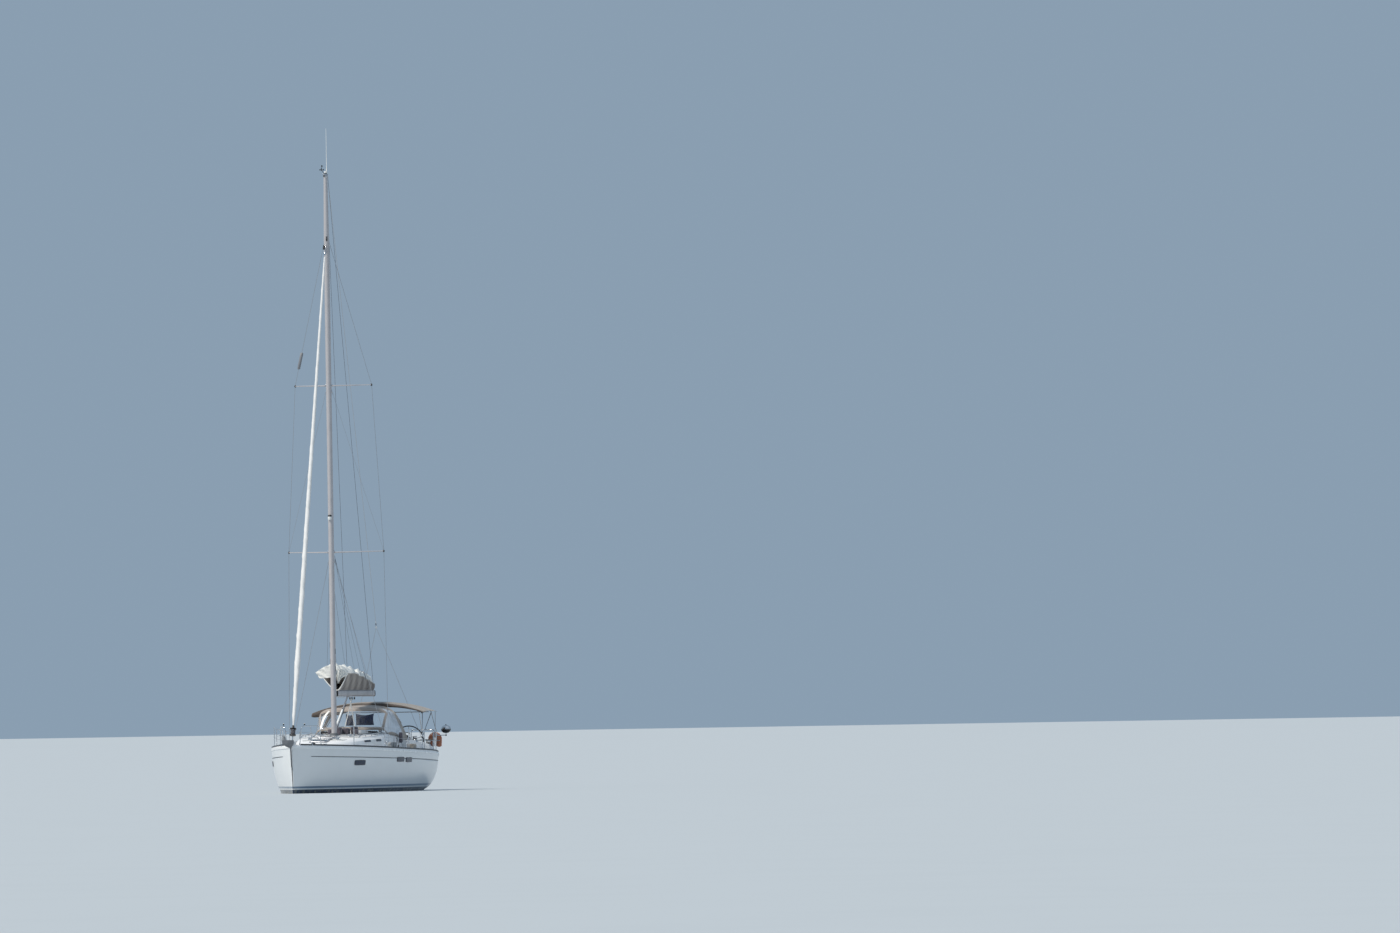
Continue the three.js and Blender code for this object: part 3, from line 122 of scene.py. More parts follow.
def fair(stations, values):
    """A smooth line through stations: cubic Hermite pieces, each slope taken from the two neighbours."""
    stations, values = np.asarray(stations, float), np.asarray(values, float)
    before = np.maximum(np.arange(len(stations)) - 1, 0)
    after = np.minimum(np.arange(len(stations)) + 1, len(stations) - 1)
    slopes = (values[after] - values[before]) / (stations[after] - stations[before])

    def line(x):
        i = np.clip(np.searchsorted(stations, x, side="left") - 1, 0, len(stations) - 2)
        span = stations[i + 1] - stations[i]
        t = np.clip((x - stations[i]) / span, 0, 1)
        rise = values[i + 1] - values[i]
        bend = t * (1 - t) * ((1 - t) * (slopes[i] * span - rise) - t * (slopes[i + 1] * span - rise))
        return values[i] + t * rise + bend

    return line


stem_rake, sheer_half, sheer_up, waterline_half, keel_up = (fair(HULL_LINES[:, 0], HULL_LINES[:, column])
                                                            for column in range(1, 6))
roof_foot, roof_half, roof_up = (fair(ROOF_LINES[:, 0], ROOF_LINES[:, column]) for column in range(1, 4))


def deck_top(aft, port):
    """The deck rises in a parabola from its edge to the centreline."""
    across = port / sheer_half(aft)
    return sheer_up(aft) + DECK_CAMBER * np.minimum(1, sheer_half(aft) / 1.5) * (1 - across ** 2)


def roof_top(aft, port):
    """The coachroof falls in a parabola from the centreline to its edge."""
    return roof_up(aft) - ROOF_CAMBER * (port / roof_half(aft)) ** 2


def hull_side(aft, rise):
    """A point of the port side: half * (1 - (1 - rise)^1.9)^(1 / bilge), from keel (0) to sheer (1)."""
    low, high = keel_up(aft), sheer_up(aft)
    afloat = 1 - (1 + low / (high - low)) ** TOPSIDE_POWER
    bilge = np.log(afloat) / np.log(waterline_half(aft) / sheer_half(aft))
    half = sheer_half(aft) * (1 - (1 - rise) ** TOPSIDE_POWER) ** (1 / bilge)
    return place(aft + stem_rake(aft) * (1 - rise), half, low + rise * (high - low))


def rise_at(aft, up):
    """Share of a section's height at a given height above the water."""
    return (up - keel_up(aft)) / (sheer_up(aft) - keel_up(aft))


# Surfaces. Each is a list of (grid of points, grid of uv), with seams drawn twice and welded later.
def surface(grid, uv=None):
    """One grid of points, with uv running 0 to 1 along its rows and columns unless given."""
    rows, columns = grid.shape[:2]
    if uv is None:
        uv = np.stack(np.meshgrid(np.linspace(0, 1, columns), np.linspace(0, 1, rows)), axis=-1)
    return [(np.asarray(grid, float), np.broadcast_to(uv, (rows, columns, 2)))]


def fan(ring, back=False):
    """A cap: straight lines from each point of a closed ring to its middle."""
    middle = np.broadcast_to(ring[:-1].mean(axis=0), ring.shape)
    pair = np.stack([middle, ring] if back else [ring, middle])
    return surface(pair, np.zeros((1, 1, 2)))


def closed(grid, uv=None):
    """A surface with caps over its first and last rows."""
    return surface(grid, uv) + fan(grid[0], back=True) + fan(grid[-1])


def joined(shapes):
    """Several shapes as one."""
    return sum(shapes, [])


def frames(path, up=None):
    """Unit tangent, side and upward vectors along a path. The side is square to `up`, or to the path's plane."""
    tangent = np.gradient(path, axis=0)
    tangent /= np.linalg.norm(tangent, axis=1, keepdims=True)
    if up is None:
        spread = np.linalg.svd(path - path.mean(axis=0), full_matrices=True)[2]
        up = spread[2]
    side = np.cross(tangent, np.asarray(up, float))
    side /= np.linalg.norm(side, axis=1, keepdims=True)
    return tangent, side, np.cross(side, tangent)


def sweep(path, profile, up=None, sizes=1.0, capped=True):
    """A closed profile of (side, up) points carried along a path, scaled by `sizes` at each point."""
    path = np.asarray(path, float)
    _, side, over = frames(path, up)
    sizes = np.broadcast_to(sizes, (len(path),))[:, None, None]
    ring = np.vstack([profile, profile[:1]])
    grid = path[:, None] + sizes * (ring[None, :, :1] * side[:, None] + ring[None, :, 1:] * over[:, None])
    along = np.r_[0, np.cumsum(np.linalg.norm(np.diff(path, axis=0), axis=1))]
    around = np.r_[0, np.cumsum(np.linalg.norm(np.diff(ring, axis=0), axis=1))]
    uv = together(around[None, :], along[:, None])
    whole = surface(grid, uv)
    if capped:
        whole = whole + fan(grid[0]) + fan(grid[-1], back=True)
    return whole


def circle(radius, sides=12):
    """Points of a circle, one profile."""
    angle = np.arange(sides) * 2 * math.pi / sides
    return radius * np.stack([np.cos(angle), np.sin(angle)], axis=1)


def rounded(width, height, corner, steps=4):
    """A rectangle with round corners: quarter circles about four corner centres."""
    angle = np.concatenate([q * math.pi / 2 + np.linspace(0, math.pi / 2, steps) for q in range(4)])
    sign = np.repeat([(1, 1), (-1, 1), (-1, -1), (1, -1)], steps, axis=0)
    centre = sign * (np.array([width, height]) / 2 - corner)
    return centre + corner * np.stack([np.cos(angle), np.sin(angle)], axis=1)


def tube(path, radius, sides=12, up=None):
    """A round tube along a path. The radius may differ from point to point."""
    return sweep(path, circle(1.0, sides), up, radius)


def chain(path, radius, sides=12):
    """A round tube along a path that leaves its plane: the ring is carried from point to point unturned."""
    path = np.asarray(path, float)
    path = path[np.r_[True, np.linalg.norm(np.diff(path, axis=0), axis=1) > 1e-5]]
    tangent = np.gradient(path, axis=0)
    tangent /= np.linalg.norm(tangent, axis=1, keepdims=True)
    carried = np.cross(tangent[0], (0.31, 0.27, 0.91))
    ups = []
    for run in tangent:
        carried = carried - run * carried.dot(run)
        carried /= np.linalg.norm(carried)
        ups.append(carried)
    return sweep(path, circle(1.0, sides), np.array(ups), radius)


def bent(corners, radius, steps=6):
    """A path through corners whose bends are rounded: a quadratic curve from `radius` before to after each."""
    corners = np.asarray(corners, float)
    runs = [corners[:1]]
    share = np.linspace(0, 1, steps)[:, None]
    for before, corner, after in zip(corners[:-2], corners[1:-1], corners[2:]):
        start = corner + (before - corner) * min(0.5, radius / np.linalg.norm(before - corner))
        end = corner + (after - corner) * min(0.5, radius / np.linalg.norm(after - corner))
        runs.append((1 - share) ** 2 * start + 2 * share * (1 - share) * corner + share ** 2 * end)
    runs.append(corners[-1:])
    return np.vstack(runs)


def straight(start, end, steps=2):
    """Evenly spaced points of a straight line."""
    return np.linspace(np.asarray(start, float), np.asarray(end, float), steps)


def lathe(profile, centre, axis=(0, 0, 1), sides=24):
    """A profile of (radius, height) points turned about an axis through a centre."""
    axis = np.asarray(axis, float) / np.linalg.norm(axis)
    helper = np.array([0.0, 1.0, 0.0]) if abs(axis[1]) < 0.9 else np.array([1.0, 0.0, 0.0])
    first = np.cross(helper, axis)
    first /= np.linalg.norm(first)
    second = np.cross(axis, first)
    angle = np.linspace(0, 2 * math.pi, sides + 1)
    around = np.cos(angle)[:, None] * first + np.sin(angle)[:, None] * second
    radius, height = np.asarray(profile, float).T
    grid = centre + radius[:, None, None] * around[None] + height[:, None, None] * axis
    uv = together(angle[None, :] * radius.max(), height[:, None])
    return surface(grid, uv)


def spun(profile, centre, axis=(0, 0, 1), sides=24):
    """A solid turned about an axis from (radius, height) pairs in mm, closed flat to the axis at both ends."""
    points = np.array(profile) / 1000
    ends = points[[0, -1]] * (0, 1)
    return lathe(np.vstack([ends[:1], points, ends[1:]]), centre, axis, sides)


def ball_profile(radius, stretch=1.0, steps=9):
    """Half an ellipse for the lathe, from the lower pole to the upper."""
    angle = np.linspace(-math.pi / 2, math.pi / 2, steps)
    return np.stack([radius * np.cos(angle), radius * stretch * np.sin(angle)], axis=1)


def block(low, high, edge=0.008, steps=3):
    """A box with round edges: eight corner centres, each with an eighth of a sphere of radius `edge`."""
    low, high = np.minimum(low, high), np.maximum(low, high)
    middle, half = (low + high) / 2, (high - low) / 2
    edge = min(edge, 0.49 * half.min() * 2)
    turn = np.concatenate([q * math.pi / 2 + np.linspace(0, math.pi / 2, steps) for q in range(4)] + [[2 * math.pi]])
    sign = np.vstack([np.repeat([(1, 1), (-1, 1), (-1, -1), (1, -1)], steps, axis=0), [(1, 1)]])
    tilt = np.concatenate([np.linspace(-math.pi / 2, 0, steps), np.linspace(0, math.pi / 2, steps)])
    upper = np.repeat([-1, 1], steps)
    flat = np.cos(tilt)[:, None, None] * np.stack([np.cos(turn), np.sin(turn)], axis=1)[None]
    across = sign[None] * (half[:2] - edge) + edge * flat
    over = np.broadcast_to((upper * (half[2] - edge) + edge * np.sin(tilt))[:, None, None], across.shape[:2] + (1,))
    grid = middle + np.concatenate([across, over], axis=2)
    return closed(grid, grid[..., :2] - grid[..., 2:])


def brick(aft, port, up, edge=0.006, steps=3):
    """A block with round edges between two places, given as (low, high) pairs."""
    return block(place(aft[0], port[0], up[0]), place(aft[1], port[1], up[1]), edge, steps)


def rod(start, end, radius, sides=12):
    """A straight round bar; two radii make it taper."""
    return tube(straight(start, end), radius, sides)


def disc(centre, axis, radius, thickness, round_off=0.3, sides=24):
    """A wheel or washer: a rectangle with its corners rounded, turned about an axis through its middle."""
    half, cut = thickness / 2, thickness * round_off
    profile = [(0, -half), (radius - cut, -half), (radius, -half + cut), (radius, half - cut), (radius - cut, half),
               (0, half)]
    return lathe(profile, np.asarray(centre, float), axis, sides)


def ellipse(half_side, half_up, sides=24):
    """Points of an ellipse, one profile."""
    return circle(1.0, sides) * (half_side, half_up)


def lifted(shape_of, first, second, height):
    """Places on a surface moved along its normal, which comes from small steps both ways."""
    step = 1e-3
    across = shape_of(first, second + step) - shape_of(first, second - step)
    along = shape_of(first + step, second) - shape_of(first - step, second)
    normal = np.cross(across, along)
    normal /= np.maximum(np.linalg.norm(normal, axis=-1, keepdims=True), 1e-12)
    return shape_of(first, second) + height * normal, normal


def band_on(shape_of, first, second, width, thickness=0.004, lift=0.002):
    """A flat strip that follows a line drawn on a surface."""
    first, second = np.broadcast_arrays(np.asarray(first, float), np.asarray(second, float))
    path, normal = lifted(shape_of, first, second, lift)
    return sweep(path, rounded(width, thickness, thickness * 0.3, 2), normal)


def shell(grid, thickness, uv=None):
    """A sheet of even thickness: the grid, the same grid moved along its normals, and the strips between them."""
    along, across = np.gradient(grid, axis=0), np.gradient(grid, axis=1)
    normal = np.cross(along, across)
    normal /= np.maximum(np.linalg.norm(normal, axis=2, keepdims=True), 1e-9)
    inner = grid - normal * thickness
    front = surface(grid, uv)
    loop_uv = front[0][1]
    edges = [(grid[:1], inner[:1], loop_uv[:1]), (inner[-1:], grid[-1:], loop_uv[-1:])]
    strips = [surface(np.concatenate([a, b]), np.concatenate([s, s])) for a, b, s in edges]
    for a, b, s in ((inner[:, :1], grid[:, :1], loop_uv[:, :1]), (grid[:, -1:], inner[:, -1:], loop_uv[:, -1:])):
        strips.append(surface(np.concatenate([a, b], axis=1), np.concatenate([s, s], axis=1)))
    return front + surface(inner[:, ::-1], loop_uv[:, ::-1]) + sum(strips, [])


def flipped(shape):
    """The same surfaces with their faces turned round."""
    return [(grid[:, ::-1], uv[:, ::-1]) for grid, uv in shape]


def mirrored(shape):
    """The same surfaces on the other side of the centreline."""
    return [(grid[:, ::-1] * (1, -1, 1), uv[:, ::-1]) for grid, uv in shape]


# Pieces
def only(shape, keep):
    """The same surfaces with only the chosen quads: one true or false for each quad of the grid."""
    return [(grid, uv, keep) for grid, uv in shape]


def faces_of(shapes):
    """Points, quads and corner uv of all grids together, as whole arrays."""
    points, quads, corners, start = [], [], [], 0
    for grid, uv, *keep in shapes:
        rows, columns = grid.shape[:2]
        i = np.arange(rows - 1)[:, None] * columns + np.arange(columns - 1)[None]
        quad = np.stack([i, i + 1, i + columns + 1, i + columns], axis=-1).reshape(-1, 4)
        if keep:
            quad = quad[keep[0].ravel()]
        points.append(grid.reshape(-1, 3))
        corners.append(uv.reshape(-1, 2)[quad])
        quads.append(quad + start)
        start += rows * columns
    return np.vstack(points), np.vstack(quads), np.vstack(corners)


def piece(name, body, slot, *parts, sharp=38, outward=True):
    """A finished piece from parts of (shapes, material), welded, faces out, riding on its body."""
    materials = []
    for _, material in parts:
        if material not in materials:
            materials.append(material)
    arrays = [faces_of(shapes) for shapes, _ in parts]
    offsets = np.r_[0, np.cumsum([len(points) for points, _, _ in arrays])]
    points = np.vstack([a[0] for a in arrays])
    quads = np.vstack([a[1] + offset for a, offset in zip(arrays, offsets)])
    corners = np.vstack([a[2] for a in arrays])
    index = np.concatenate([np.full(len(a[1]), materials.index(m)) for a, (_, m) in zip(arrays, parts)])
    mesh = bpy.data.meshes.new(name)
    mesh.vertices.add(len(points))
    mesh.vertices.foreach_set("co", points.astype(np.float32).ravel())
    mesh.loops.add(quads.size)
    mesh.loops.foreach_set("vertex_index", quads.astype(np.int32).ravel())
    mesh.polygons.add(len(quads))
    mesh.polygons.foreach_set("loop_start", np.arange(len(quads), dtype=np.int32) * 4)
    mesh.polygons.foreach_set("material_index", index.astype(np.int32))
    mesh.update(calc_edges=True)
    layer = mesh.uv_layers.new(name="UVMap")
    layer.data.foreach_set("uv", corners.astype(np.float32).ravel())
    tidy = bmesh.new()
    tidy.from_mesh(mesh)
    bmesh.ops.remove_doubles(tidy, verts=tidy.verts, dist=2e-5)
    bmesh.ops.dissolve_degenerate(tidy, edges=tidy.edges, dist=1e-6)
    loose = [vertex for vertex in tidy.verts if not vertex.link_faces]
    bmesh.ops.delete(tidy, geom=loose, context="VERTS")
    if outward:
        bmesh.ops.recalc_face_normals(tidy, faces=tidy.faces)
    tidy.to_mesh(mesh)
    tidy.free()
    mesh.polygons.foreach_set("use_smooth", np.ones(len(mesh.polygons), bool))
    mesh.set_sharp_from_angle(angle=math.radians(sharp))
    for material in materials:
        mesh.materials.append(material)
    thing = bpy.data.objects.new(name, mesh)
    bpy.context.scene.collection.objects.link(thing)
    if body:
        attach(thing, body)
    return thing


def side_piece(name, node, slot, *parts):
    """The same piece on both sides, each standing for the frame's own node where it names one."""
    for side, sign in SIDES.items():
        turn = (lambda shape: shape) if sign > 0 else mirrored
        thing = piece("%s_%s" % (name, side), "boat", slot, *((turn(shapes), finish) for shapes, finish in parts))
        if node:
            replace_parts(thing, "%s_%s" % (node, side))


def cloth_piece(name, body, slot, *parts, thickness=0.004, shaded_inside=None):
    """Cloth: open surfaces whose faces point out, given an even thickness inwards, and perhaps a darker finish on the
    inner faces as painted shade.
    """
    thing = piece(name, body, slot, *parts, outward=False)
    wall = thing.modifiers.new("Thickness", "SOLIDIFY")
    wall.thickness = thickness
    wall.offset = -1.0
    if shaded_inside:
        thing.data.materials.append(shaded_inside)
        wall.material_offset = len(thing.data.materials) - 1
    return thing


def refined(node, material, edge=0.006, sharp=32, shaped=None):
    """A copy of a frame node with its flat faces whole again and its hard edges rounded."""
    source = NODES[node]
    mesh = source.data.copy()
    mesh.name = node + "_finished"
    tidy = bmesh.new()
    tidy.from_mesh(mesh)
    bmesh.ops.remove_doubles(tidy, verts=tidy.verts, dist=2e-5)
    bmesh.ops.dissolve_limit(tidy, angle_limit=math.radians(1.0), verts=tidy.verts, edges=tidy.edges)
    tidy.to_mesh(mesh)
    tidy.free()
    if shaped:
        points = np.empty(len(mesh.vertices) * 3, np.float32)
        mesh.vertices.foreach_get("co", points)
        mesh.vertices.foreach_set("co", shaped(points.reshape(-1, 3)).astype(np.float32).ravel())
        mesh.update()
    mesh.materials.clear()
    mesh.materials.append(material)
    mesh.polygons.foreach_set("material_index", np.zeros(len(mesh.polygons), np.int32))
    mesh.polygons.foreach_set("use_smooth", np.ones(len(mesh.polygons), bool))
    mesh.set_sharp_from_angle(angle=math.radians(sharp))
    thing = bpy.data.objects.new(node + "_finished", mesh)
    bpy.context.scene.collection.objects.link(thing)
    if edge:
        bevel = thing.modifiers.new("Rounded edges", "BEVEL")
        bevel.width = edge
        bevel.segments = 2
        bevel.limit_method = "ANGLE"
        bevel.angle_limit = math.radians(sharp)
        bevel.harden_normals = True
    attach(thing, source["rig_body"])
    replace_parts(thing, node)
    return thing


# Camera: far off on the port bow, with a long lens, as in the photo
PHOTO_SIZE = (1400, 933)
BOAT_TURN = math.radians(14)
CAMERA_DISTANCE = 400.0
CAMERA_UP = 1.83
PIXELS_PER_METRE = 34.0
STEM_PIXEL = (290.6, 745.0)
STEM_HEAD_UP = 1.41
ROLL = math.radians(0.9)
SENSOR = 36.0


def make_camera():
    """Looks level past the bow, turned so that the stem head falls on its place in the picture."""
    camera = bpy.data.cameras.new("camera")
    camera.sensor_width = SENSOR
    focal_pixels = PIXELS_PER_METRE * CAMERA_DISTANCE
    camera.lens = focal_pixels * SENSOR / PHOTO_SIZE[0]
    camera.clip_start, camera.clip_end = 1.0, 20000.0
    thing = bpy.data.objects.new("camera", camera)
    bpy.context.scene.collection.objects.link(thing)
    stem = Vector((STEM_X, 0.0, STEM_HEAD_UP))
    away = Vector((math.cos(BOAT_TURN), math.sin(BOAT_TURN), 0.0))
    thing.location = Vector((0.0, 0.0, CAMERA_UP)) + away * CAMERA_DISTANCE
    aim = (stem - thing.location).normalized()
    right_of_centre = (STEM_PIXEL[0] - PHOTO_SIZE[0] / 2) / focal_pixels
    below_centre = (STEM_PIXEL[1] - PHOTO_SIZE[1] / 2) / focal_pixels
    level_right = aim.cross(Vector((0, 0, 1))).normalized()
    level_up = level_right.cross(aim)
    right = level_right * math.cos(ROLL) - level_up * math.sin(ROLL)
    up = level_up * math.cos(ROLL) + level_right * math.sin(ROLL)
    forward = (aim - right * right_of_centre + up * below_centre).normalized()
    right = (right - forward * right.dot(forward)).normalized()
    up = right.cross(forward)
    thing.rotation_euler = Matrix((right, up, -forward)).transposed().to_euler()
    bpy.context.scene.camera = thing


make_camera()


# Shader trees: each node goes into the tree of the sockets that it is given
def tree_of(values):
    """The tree of the first socket among some values."""
    return next(value.id_data for value in values if isinstance(value, bpy.types.NodeSocket))


def add(tree, kind, values, **settings):
    """Adds a node, sets its properties, and gives its inputs values or links."""
    node = tree.nodes.new(kind)
    for key, value in settings.items():
        setattr(node, key, value)
    for key, value in values.items():
        if isinstance(value, bpy.types.NodeSocket):
            tree.links.new(value, node.inputs[key])
        else:
            node.inputs[key].default_value = value
    return node


def math_node(operation):
    """A function that adds one Math node for its values and gives the node's result."""
    def result(*values):
        inputs = dict(enumerate(values + (0.0,) * (3 - len(values))))
        return add(tree_of(values), "ShaderNodeMath", inputs, operation=operation).outputs[0]

    return result


plus, minus, times, divided = map(math_node, ("ADD", "SUBTRACT", "MULTIPLY", "DIVIDE"))
lesser, greater, absolute, sine = map(math_node, ("MINIMUM", "MAXIMUM", "ABSOLUTE", "SINE"))
fraction, whole, is_below, is_above = map(math_node, ("FRACT", "FLOOR", "LESS_THAN", "GREATER_THAN"))


def between(value, low, high):
    """0 below `low`, 1 above `high`, and smooth between them."""
    inputs = {"Value": value, "From Min": low, "From Max": high}
    return add(value.id_data, "ShaderNodeMapRange", inputs, interpolation_type="SMOOTHSTEP").outputs["Result"]


def mixed(share, first, second):
    """Colour mixed from two by a share."""
    values = {0: share, 6: first, 7: second}
    return add(tree_of(values.values()), "ShaderNodeMix", values, data_type="RGBA").outputs[2]


def noise(vector, scale, detail=3.0, roughness=0.55):
    """A Noise texture's value."""
    values = {"Vector": vector, "Scale": scale, "Detail": detail, "Roughness": roughness}
    return add(vector.id_data, "ShaderNodeTexNoise", values).outputs["Fac"]


def stretched(vector, scale):
    """Coordinates scaled along each axis."""
    return add(vector.id_data, "ShaderNodeMapping", {"Vector": vector, "Scale": scale}).outputs[0]


def axes_of(vector):
    """The X, Y and Z of coordinates."""
    return add(vector.id_data, "ShaderNodeSeparateXYZ", {"Vector": vector}).outputs


def new_group(name, outputs, **inputs):
    """A shader node group: a vector in, and inputs whose kind comes from their default values."""
    tree = bpy.data.node_groups.new(name, "ShaderNodeTree")
    tree.interface.new_socket("Vector", in_out="INPUT", socket_type="NodeSocketVector")
    for label, default in inputs.items():
        kind = "NodeSocketColor" if isinstance(default, tuple) else "NodeSocketFloat"
        tree.interface.new_socket(label.replace("_", " "), in_out="INPUT", socket_type=kind).default_value = default
    for label in outputs:
        kind = "NodeSocketColor" if label == "Colour" else "NodeSocketFloat"
        tree.interface.new_socket(label, in_out="OUTPUT", socket_type=kind)
    return tree.nodes.new("NodeGroupInput").outputs, tree.nodes.new("NodeGroupOutput").inputs


def give(result, **values):
    """Links a group's results by name and gives its tree."""
    tree = tree_of(values.values())
    for label, value in values.items():
        tree.links.new(value, result[label])
    return tree


def weathering_group():
    """Broad cloudy variation and runs that hang down: noise, and noise stretched along Z."""
    given, result = new_group("Weathering", ("Colour", "Mask"), Colour=(0.8, 0.8, 0.8, 1), Stain=(0.4, 0.4, 0.4, 1),
                              Cloud=0.2, Runs=0.2, Size=1.0)
    scale = divided(1.0, given["Size"])
    cloud = between(noise(given["Vector"], scale, 5.0, 0.6), 0.42, 0.72)
    runs = between(noise(stretched(given["Vector"], (9.0, 9.0, 0.7)), scale, 4.0, 0.6), 0.5, 0.78)
    mask = lesser(plus(times(cloud, given["Cloud"]), times(runs, given["Runs"])), 1.0)
    return give(result, Colour=mixed(mask, given["Colour"], given["Stain"]), Mask=mask)


def grain_group():
    """Fine irregular height, such as orange peel on gelcoat or the pores of cast metal."""
    given, result = new_group("Surface grain", ("Height",), Scale=300.0, Wave_scale=3.0, Wave=0.5)
    wave = times(noise(given["Vector"], given["Wave scale"], 2.0), given["Wave"])
    return give(result, Height=plus(noise(given["Vector"], given["Scale"], 2.0), wave))


def weave_group():
    """Plain weave over the piece's uv in metres: the greater of two crossing sine ridges."""
    given, result = new_group("Plain weave", ("Height", "Shade"), Threads_per_metre=500.0)
    axes, turn = axes_of(given["Vector"]), times(given["Threads per metre"], math.pi)
    warp, weft = (absolute(sine(times(axes[axis], turn))) for axis in "XY")
    shade = noise(stretched(given["Vector"], (60.0, 2.0, 1.0)), 4.0, 3.0)
    return give(result, Height=greater(warp, weft), Shade=shade)


def planks_group():
    """Planks across an axis: one share along each plank's width, a caulk mask, a tone of its own, and grain."""
    given, result = new_group("Laid planks", ("Caulk", "Tone", "Grain"), Width=0.05, Caulk=0.08)
    across = divided(axes_of(given["Vector"])["Y"], given["Width"])
    share = fraction(across)
    caulk = is_below(lesser(share, minus(1.0, share)), times(given["Caulk"], 0.5))
    plank = whole(across)
    tone = add(plank.id_data, "ShaderNodeTexWhiteNoise", {"W": plank}, noise_dimensions="1D").outputs["Value"]
    grain = noise(stretched(given["Vector"], (3.0, 90.0, 90.0)), 1.5, 4.0, 0.65)
    return give(result, Caulk=caulk, Tone=tone, Grain=grain)


def strands_group():
    """Twisted or plaited strands on uv in metres: slanting waves round and along the rope."""
    given, result = new_group("Rope strands", ("Height", "Fleck"), Pitch=0.03, Round=0.03)
    axes = axes_of(given["Vector"])
    around, along = divided(axes["X"], given["Round"]), divided(axes["Y"], given["Pitch"])
    wave, back = (sine(times(slant(around, along), 2 * math.pi)) for slant in (plus, minus))
    return give(result, Height=greater(wave, back), Fleck=is_above(wave, 0.93))


def studs_group():
    """Non-slip studs: small raised diamonds in a square grid."""
    given, result = new_group("Non-slip studs", ("Height",), Spacing=0.012)
    axes, turn = axes_of(given["Vector"]), divided(2 * math.pi, given["Spacing"])
    return give(result, Height=times(*(sine(times(axes[axis], turn)) for axis in "XY")))


WEATHERING, GRAIN, WEAVE, PLANKS, STRANDS, STUDS = (weathering_group(), grain_group(), weave_group(), planks_group(),
                                                    strands_group(), studs_group())


class Finish:
    """One material: its tree, its Principled shader, and its coordinates."""

    def __init__(self, name, roughness=0.5, metallic=0.0, **sockets):
        self.material = bpy.data.materials.new(name)
        self.material.use_nodes = True
        self.tree = self.material.node_tree
        self.shader = self.tree.nodes["Principled BSDF"]
        coordinates = self.tree.nodes.new("ShaderNodeTexCoord")
        self.place, self.uv = coordinates.outputs["Object"], coordinates.outputs["UV"]
        for label, value in {"Roughness": roughness, "Metallic": metallic, **sockets}.items():
            self.shader.inputs[label.replace("_", " ")].default_value = value

    def group(self, tree, **values):
        """Places a group with values or links for its named sockets, and gives its outputs."""
        inputs = {label.replace("_", " "): value for label, value in {"Vector": self.place, **values}.items()}
        placed = self.tree.nodes.new("ShaderNodeGroup")
        placed.node_tree = tree
        for label, value in inputs.items():
            if isinstance(value, bpy.types.NodeSocket):
                self.tree.links.new(value, placed.inputs[label])
            else:
                placed.inputs[label].default_value = value
        return placed.outputs

    def feed(self, label, value):
        """Links a socket of the shader."""
        self.tree.links.new(value, self.shader.inputs[label])

    def age(self, clean, stain, cloud, runs, size, rough):
        """Feeds a weathered colour, and a roughness given as (where clean, more where stained)."""
        aged = self.group(WEATHERING, Colour=clean, Stain=stain, Cloud=cloud, Runs=runs, Size=size)
        self.feed("Base Color", aged["Colour"])
        self.feed("Roughness", plus(rough[0], times(aged["Mask"], rough[1])))

    def bump(self, height, distance, strength=1.0):
        """Adds a Bump node, over the one before it."""
        before = self.shader.inputs["Normal"].links
        values = {"Height": height, "Distance": distance, "Strength": strength}
        if before:
            values["Normal"] = before[0].from_socket
        self.feed("Normal", add(self.tree, "ShaderNodeBump", values).outputs["Normal"])

    def grain(self, scale, wave_scale, wave, distance, strength):
        """Adds a fine grain over a broader wave as a bump, and gives the finished material."""
        self.bump(self.group(GRAIN, Scale=scale, Wave_scale=wave_scale, Wave=wave)["Height"], distance, strength)
        return self.material


def rgb(red, green, blue):
    """A colour socket's value."""
    return (red, green, blue, 1.0)


# Finishes
ANTIFOULING_BLUE = rgb(0.018, 0.035, 0.075)
# Stripes by height above the water: low edge, high edge, colour
BOOT_TOP_BANDS = ((-3.0, 0.113, ANTIFOULING_BLUE), (0.151, 0.207, rgb(0.16, 0.23, 0.32)))
BAND_EDGE = 0.003
GROWTH_TOP = 0.22


def gelcoat_finish():
    """White gelcoat topsides: chalky runs, stripes and antifouling by height."""
    finish = Finish("White gelcoat", roughness=0.32, Coat_Weight=0.35, Coat_Roughness=0.12)
    # The hull's white is set greyer than the deck's so that its shaded side reads darker: partly painted shade.
    aged = finish.group(WEATHERING, Colour=rgb(0.75, 0.77, 0.78), Stain=rgb(0.6, 0.6, 0.56), Cloud=0.1, Runs=0.07,
                        Size=0.9)
    up, colour = axes_of(finish.place)["Z"], aged["Colour"]
    for low, high, stripe in BOOT_TOP_BANDS:
        over_low, over_high = (between(up, edge - BAND_EDGE, edge + BAND_EDGE) for edge in (low, high))
        colour = mixed(times(over_low, minus(1.0, over_high)), colour, stripe)
    growth = finish.group(WEATHERING, Colour=colour, Stain=rgb(0.3, 0.29, 0.2), Cloud=0.75, Runs=0.2, Size=0.12)
    near_water = minus(1.0, between(up, 0.0, GROWTH_TOP))
    finish.feed("Base Color", mixed(near_water, colour, growth["Colour"]))
    finish.feed("Roughness", plus(0.28, times(aged["Mask"], 0.12)))
    return finish.grain(900.0, 1.4, 2.0, 0.0008, 0.35)


def moulding_finish(name, clean, stain, studs=False, roughness=0.5):
    """Moulded deck gelcoat, grey in cloudy patches and runs, with or without non-slip studs."""
    finish = Finish(name, roughness=roughness, Coat_Weight=0.1)
    finish.age(clean, stain, 0.35, 0.12, 0.55, (roughness - 0.08, 0.4))
    if studs:
        finish.bump(finish.group(STUDS, Spacing=0.014)["Height"], 0.0012, 0.8)
    return finish.grain(500.0, 4.0, 0.6, 0.0006, 0.4)


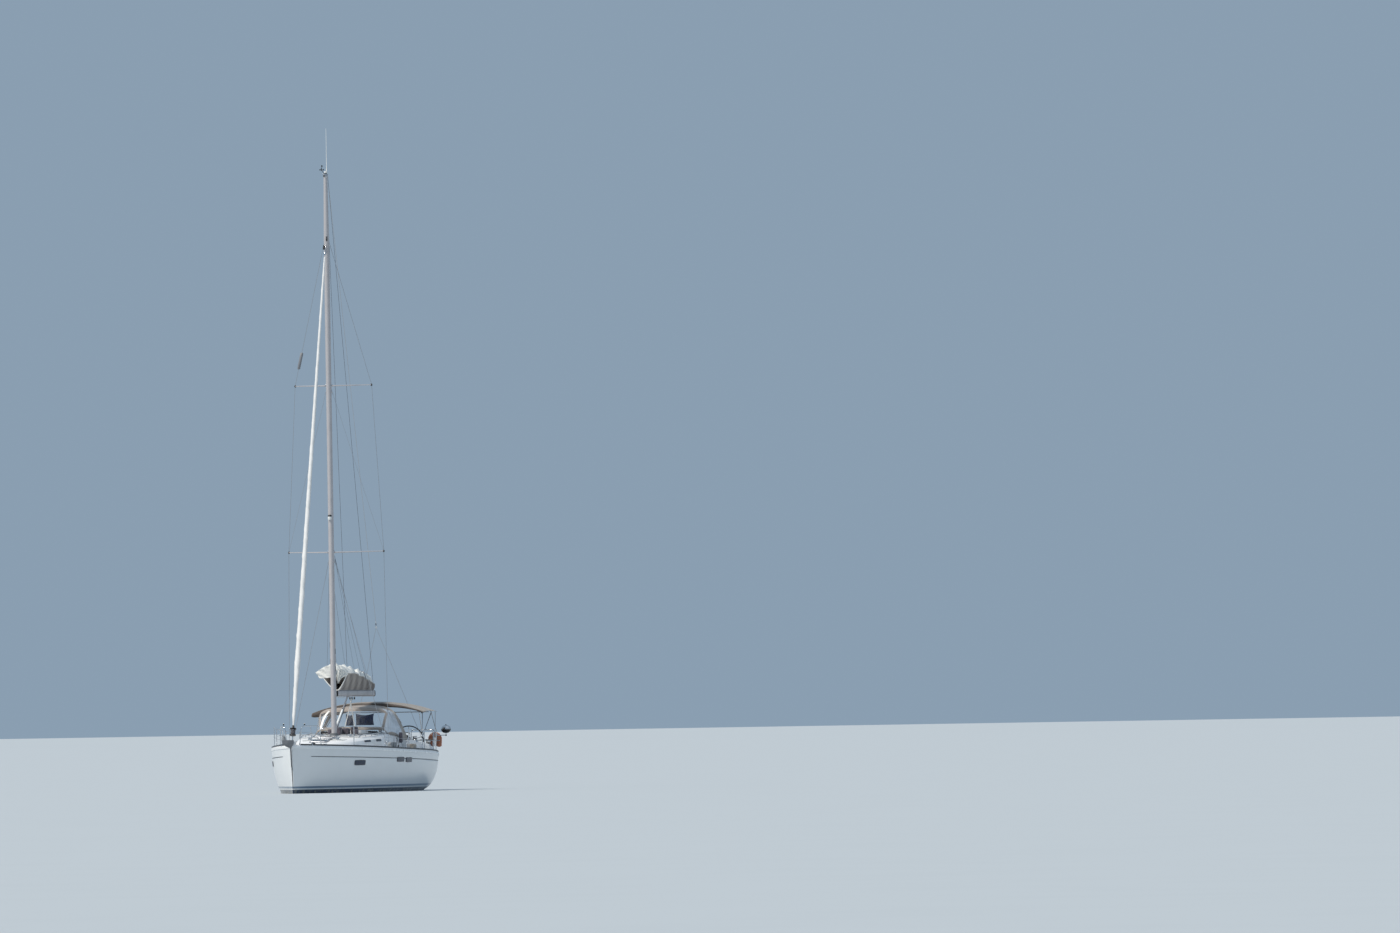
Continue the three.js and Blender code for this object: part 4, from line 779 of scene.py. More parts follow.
def teak_finish():
    """Grey-brown teak planks with dark caulking."""
    finish = Finish("Weathered teak", roughness=0.68)
    laid = finish.group(PLANKS, Width=0.052, Caulk=0.12)
    pale = mixed(laid["Tone"], rgb(0.46, 0.34, 0.22), rgb(0.58, 0.46, 0.32))
    grained = mixed(between(laid["Grain"], 0.35, 0.7), pale, rgb(0.3, 0.22, 0.15))
    aged = finish.group(WEATHERING, Colour=grained, Stain=rgb(0.42, 0.4, 0.37), Cloud=0.5, Runs=0.0, Size=0.4)
    finish.feed("Base Color", mixed(laid["Caulk"], aged["Colour"], rgb(0.03, 0.03, 0.032)))
    finish.bump(minus(laid["Grain"], laid["Caulk"]), 0.0015, 0.7)
    return finish.material


def metal_finish(name, clean, roughness, brushed=0.25, stain=None, metallic=1.0):
    """Bare or anodised metal with fine brushing and dull patches."""
    finish = Finish(name, roughness=roughness, metallic=metallic)
    finish.age(clean, stain or rgb(*(0.72 * c for c in clean[:3])), 0.35, 0.25, 0.3, (roughness - 0.06, 0.35))
    return finish.grain(700.0, 30.0, 0.4, 0.0003, brushed)


def paint_finish(name, clean, stain, roughness=0.5, cloud=0.4, runs=0.2, size=0.4, grain=300.0):
    """Painted, powder-coated, rubber or plastic surface with mottling and a fine grain."""
    finish = Finish(name, roughness=roughness)
    finish.age(clean, stain, cloud, runs, size, (roughness - 0.06, 0.3))
    return finish.grain(grain, 12.0, 0.4, 0.0006, 0.5)


def smoked_finish(name, clean, roughness):
    """Dark acrylic with dust that dulls it in patches."""
    finish = Finish(name, roughness=roughness, Specular_IOR_Level=0.3, Coat_Weight=0.05, Coat_Roughness=0.05)
    finish.age(clean, rgb(0.05, 0.06, 0.08), 0.2, 0.25, 0.25, (roughness, 0.35))
    return finish.material


def woven_finish(name, roughness, sheen, threads):
    """The start of a cloth: a soft sheen, and a weave on the piece's own uv in metres."""
    finish = Finish(name, roughness=roughness, Sheen_Weight=sheen, Sheen_Roughness=0.5)
    return finish, finish.group(WEAVE, Vector=finish.uv, Threads_per_metre=threads)


def cloth_finish(name, base, faded, threads=420.0, folds=0.5, sheen=0.3, roughness=0.85):
    """Woven cloth with soft creases, faded in broad patches."""
    finish, weave = woven_finish(name, roughness, sheen, threads)
    aged = finish.group(WEATHERING, Colour=base, Stain=faded, Cloud=0.55, Runs=0.35, Size=0.45)
    threadwise = mixed(between(weave["Shade"], 0.35, 0.75), aged["Colour"], faded)
    finish.feed("Base Color", mixed(0.6, threadwise, aged["Colour"]))
    finish.bump(noise(stretched(finish.place, (3.0, 3.0, 9.0)), 1.6, 4.0, 0.6), 0.02 * folds, 0.6)
    finish.bump(weave["Height"], 0.0005, 0.5)
    return finish.material


PLEAT_SPACING = 0.72
PLEAT_SLANT = 2.6


def bag_finish():
    """Sail bag canvas: the light and shade of the pleats from webbing to webbing is painted as soft light and dark
    stripes across it.
    """
    finish, weave = woven_finish("Sail bag canvas with painted pleat shade", 0.88, 0.3, 420.0)
    warped = noise(stretched(finish.place, (2.0, 1.0, 1.0)), 2.2, 3.0)
    axes = axes_of(finish.place)
    slanted = minus(axes["X"], times(absolute(axes["Y"]), PLEAT_SLANT))
    phase = plus(times(slanted, 2 * math.pi / PLEAT_SPACING), times(warped, 2.0))
    stripe = between(sine(phase), -1.0, 1.0)
    # Painted light and shade of the pleats: dark stripes where their hollows fall in shade, light ones on their
    # crests.
    colour = mixed(stripe, rgb(0.125, 0.1, 0.086), rgb(0.33, 0.285, 0.25))
    aged = finish.group(WEATHERING, Colour=colour, Stain=rgb(0.28, 0.24, 0.21), Cloud=0.4, Runs=0.4, Size=0.4)
    finish.feed("Base Color", aged["Colour"])
    finish.bump(stripe, 0.006, 0.4)
    finish.bump(weave["Height"], 0.0005, 0.5)
    return finish.material


def clear_window_finish(name, clouding, clearest, base=rgb(0.66, 0.72, 0.78)):
    """Flexible clear window, seen through: streaked and milky with age by its own clouding."""
    finish = Finish(name, roughness=0.1)
    aged = finish.group(WEATHERING, Colour=base, Stain=rgb(0.82, 0.84, 0.85), Cloud=0.5, Runs=0.7, Size=0.6)
    finish.feed("Base Color", aged["Colour"])
    finish.feed("Alpha", plus(clearest, times(aged["Mask"], clouding)))
    finish.bump(noise(finish.place, 5.0, 2.0), 0.012, 0.4)
    return finish.material


def rope_finish(name, base, fleck):
    """Plaited rope with a coloured fleck."""
    finish = Finish(name, roughness=0.8)
    strands = finish.group(STRANDS, Vector=finish.uv, Pitch=0.03, Round=0.03)
    finish.feed("Base Color", mixed(strands["Fleck"], base, fleck))
    finish.bump(strands["Height"], 0.001, 0.8)
    return finish.material


GELCOAT = gelcoat_finish()
# Painted light: the deck and roof gelcoat is a brighter white than the same gelcoat on the hull, so that the roof's
# sides read as sunlit.
LIGHTENED_DECK_GELCOAT = moulding_finish("Deck gelcoat, lightened as painted light", rgb(0.88, 0.88, 0.89), rgb(0.7, 0.7, 0.68))
NONSLIP = moulding_finish("Non-slip panels", rgb(0.6, 0.62, 0.62), rgb(0.48, 0.49, 0.47), studs=True, roughness=0.7)
TEAK = teak_finish()
ALLOY = metal_finish("Anodised alloy", rgb(0.52, 0.53, 0.56), 0.42)
FENDER_GREY = paint_finish("Grey fender", rgb(0.22, 0.24, 0.26), rgb(0.34, 0.34, 0.33), 0.6)
BAG_DARK = cloth_finish("Dark bag canvas", rgb(0.06, 0.052, 0.07), rgb(0.13, 0.12, 0.14))
MAST_ALLOY = metal_finish("Spar alloy", rgb(0.5, 0.48, 0.49), 0.45, metallic=0.3)
REFLECTOR_GREY = paint_finish("Radar reflector", rgb(0.2, 0.21, 0.23), rgb(0.3, 0.3, 0.3), 0.5)
STEEL = metal_finish("Polished stainless", rgb(0.66, 0.67, 0.69), 0.22, 0.12)
WIRE = metal_finish("Stainless wire", rgb(0.46, 0.47, 0.49), 0.35)
GALVANISED = metal_finish("Galvanised steel", rgb(0.22, 0.23, 0.25), 0.6, 0.6)
BRONZE = metal_finish("Bronze", rgb(0.45, 0.33, 0.16), 0.38, 0.3, rgb(0.16, 0.22, 0.16))
ANTIFOULING = paint_finish("Navy antifouling", ANTIFOULING_BLUE, rgb(0.06, 0.09, 0.1), 0.75, 0.6, 0.3, 0.3)
DARK_TRIM = paint_finish("Dark grey rail", rgb(0.045, 0.05, 0.058), rgb(0.12, 0.12, 0.12), 0.5)
# Bright white: the vang's sleeve, and the strip under the toe rail that is a painted highlight on the rounded deck
# edge.
WHITE_PAINT_AND_EDGE_HIGHLIGHT = paint_finish("White paint and painted edge highlight", rgb(0.86, 0.87, 0.87), rgb(0.66, 0.66, 0.64), 0.3, 0.2, 0.2)
BLACK = paint_finish("Black plastic", rgb(0.012, 0.012, 0.014), rgb(0.05, 0.05, 0.05), 0.45)
RUBBER = paint_finish("Grey rubber", rgb(0.1, 0.11, 0.12), rgb(0.2, 0.2, 0.2), 0.75)
LEATHER = paint_finish("Black stitched leather", rgb(0.02, 0.018, 0.018), rgb(0.06, 0.055, 0.05), 0.55, grain=120.0)
ORANGE = paint_finish("Faded orange cover", rgb(0.58, 0.21, 0.12), rgb(0.6, 0.34, 0.25), 0.8, 0.7, 0.3, 0.12)
BAND_WHITE = paint_finish("Reflective white tape", rgb(0.8, 0.8, 0.78), rgb(0.55, 0.55, 0.52), 0.45)
SMOKED = smoked_finish("Smoked acrylic", rgb(0.012, 0.013, 0.016), 0.1)
PORTLIGHT = smoked_finish("Hull window glass", rgb(0.01, 0.022, 0.055), 0.16)
CANVAS = cloth_finish("Taupe canvas", rgb(0.235, 0.205, 0.175), rgb(0.36, 0.33, 0.29))
# Painted shade: a near-black copy of the taupe canvas, for the bimini's underside and its valance.
SHADED_CANVAS = cloth_finish("Canvas in painted shade", rgb(0.075, 0.06, 0.052), rgb(0.12, 0.1, 0.09))
PLEAT_SHADED_BAG_CLOTH = bag_finish()
CANVAS_PALE = cloth_finish("Sun-bleached canvas", rgb(0.33, 0.285, 0.255), rgb(0.47, 0.42, 0.38))
SAILCLOTH = cloth_finish("Sailcloth", rgb(0.8, 0.8, 0.77), rgb(0.66, 0.66, 0.62), 700.0, 0.9, 0.1, 0.7)
GENOA_CLOTH = cloth_finish("Rolled sailcloth", rgb(0.72, 0.72, 0.72), rgb(0.6, 0.6, 0.59), 700.0, 0.15, 0.1, 0.65)
NAVY_CLOTH = cloth_finish("Navy cloth", rgb(0.006, 0.016, 0.1), rgb(0.008, 0.021, 0.12), 400.0, 0.15, 0.03)
CLEAR = clear_window_finish("Clear vinyl", 0.09, 0.035)
# Milky vinyl for the port panes: whitened and made less clear as painted light shining through them from the sun
# beyond, over their streaks of age.
LIT_MILKY_VINYL = clear_window_finish("Milky vinyl with painted light", 0.3, 0.62, rgb(0.74, 0.79, 0.86))
WHITE_ROPE = rope_finish("White rope", rgb(0.66, 0.66, 0.63), rgb(0.1, 0.14, 0.3))
DARK_ROPE = rope_finish("Dark rope", rgb(0.06, 0.06, 0.075), rgb(0.4, 0.4, 0.42))


# Hull: one skin from keel to deck edge, with a groove along the topsides, and a stern with its recess
GROOVE = {"aft": (0.5, 11.92), "bow_up": 1.085, "fall": 0.0195, "half": 0.014, "depth": 0.009}
RISE_ROWS = 46


def groove_up(aft):
    """The groove falls evenly from the bow to the stern."""
    return GROOVE["bow_up"] - GROOVE["fall"] * aft


def groove_depth(aft, up):
    """Depth of the groove: a rounded notch about its line, fading in over 0.3 m at both ends."""
    line = groove_up(aft)
    notch = np.clip(1 - ((up - line) / GROOVE["half"]) ** 2, 0, 1)
    first, last = GROOVE["aft"]
    fade = np.clip(np.minimum(aft - first, last - aft) / 0.3, 0, 1)
    return GROOVE["depth"] * notch * fade


def hull_port_grid():
    """Port skin on stations by rises, closer together near the groove and the keel."""
    aft = np.unique(np.concatenate([np.linspace(0, 1, 21), np.linspace(1, HULL_LENGTH, 100)]))[:, None]
    base = np.linspace(0.05, 1, RISE_ROWS) ** 2.2
    line = rise_at(aft, groove_up(aft))
    step = GROOVE["half"] / (sheer_up(aft) - keel_up(aft))
    near = line + step * np.linspace(-1.2, 1.2, 9)[None]
    rise = np.sort(np.concatenate([np.broadcast_to(base, (len(aft), RISE_ROWS)), near, 0 * aft], axis=1), axis=1)
    rise = np.minimum(rise, rise_at(aft, sheer_up(aft) - DECK_THICKNESS))
    grid = hull_side(aft, rise)
    grid[..., 1] -= groove_depth(aft, grid[..., 2])
    return grid


# Recess in the stern: place aft, half-width and floor of each ring inside the hull's outline
STERN_RINGS = ((12.0, 0.628, 0.39), (11.932, 0.628, 0.39), (11.932, 0.45, 0.72), (11.902, 0.45, 0.72))


def hull_shapes():
    """Both sides of the skin, and the stern as strips between the hull's outline and its openings."""
    port = hull_port_grid()
    skin = np.concatenate([port[:, ::-1], (port * (1, -1, 1))[:, 1:]], axis=1)
    share = np.linspace(0, 1, skin.shape[1])
    edge = sheer_up(HULL_LENGTH) - DECK_THICKNESS

    def notch(aft, half, low):
        """A U on the same number of points: down the port side, across, and up to starboard."""
        corners = place(aft, np.array([half, half, -half, -half]), np.array([edge, low, low, edge]))
        return np.stack([np.interp(share, (0, 0.36, 0.64, 1), corner) for corner in corners.T], axis=1)

    return surface(skin) + surface(np.stack([skin[-1]] + [notch(*ring) for ring in STERN_RINGS]))


def make_hull():
    """The hull's smooth skin as a thin wall, in place of the solid's facets."""
    hull = piece("hull_shell", "boat", "gelcoat", (hull_shapes(), GELCOAT), outward=False)
    wall = hull.modifiers.new("Wall", "SOLIDIFY")
    wall.thickness = 0.012
    wall.offset = -1.0
    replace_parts(hull, "hull")
    return hull


# Companionway well and engine space, lined
WELL = {"aft": (7.62, 8.24), "half": (-0.342, 0.342), "low": -0.36, "top": 1.6, "aft_top": 1.08, "wall": 0.012}


def make_well():
    """The walls and floor of the well that the companion steps stand in, down to the engine."""
    first, last = WELL["aft"]
    wall, low, top = WELL["wall"], WELL["low"], WELL["top"]
    walls = brick((first, last), WELL["half"], (low - wall, low), 0.002)
    for port in (WELL["half"][0], WELL["half"][1] - wall):
        walls += brick((first, last), (port, port + wall), (low, top), 0.002)
    for aft, high in ((first - wall, top), (last, WELL["aft_top"])):
        walls += brick((aft, aft + wall), WELL["half"], (low, high), 0.002)
    piece("companion_well", "boat", "gelcoat", (walls, LIGHTENED_DECK_GELCOAT))


def hull_patch(aft, up, out, corner=0.12, columns=24, rows=12):
    """A panel that follows the port topside: a rounded rectangle of (aft, up), `out` proud of the skin."""
    u = np.linspace(-1, 1, columns)[None, :]
    v = np.linspace(-1, 1, rows)[:, None]
    power = 1 / corner
    shrink = (np.abs(u) ** power + np.abs(v) ** power) ** (1 / power)
    reach = np.maximum(np.abs(u), np.abs(v)) / np.maximum(shrink, 1e-9)
    u, v = u * reach, v * reach
    x = (aft[0] + aft[1]) / 2 + u * (aft[1] - aft[0]) / 2
    z = (up[0] + up[1]) / 2 + v * (up[1] - up[0]) / 2
    grid = hull_side(x, rise_at(x, z))
    return grid + np.array([0, out, 0])


# Seen windows of the port side, repeated to starboard: (first, last) aft and (low, high) above the water
HULL_WINDOWS = [((2.74, 3.32), (0.8, 0.93)), ((5.57, 6.13), (0.875, 0.995)), ((6.32, 6.84), (0.86, 0.98))]


def make_hull_windows():
    """Dark panes that follow the topsides, each in a thin frame a little way into the skin."""
    panes, rims = [], []
    for (first, last), (low, high) in HULL_WINDOWS:
        panes += shell(hull_patch((first, last), (low, high), 0.006), 0.012)
        rims += shell(hull_patch((first - 0.012, last + 0.012), (low - 0.01, high + 0.01), 0.003), 0.01)
    side_piece("hull_windows", None, "smoked", (panes, PORTLIGHT), (rims, DARK_TRIM))


def sheer_path(out, over, first=0.02, last=11.98, steps=90):
    """A line along the port deck edge, `out` beyond it and `over` it."""
    aft = np.linspace(first, last, steps)
    return place(aft, sheer_half(aft) + out, sheer_up(aft) + over)


def make_edge_rails():
    """Toe rail, and under it a bright strip that paints the highlight on the rounded deck edge, as round-cornered bars
    along the deck edge.
    """
    rail = sweep(sheer_path(-0.017, 0.02, 0.35), rounded(0.032, 0.048, 0.009), UPRIGHT)
    side_piece("toe_rail_finished", "toe_rail", "dark_trim", (rail, DARK_TRIM))
    # Painted highlight: a brighter white strip where the rounded deck edge catches the light.
    edge_highlight_strip = sweep(sheer_path(0.004, -0.06), rounded(0.016, 0.07, 0.007), UPRIGHT)
    side_piece("edge_highlight_strip", None, "gelcoat", (edge_highlight_strip, WHITE_PAINT_AND_EDGE_HIGHLIGHT))


# Frame nodes whose shape is right: a finish, and hard edges rounded
FINISHED_NODES = {
    "deck": (LIGHTENED_DECK_GELCOAT, "deck", 0.006), "coachroof": (LIGHTENED_DECK_GELCOAT, "deck", 0.012),
    "cockpit": (LIGHTENED_DECK_GELCOAT, "deck", 0.01), "anchor_locker_lid": (LIGHTENED_DECK_GELCOAT, "deck", 0.005),
    "transom_platform": (GELCOAT, "gelcoat", 0.012), "pedestal_port": (GELCOAT, "gelcoat", 0.02),
    "pedestal_starboard": (GELCOAT, "gelcoat", 0.02), "companion_steps": (TEAK, "teak", 0.006),
    "seat_lid_port": (TEAK, "teak", 0.005), "seat_lid_starboard": (TEAK, "teak", 0.005),
    "cockpit_table": (TEAK, "teak", 0.008), "table_leaf_port": (TEAK, "teak", 0.005),
    "table_leaf_starboard": (TEAK, "teak", 0.005), "engine": (ANTIFOULING, "antifouling", 0.02),
    "keel": (ANTIFOULING, "antifouling", 0.0), "rudder": (ANTIFOULING, "antifouling", 0.0),
    "saildrive_leg": (ALLOY, "alloy", 0.0), "washboard": (SMOKED, "smoked", 0.004),
    "companion_hatch": (SMOKED, "smoked", 0.006), "bow_roller": (STEEL, "steel", 0.002),
    "anchor": (GALVANISED, "dark_trim", 0.003), "propeller": (BRONZE, "bronze", 0.002),
}


# Top of the cockpit coamings: place aft, height in the solid, height in the finished piece
COAMING_LINES = np.array([
    (9.4, 1.48, 1.48), (9.6, 1.472, 1.472), (9.9, 1.456, 1.43), (10.05, 1.448, 1.365), (10.7, 1.4, 1.285),
    (11.4, 1.26, 1.23), (12.0, 1.215, 1.215),
])
COAMING_FOOT = 1.16


def coaming_up(aft):
    """Top of the finished coaming."""
    return np.interp(aft, COAMING_LINES[:, 0], COAMING_LINES[:, 2])


def ease_coaming(points):
    """The coaming falls sooner towards the stern: heights over its foot shrink by the lines' own ratio."""
    aft = STEM_X - points[:, 0]
    solid = np.interp(aft, COAMING_LINES[:, 0], COAMING_LINES[:, 1])
    share = (coaming_up(aft) - COAMING_FOOT) / (solid - COAMING_FOOT)
    raised = (points[:, 2] > COAMING_FOOT) & (np.abs(points[:, 1]) > 1.0)
    points[:, 2] = np.where(raised, COAMING_FOOT + (points[:, 2] - COAMING_FOOT) * share, points[:, 2])
    return points


def finish_nodes():
    """Finishes and eased edges for the nodes of the frame that stay in sight."""
    for node, (material, slot, edge) in FINISHED_NODES.items():
        refined(node, material, edge, shaped=ease_coaming if node == "cockpit" else None)


# Spars and standing rigging
MAST_HALF = (0.08, 0.1)
MAST_FOOT = float(roof_up(MAST_AFT)) + 0.012
CHAINPLATE = (5.78, 1.5)
MASTHEAD = MAST_TOP - 0.025


def mast_size(up):
    """Full section up to the hounds, then a straight taper to 0.7 of it."""
    return np.interp(up, (HOUNDS_UP, MAST_TOP), (1.0, 0.7))


def by_mast(aft, port, up):
    """A place by its distance aft of the mast's axis."""
    return place(MAST_AFT + np.asarray(aft, float), port, up)


def mast_brick(aft, port, up, edge=0.006):
    """A block beside the mast, from distances aft of its axis."""
    return brick((MAST_AFT + aft[0], MAST_AFT + aft[1]), port, up, edge)


def make_mast():
    """An oval tube with a sail track up its aft face, its lugs, spreader brackets and halyard slots."""
    up = np.r_[MAST_FOOT, np.arange(2.0, 18.0, 0.5), MAST_TOP]
    tube_wall = sweep(by_mast(0, 0, up), ellipse(*MAST_HALF, 36), FORWARD, mast_size(up))
    up = np.linspace(3.05, 17.95, 24)
    tube_wall += joined(sweep(by_mast(MAST_HALF[1] * mast_size(up) + 0.003, port, up), rounded(0.01, 0.016, 0.003, 2),
                              FORWARD) for port in (-0.012, 0.012))
    pin = GOOSENECK_AFT - MAST_AFT
    lugs = joined(mast_brick((0.07, pin + 0.02), port, (BOOM_UP, BOOM_UP + BOOM_DEPTH))
                  for port in ((-0.05, -0.034), (0.034, 0.05)))
    lugs += mast_brick((0.07, 0.112), (-0.055, 0.055), (BOOM_UP - 0.05, BOOM_UP + 0.23))
    lugs += joined(mast_brick((0.08, pin + 0.022), (-0.03, 0.03), (low, low + 0.02)) for low in (1.88, 1.955))
    lugs += mast_brick((0.08, 0.11), (-0.05, 0.05), (1.84, 2.02))
    for low, high, radius in ((BOOM_UP - 0.02, BOOM_UP + 0.2, 0.015), (1.865, 1.99, 0.014)):
        lugs += rod(by_mast(pin, 0, low), by_mast(pin, 0, high), radius)
    brackets = joined(mast_brick((-0.045, 0.095), (sign * 0.06, sign * 0.094), (level - 0.045, level + 0.045), 0.012)
                      for level in SPREADER_UP.values() for sign in (1, -1))
    collar = spun([(150, 0), (150, 12), (128, 26), (120, 75), (108, 80)], by_mast(0, 0, MAST_FOOT), sides=32)
    slots = joined(mast_brick((-0.035, -0.01), (sign * 0.07, sign * 0.0835), (low, low + 0.16), 0.005) for sign,
                   low in ((1, 3.55), (-1, 3.75), (1, 4.05), (-1, 4.25)))
    mast = piece("mast_tube", "boat", "alloy", (tube_wall, MAST_ALLOY), (brackets, ALLOY), (lugs, STEEL),
                 (collar, RUBBER), (slots, BLACK))
    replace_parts(mast, "mast")


# Blocks for the halyards: on the masthead by place aft, and at the hounds by height and place to port
MASTHEAD_SHEAVES = (-0.17, 0.19)
HOUNDS_BLOCKS = ((16.22, 0.045), (15.97, -0.045))


def make_mast_gear():
    """Combined light, blocks at the hounds, and everything on the masthead."""
    light = by_mast(-0.135, 0, 7.99)
    dark = spun([(58, 100), (58, 125), (40, 150), (0, 152)], light)
    pale = spun([(40, 0), (54, 20), (54, 100)], light)
    arm = mast_brick((-0.12, -0.085), (-0.02, 0.02), (8.0, 8.1))
    top = mast_brick((-0.21, 0.24), (-0.028, 0.028), (MASTHEAD, MASTHEAD + 0.055), 0.012)
    top += mast_brick((-0.07, 0.07), (-0.055, 0.055), (MAST_TOP - 0.09, MAST_TOP + 0.012), 0.01)
    fittings = joined(disc(by_mast(aft, 0, MASTHEAD - 0.005), PORTWARD, 0.042, 0.035) for aft in MASTHEAD_SHEAVES)
    for up, port in HOUNDS_BLOCKS:
        fittings += disc(by_mast(-0.15, port, up), PORTWARD, 0.05, 0.04)
        fittings += mast_brick((-0.185, -0.085), (port - 0.012, port + 0.012), (up, up + 0.09))
    crown, spindle = by_mast(0, 0, MASTHEAD + 0.052), by_mast(-0.47, 0, MASTHEAD + 0.12)
    lamp = spun([(33, 22), (37, 50), (33, 74), (0, 80)], crown)
    fittings += spun([(44, 0), (44, 22)], crown)
    whip = spun([(18, 0), (16, 150), (9, 180), (7.5, 600), (4.5, 1340), (0, 1345)], by_mast(0.15, 0, MASTHEAD + 0.05),
                sides=10)
    fittings += mast_brick((-0.475, -0.33), (-0.002, 0.002), (MASTHEAD + 0.235, MASTHEAD + 0.285), 0.001)
    for turn in np.arange(3) * 2 * math.pi / 3:
        reach = np.array([math.cos(turn), math.sin(turn), 0])
        fittings += spun([(0, -4), (22, 0), (16, 16), (0, 22)], spindle + 0.055 * reach + (0, 0, 0.035),
                         (-math.sin(turn), math.cos(turn), 0), 12)
    fittings += rod(by_mast(-0.18, 0, MASTHEAD + 0.04), by_mast(-0.48, 0, MASTHEAD + 0.17), 0.008)
    fittings += spun([(0, 0), (14, 10), (14, 70), (6, 90), (6, 170), (0, 180)], spindle, sides=12)
    piece("mast_light", "boat", "black", (dark, BLACK), (pale, BAND_WHITE), (arm, ALLOY))
    piece("masthead_gear", "boat", "alloy", (top, ALLOY), (fittings, BLACK), (lamp + whip, BAND_WHITE))


def make_spreaders():
    """Swept aerofoil tubes, a straight taper from root to tip, with a dark end cap round the wire."""
    for level, (tip_port, sweep_aft) in SPREADER_TIP.items():
        up = SPREADER_UP[level]
        for side, sign in SIDES.items():
            root, tip = by_mast(0.012, sign * 0.084, up), by_mast(sweep_aft, sign * tip_port, up + 0.02)
            blade = sweep(straight(root, tip, 6), ellipse(0.06, 0.02, 20), UPRIGHT, np.linspace(1, 0.62, 6))
            cap = lathe(ball_profile(0.03, 1.25, 9), tip + (-0.004, sign * 0.012, 0), sides=14)
            name = "spreader_%s_%s" % (level, side)
            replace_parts(piece(name + "_blade", "boat", "alloy", (blade, MAST_ALLOY), (cap, BLACK)), name)


def screw(foot, head, length=400):
    """A rigging screw from a chainplate along its wire: threads, a thicker body and a long terminal, in mm."""
    shape = np.array([(14, 0), (14, 50), (7, 60), (7, 100), (15, 110), (15, 260), (7, 270), (7, 300), (10, 310),
                      (10, 385), (6, 400)])
    return spun(shape * (1, length / 400), foot, head - foot, 12)


def deck_place(aft, port, over=0.0):
    """A place on the deck, or `over` it."""
    return place(aft, port, deck_top(aft, abs(port)) + over)


def plate_on(foot, over, *half):
    """A small plate that stands through a foot on the deck: half its length and width, and its height over it."""
    return block(foot - (half[0], half[1], 0.006), foot + (half[0], half[1], over), 0.003)


def make_shrouds():
    """Wires from the chainplates over the spreader tips to the mast, with their screws."""
    tips = [place(MAST_AFT + back + 0.004, port + 0.018, SPREADER_UP[level] + 0.02) for level,
            (port, back) in SPREADER_TIP.items()]
    cap_foot = deck_place(*CHAINPLATE, 0.004)
    low_foot = deck_place(CHAINPLATE[0] + 0.06, CHAINPLATE[1] - 0.045, 0.004)
    cap_head, low_head = (by_mast(0.03, 0.086, up) for up in (HOUNDS_UP, 6.8))
    diagonal_head = by_mast(0.03, 0.084, SPREADER_UP["upper"] - 0.14)
    wires = tube([cap_foot, *tips, cap_head], 0.006, 8, FORWARD) + rod(tips[0], diagonal_head, 0.004, 8)
    fittings = screw(cap_foot, tips[0])
    for foot in (cap_foot, low_foot):
        fittings += plate_on(foot, 0.045, 0.045, 0.006) + plate_on(foot, 0.004, 0.06, 0.03)
    for head in (cap_head, low_head, diagonal_head):
        fittings += block(head - (0.02, 0.012, 0.07), head + (0.02, 0.004, 0.03), 0.004)
        fittings += spun([(9, 0), (9, 120), (0, 130)], head, by_mast(0, 0.9, 0) - (0.8, 0, 3), 10)
    run = (cap_head - tips[1]) / (cap_head - tips[1])[2]
    reflector = spun([(30, 0), (44, 20), (44, 480), (30, 500)], tips[1] + run * (12.45 - tips[1][2]), run, 20)
    for side, sign in SIDES.items():
        turn = (lambda shape: shape) if sign > 0 else mirrored
        extra = ((turn(reflector), REFLECTOR_GREY),) if sign < 0 else ()
        caps = piece("cap_shroud_wire_" + side, "boat", "steel", (turn(wires), WIRE), (turn(fittings), STEEL), *extra)
        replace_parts(caps, "cap_shroud_" + side)
    side_piece("lower_shroud_wire", "lower_shroud", "steel", (rod(low_foot, low_head, 0.006, 8), WIRE),
               (screw(low_foot, low_head), STEEL))


BACKSTAY_TOP = place(MAST_AFT + 0.247, 0.0, MASTHEAD + 0.03)
BACKSTAY_SPLIT = place(10.56, 0.0, 4.9)
BACKSTAY_FOOT = (11.96, 1.18)


def make_backstay():
    """One wire from the masthead to a joining plate, and two legs from there to the quarters."""
    foot, split = deck_place(*BACKSTAY_FOOT, 0.004), BACKSTAY_SPLIT
    above, below = split + (0, 0, 0.05), split - (0, 0, 0.05)
    leg = rod(below, foot, 0.005, 8)
    plate = brick((10.52, 10.6), (-0.02, -0.014), (4.83, 4.97), 0.003)
    fittings = plate + mirrored(plate) + rod(above - (0, 0.022, 0), above + (0, 0.022, 0), 0.01)
    fittings += joined(spun([(10, -100), (12, 0), (0, 20)], head, run, 12) for head,
                       run in ((BACKSTAY_TOP, BACKSTAY_TOP - split), (above, split - BACKSTAY_TOP)))
    feet = screw(foot, split) + plate_on(foot, 0.004, 0.05, 0.035)
    feet += block(foot - (0.03, 0.006, 0), foot + (0.03, 0.006, 0.04), 0.003)
    stay = piece("backstay_wire", "boat", "steel", (rod(BACKSTAY_TOP, above, 0.006, 8) + leg + mirrored(leg), WIRE),
                 (fittings + feet + mirrored(feet), STEEL))
    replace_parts(stay, "backstay")


def stay_at(up):
    """Places on the line of the forestay by height."""
    foot, head = place(*STAY_FOOT), place(*STAY_HEAD)
    return foot + (head - foot) * ((np.asarray(up, float) - foot[2]) / (head[2] - foot[2]))[..., None]


STAY_RUN = (place(*STAY_HEAD) - place(*STAY_FOOT)) / np.linalg.norm(place(*STAY_HEAD) - place(*STAY_FOOT))
GENOA_ROLL = np.array([(1.96, 0.02), (2.3, 0.05), (3.3, 0.07), (3.7, 0.088), (4.2, 0.08), (6.5, 0.072),
                       (9.0, 0.062), (12.0, 0.046), (15.0, 0.032), (GENOA_HIGH, 0.022)])


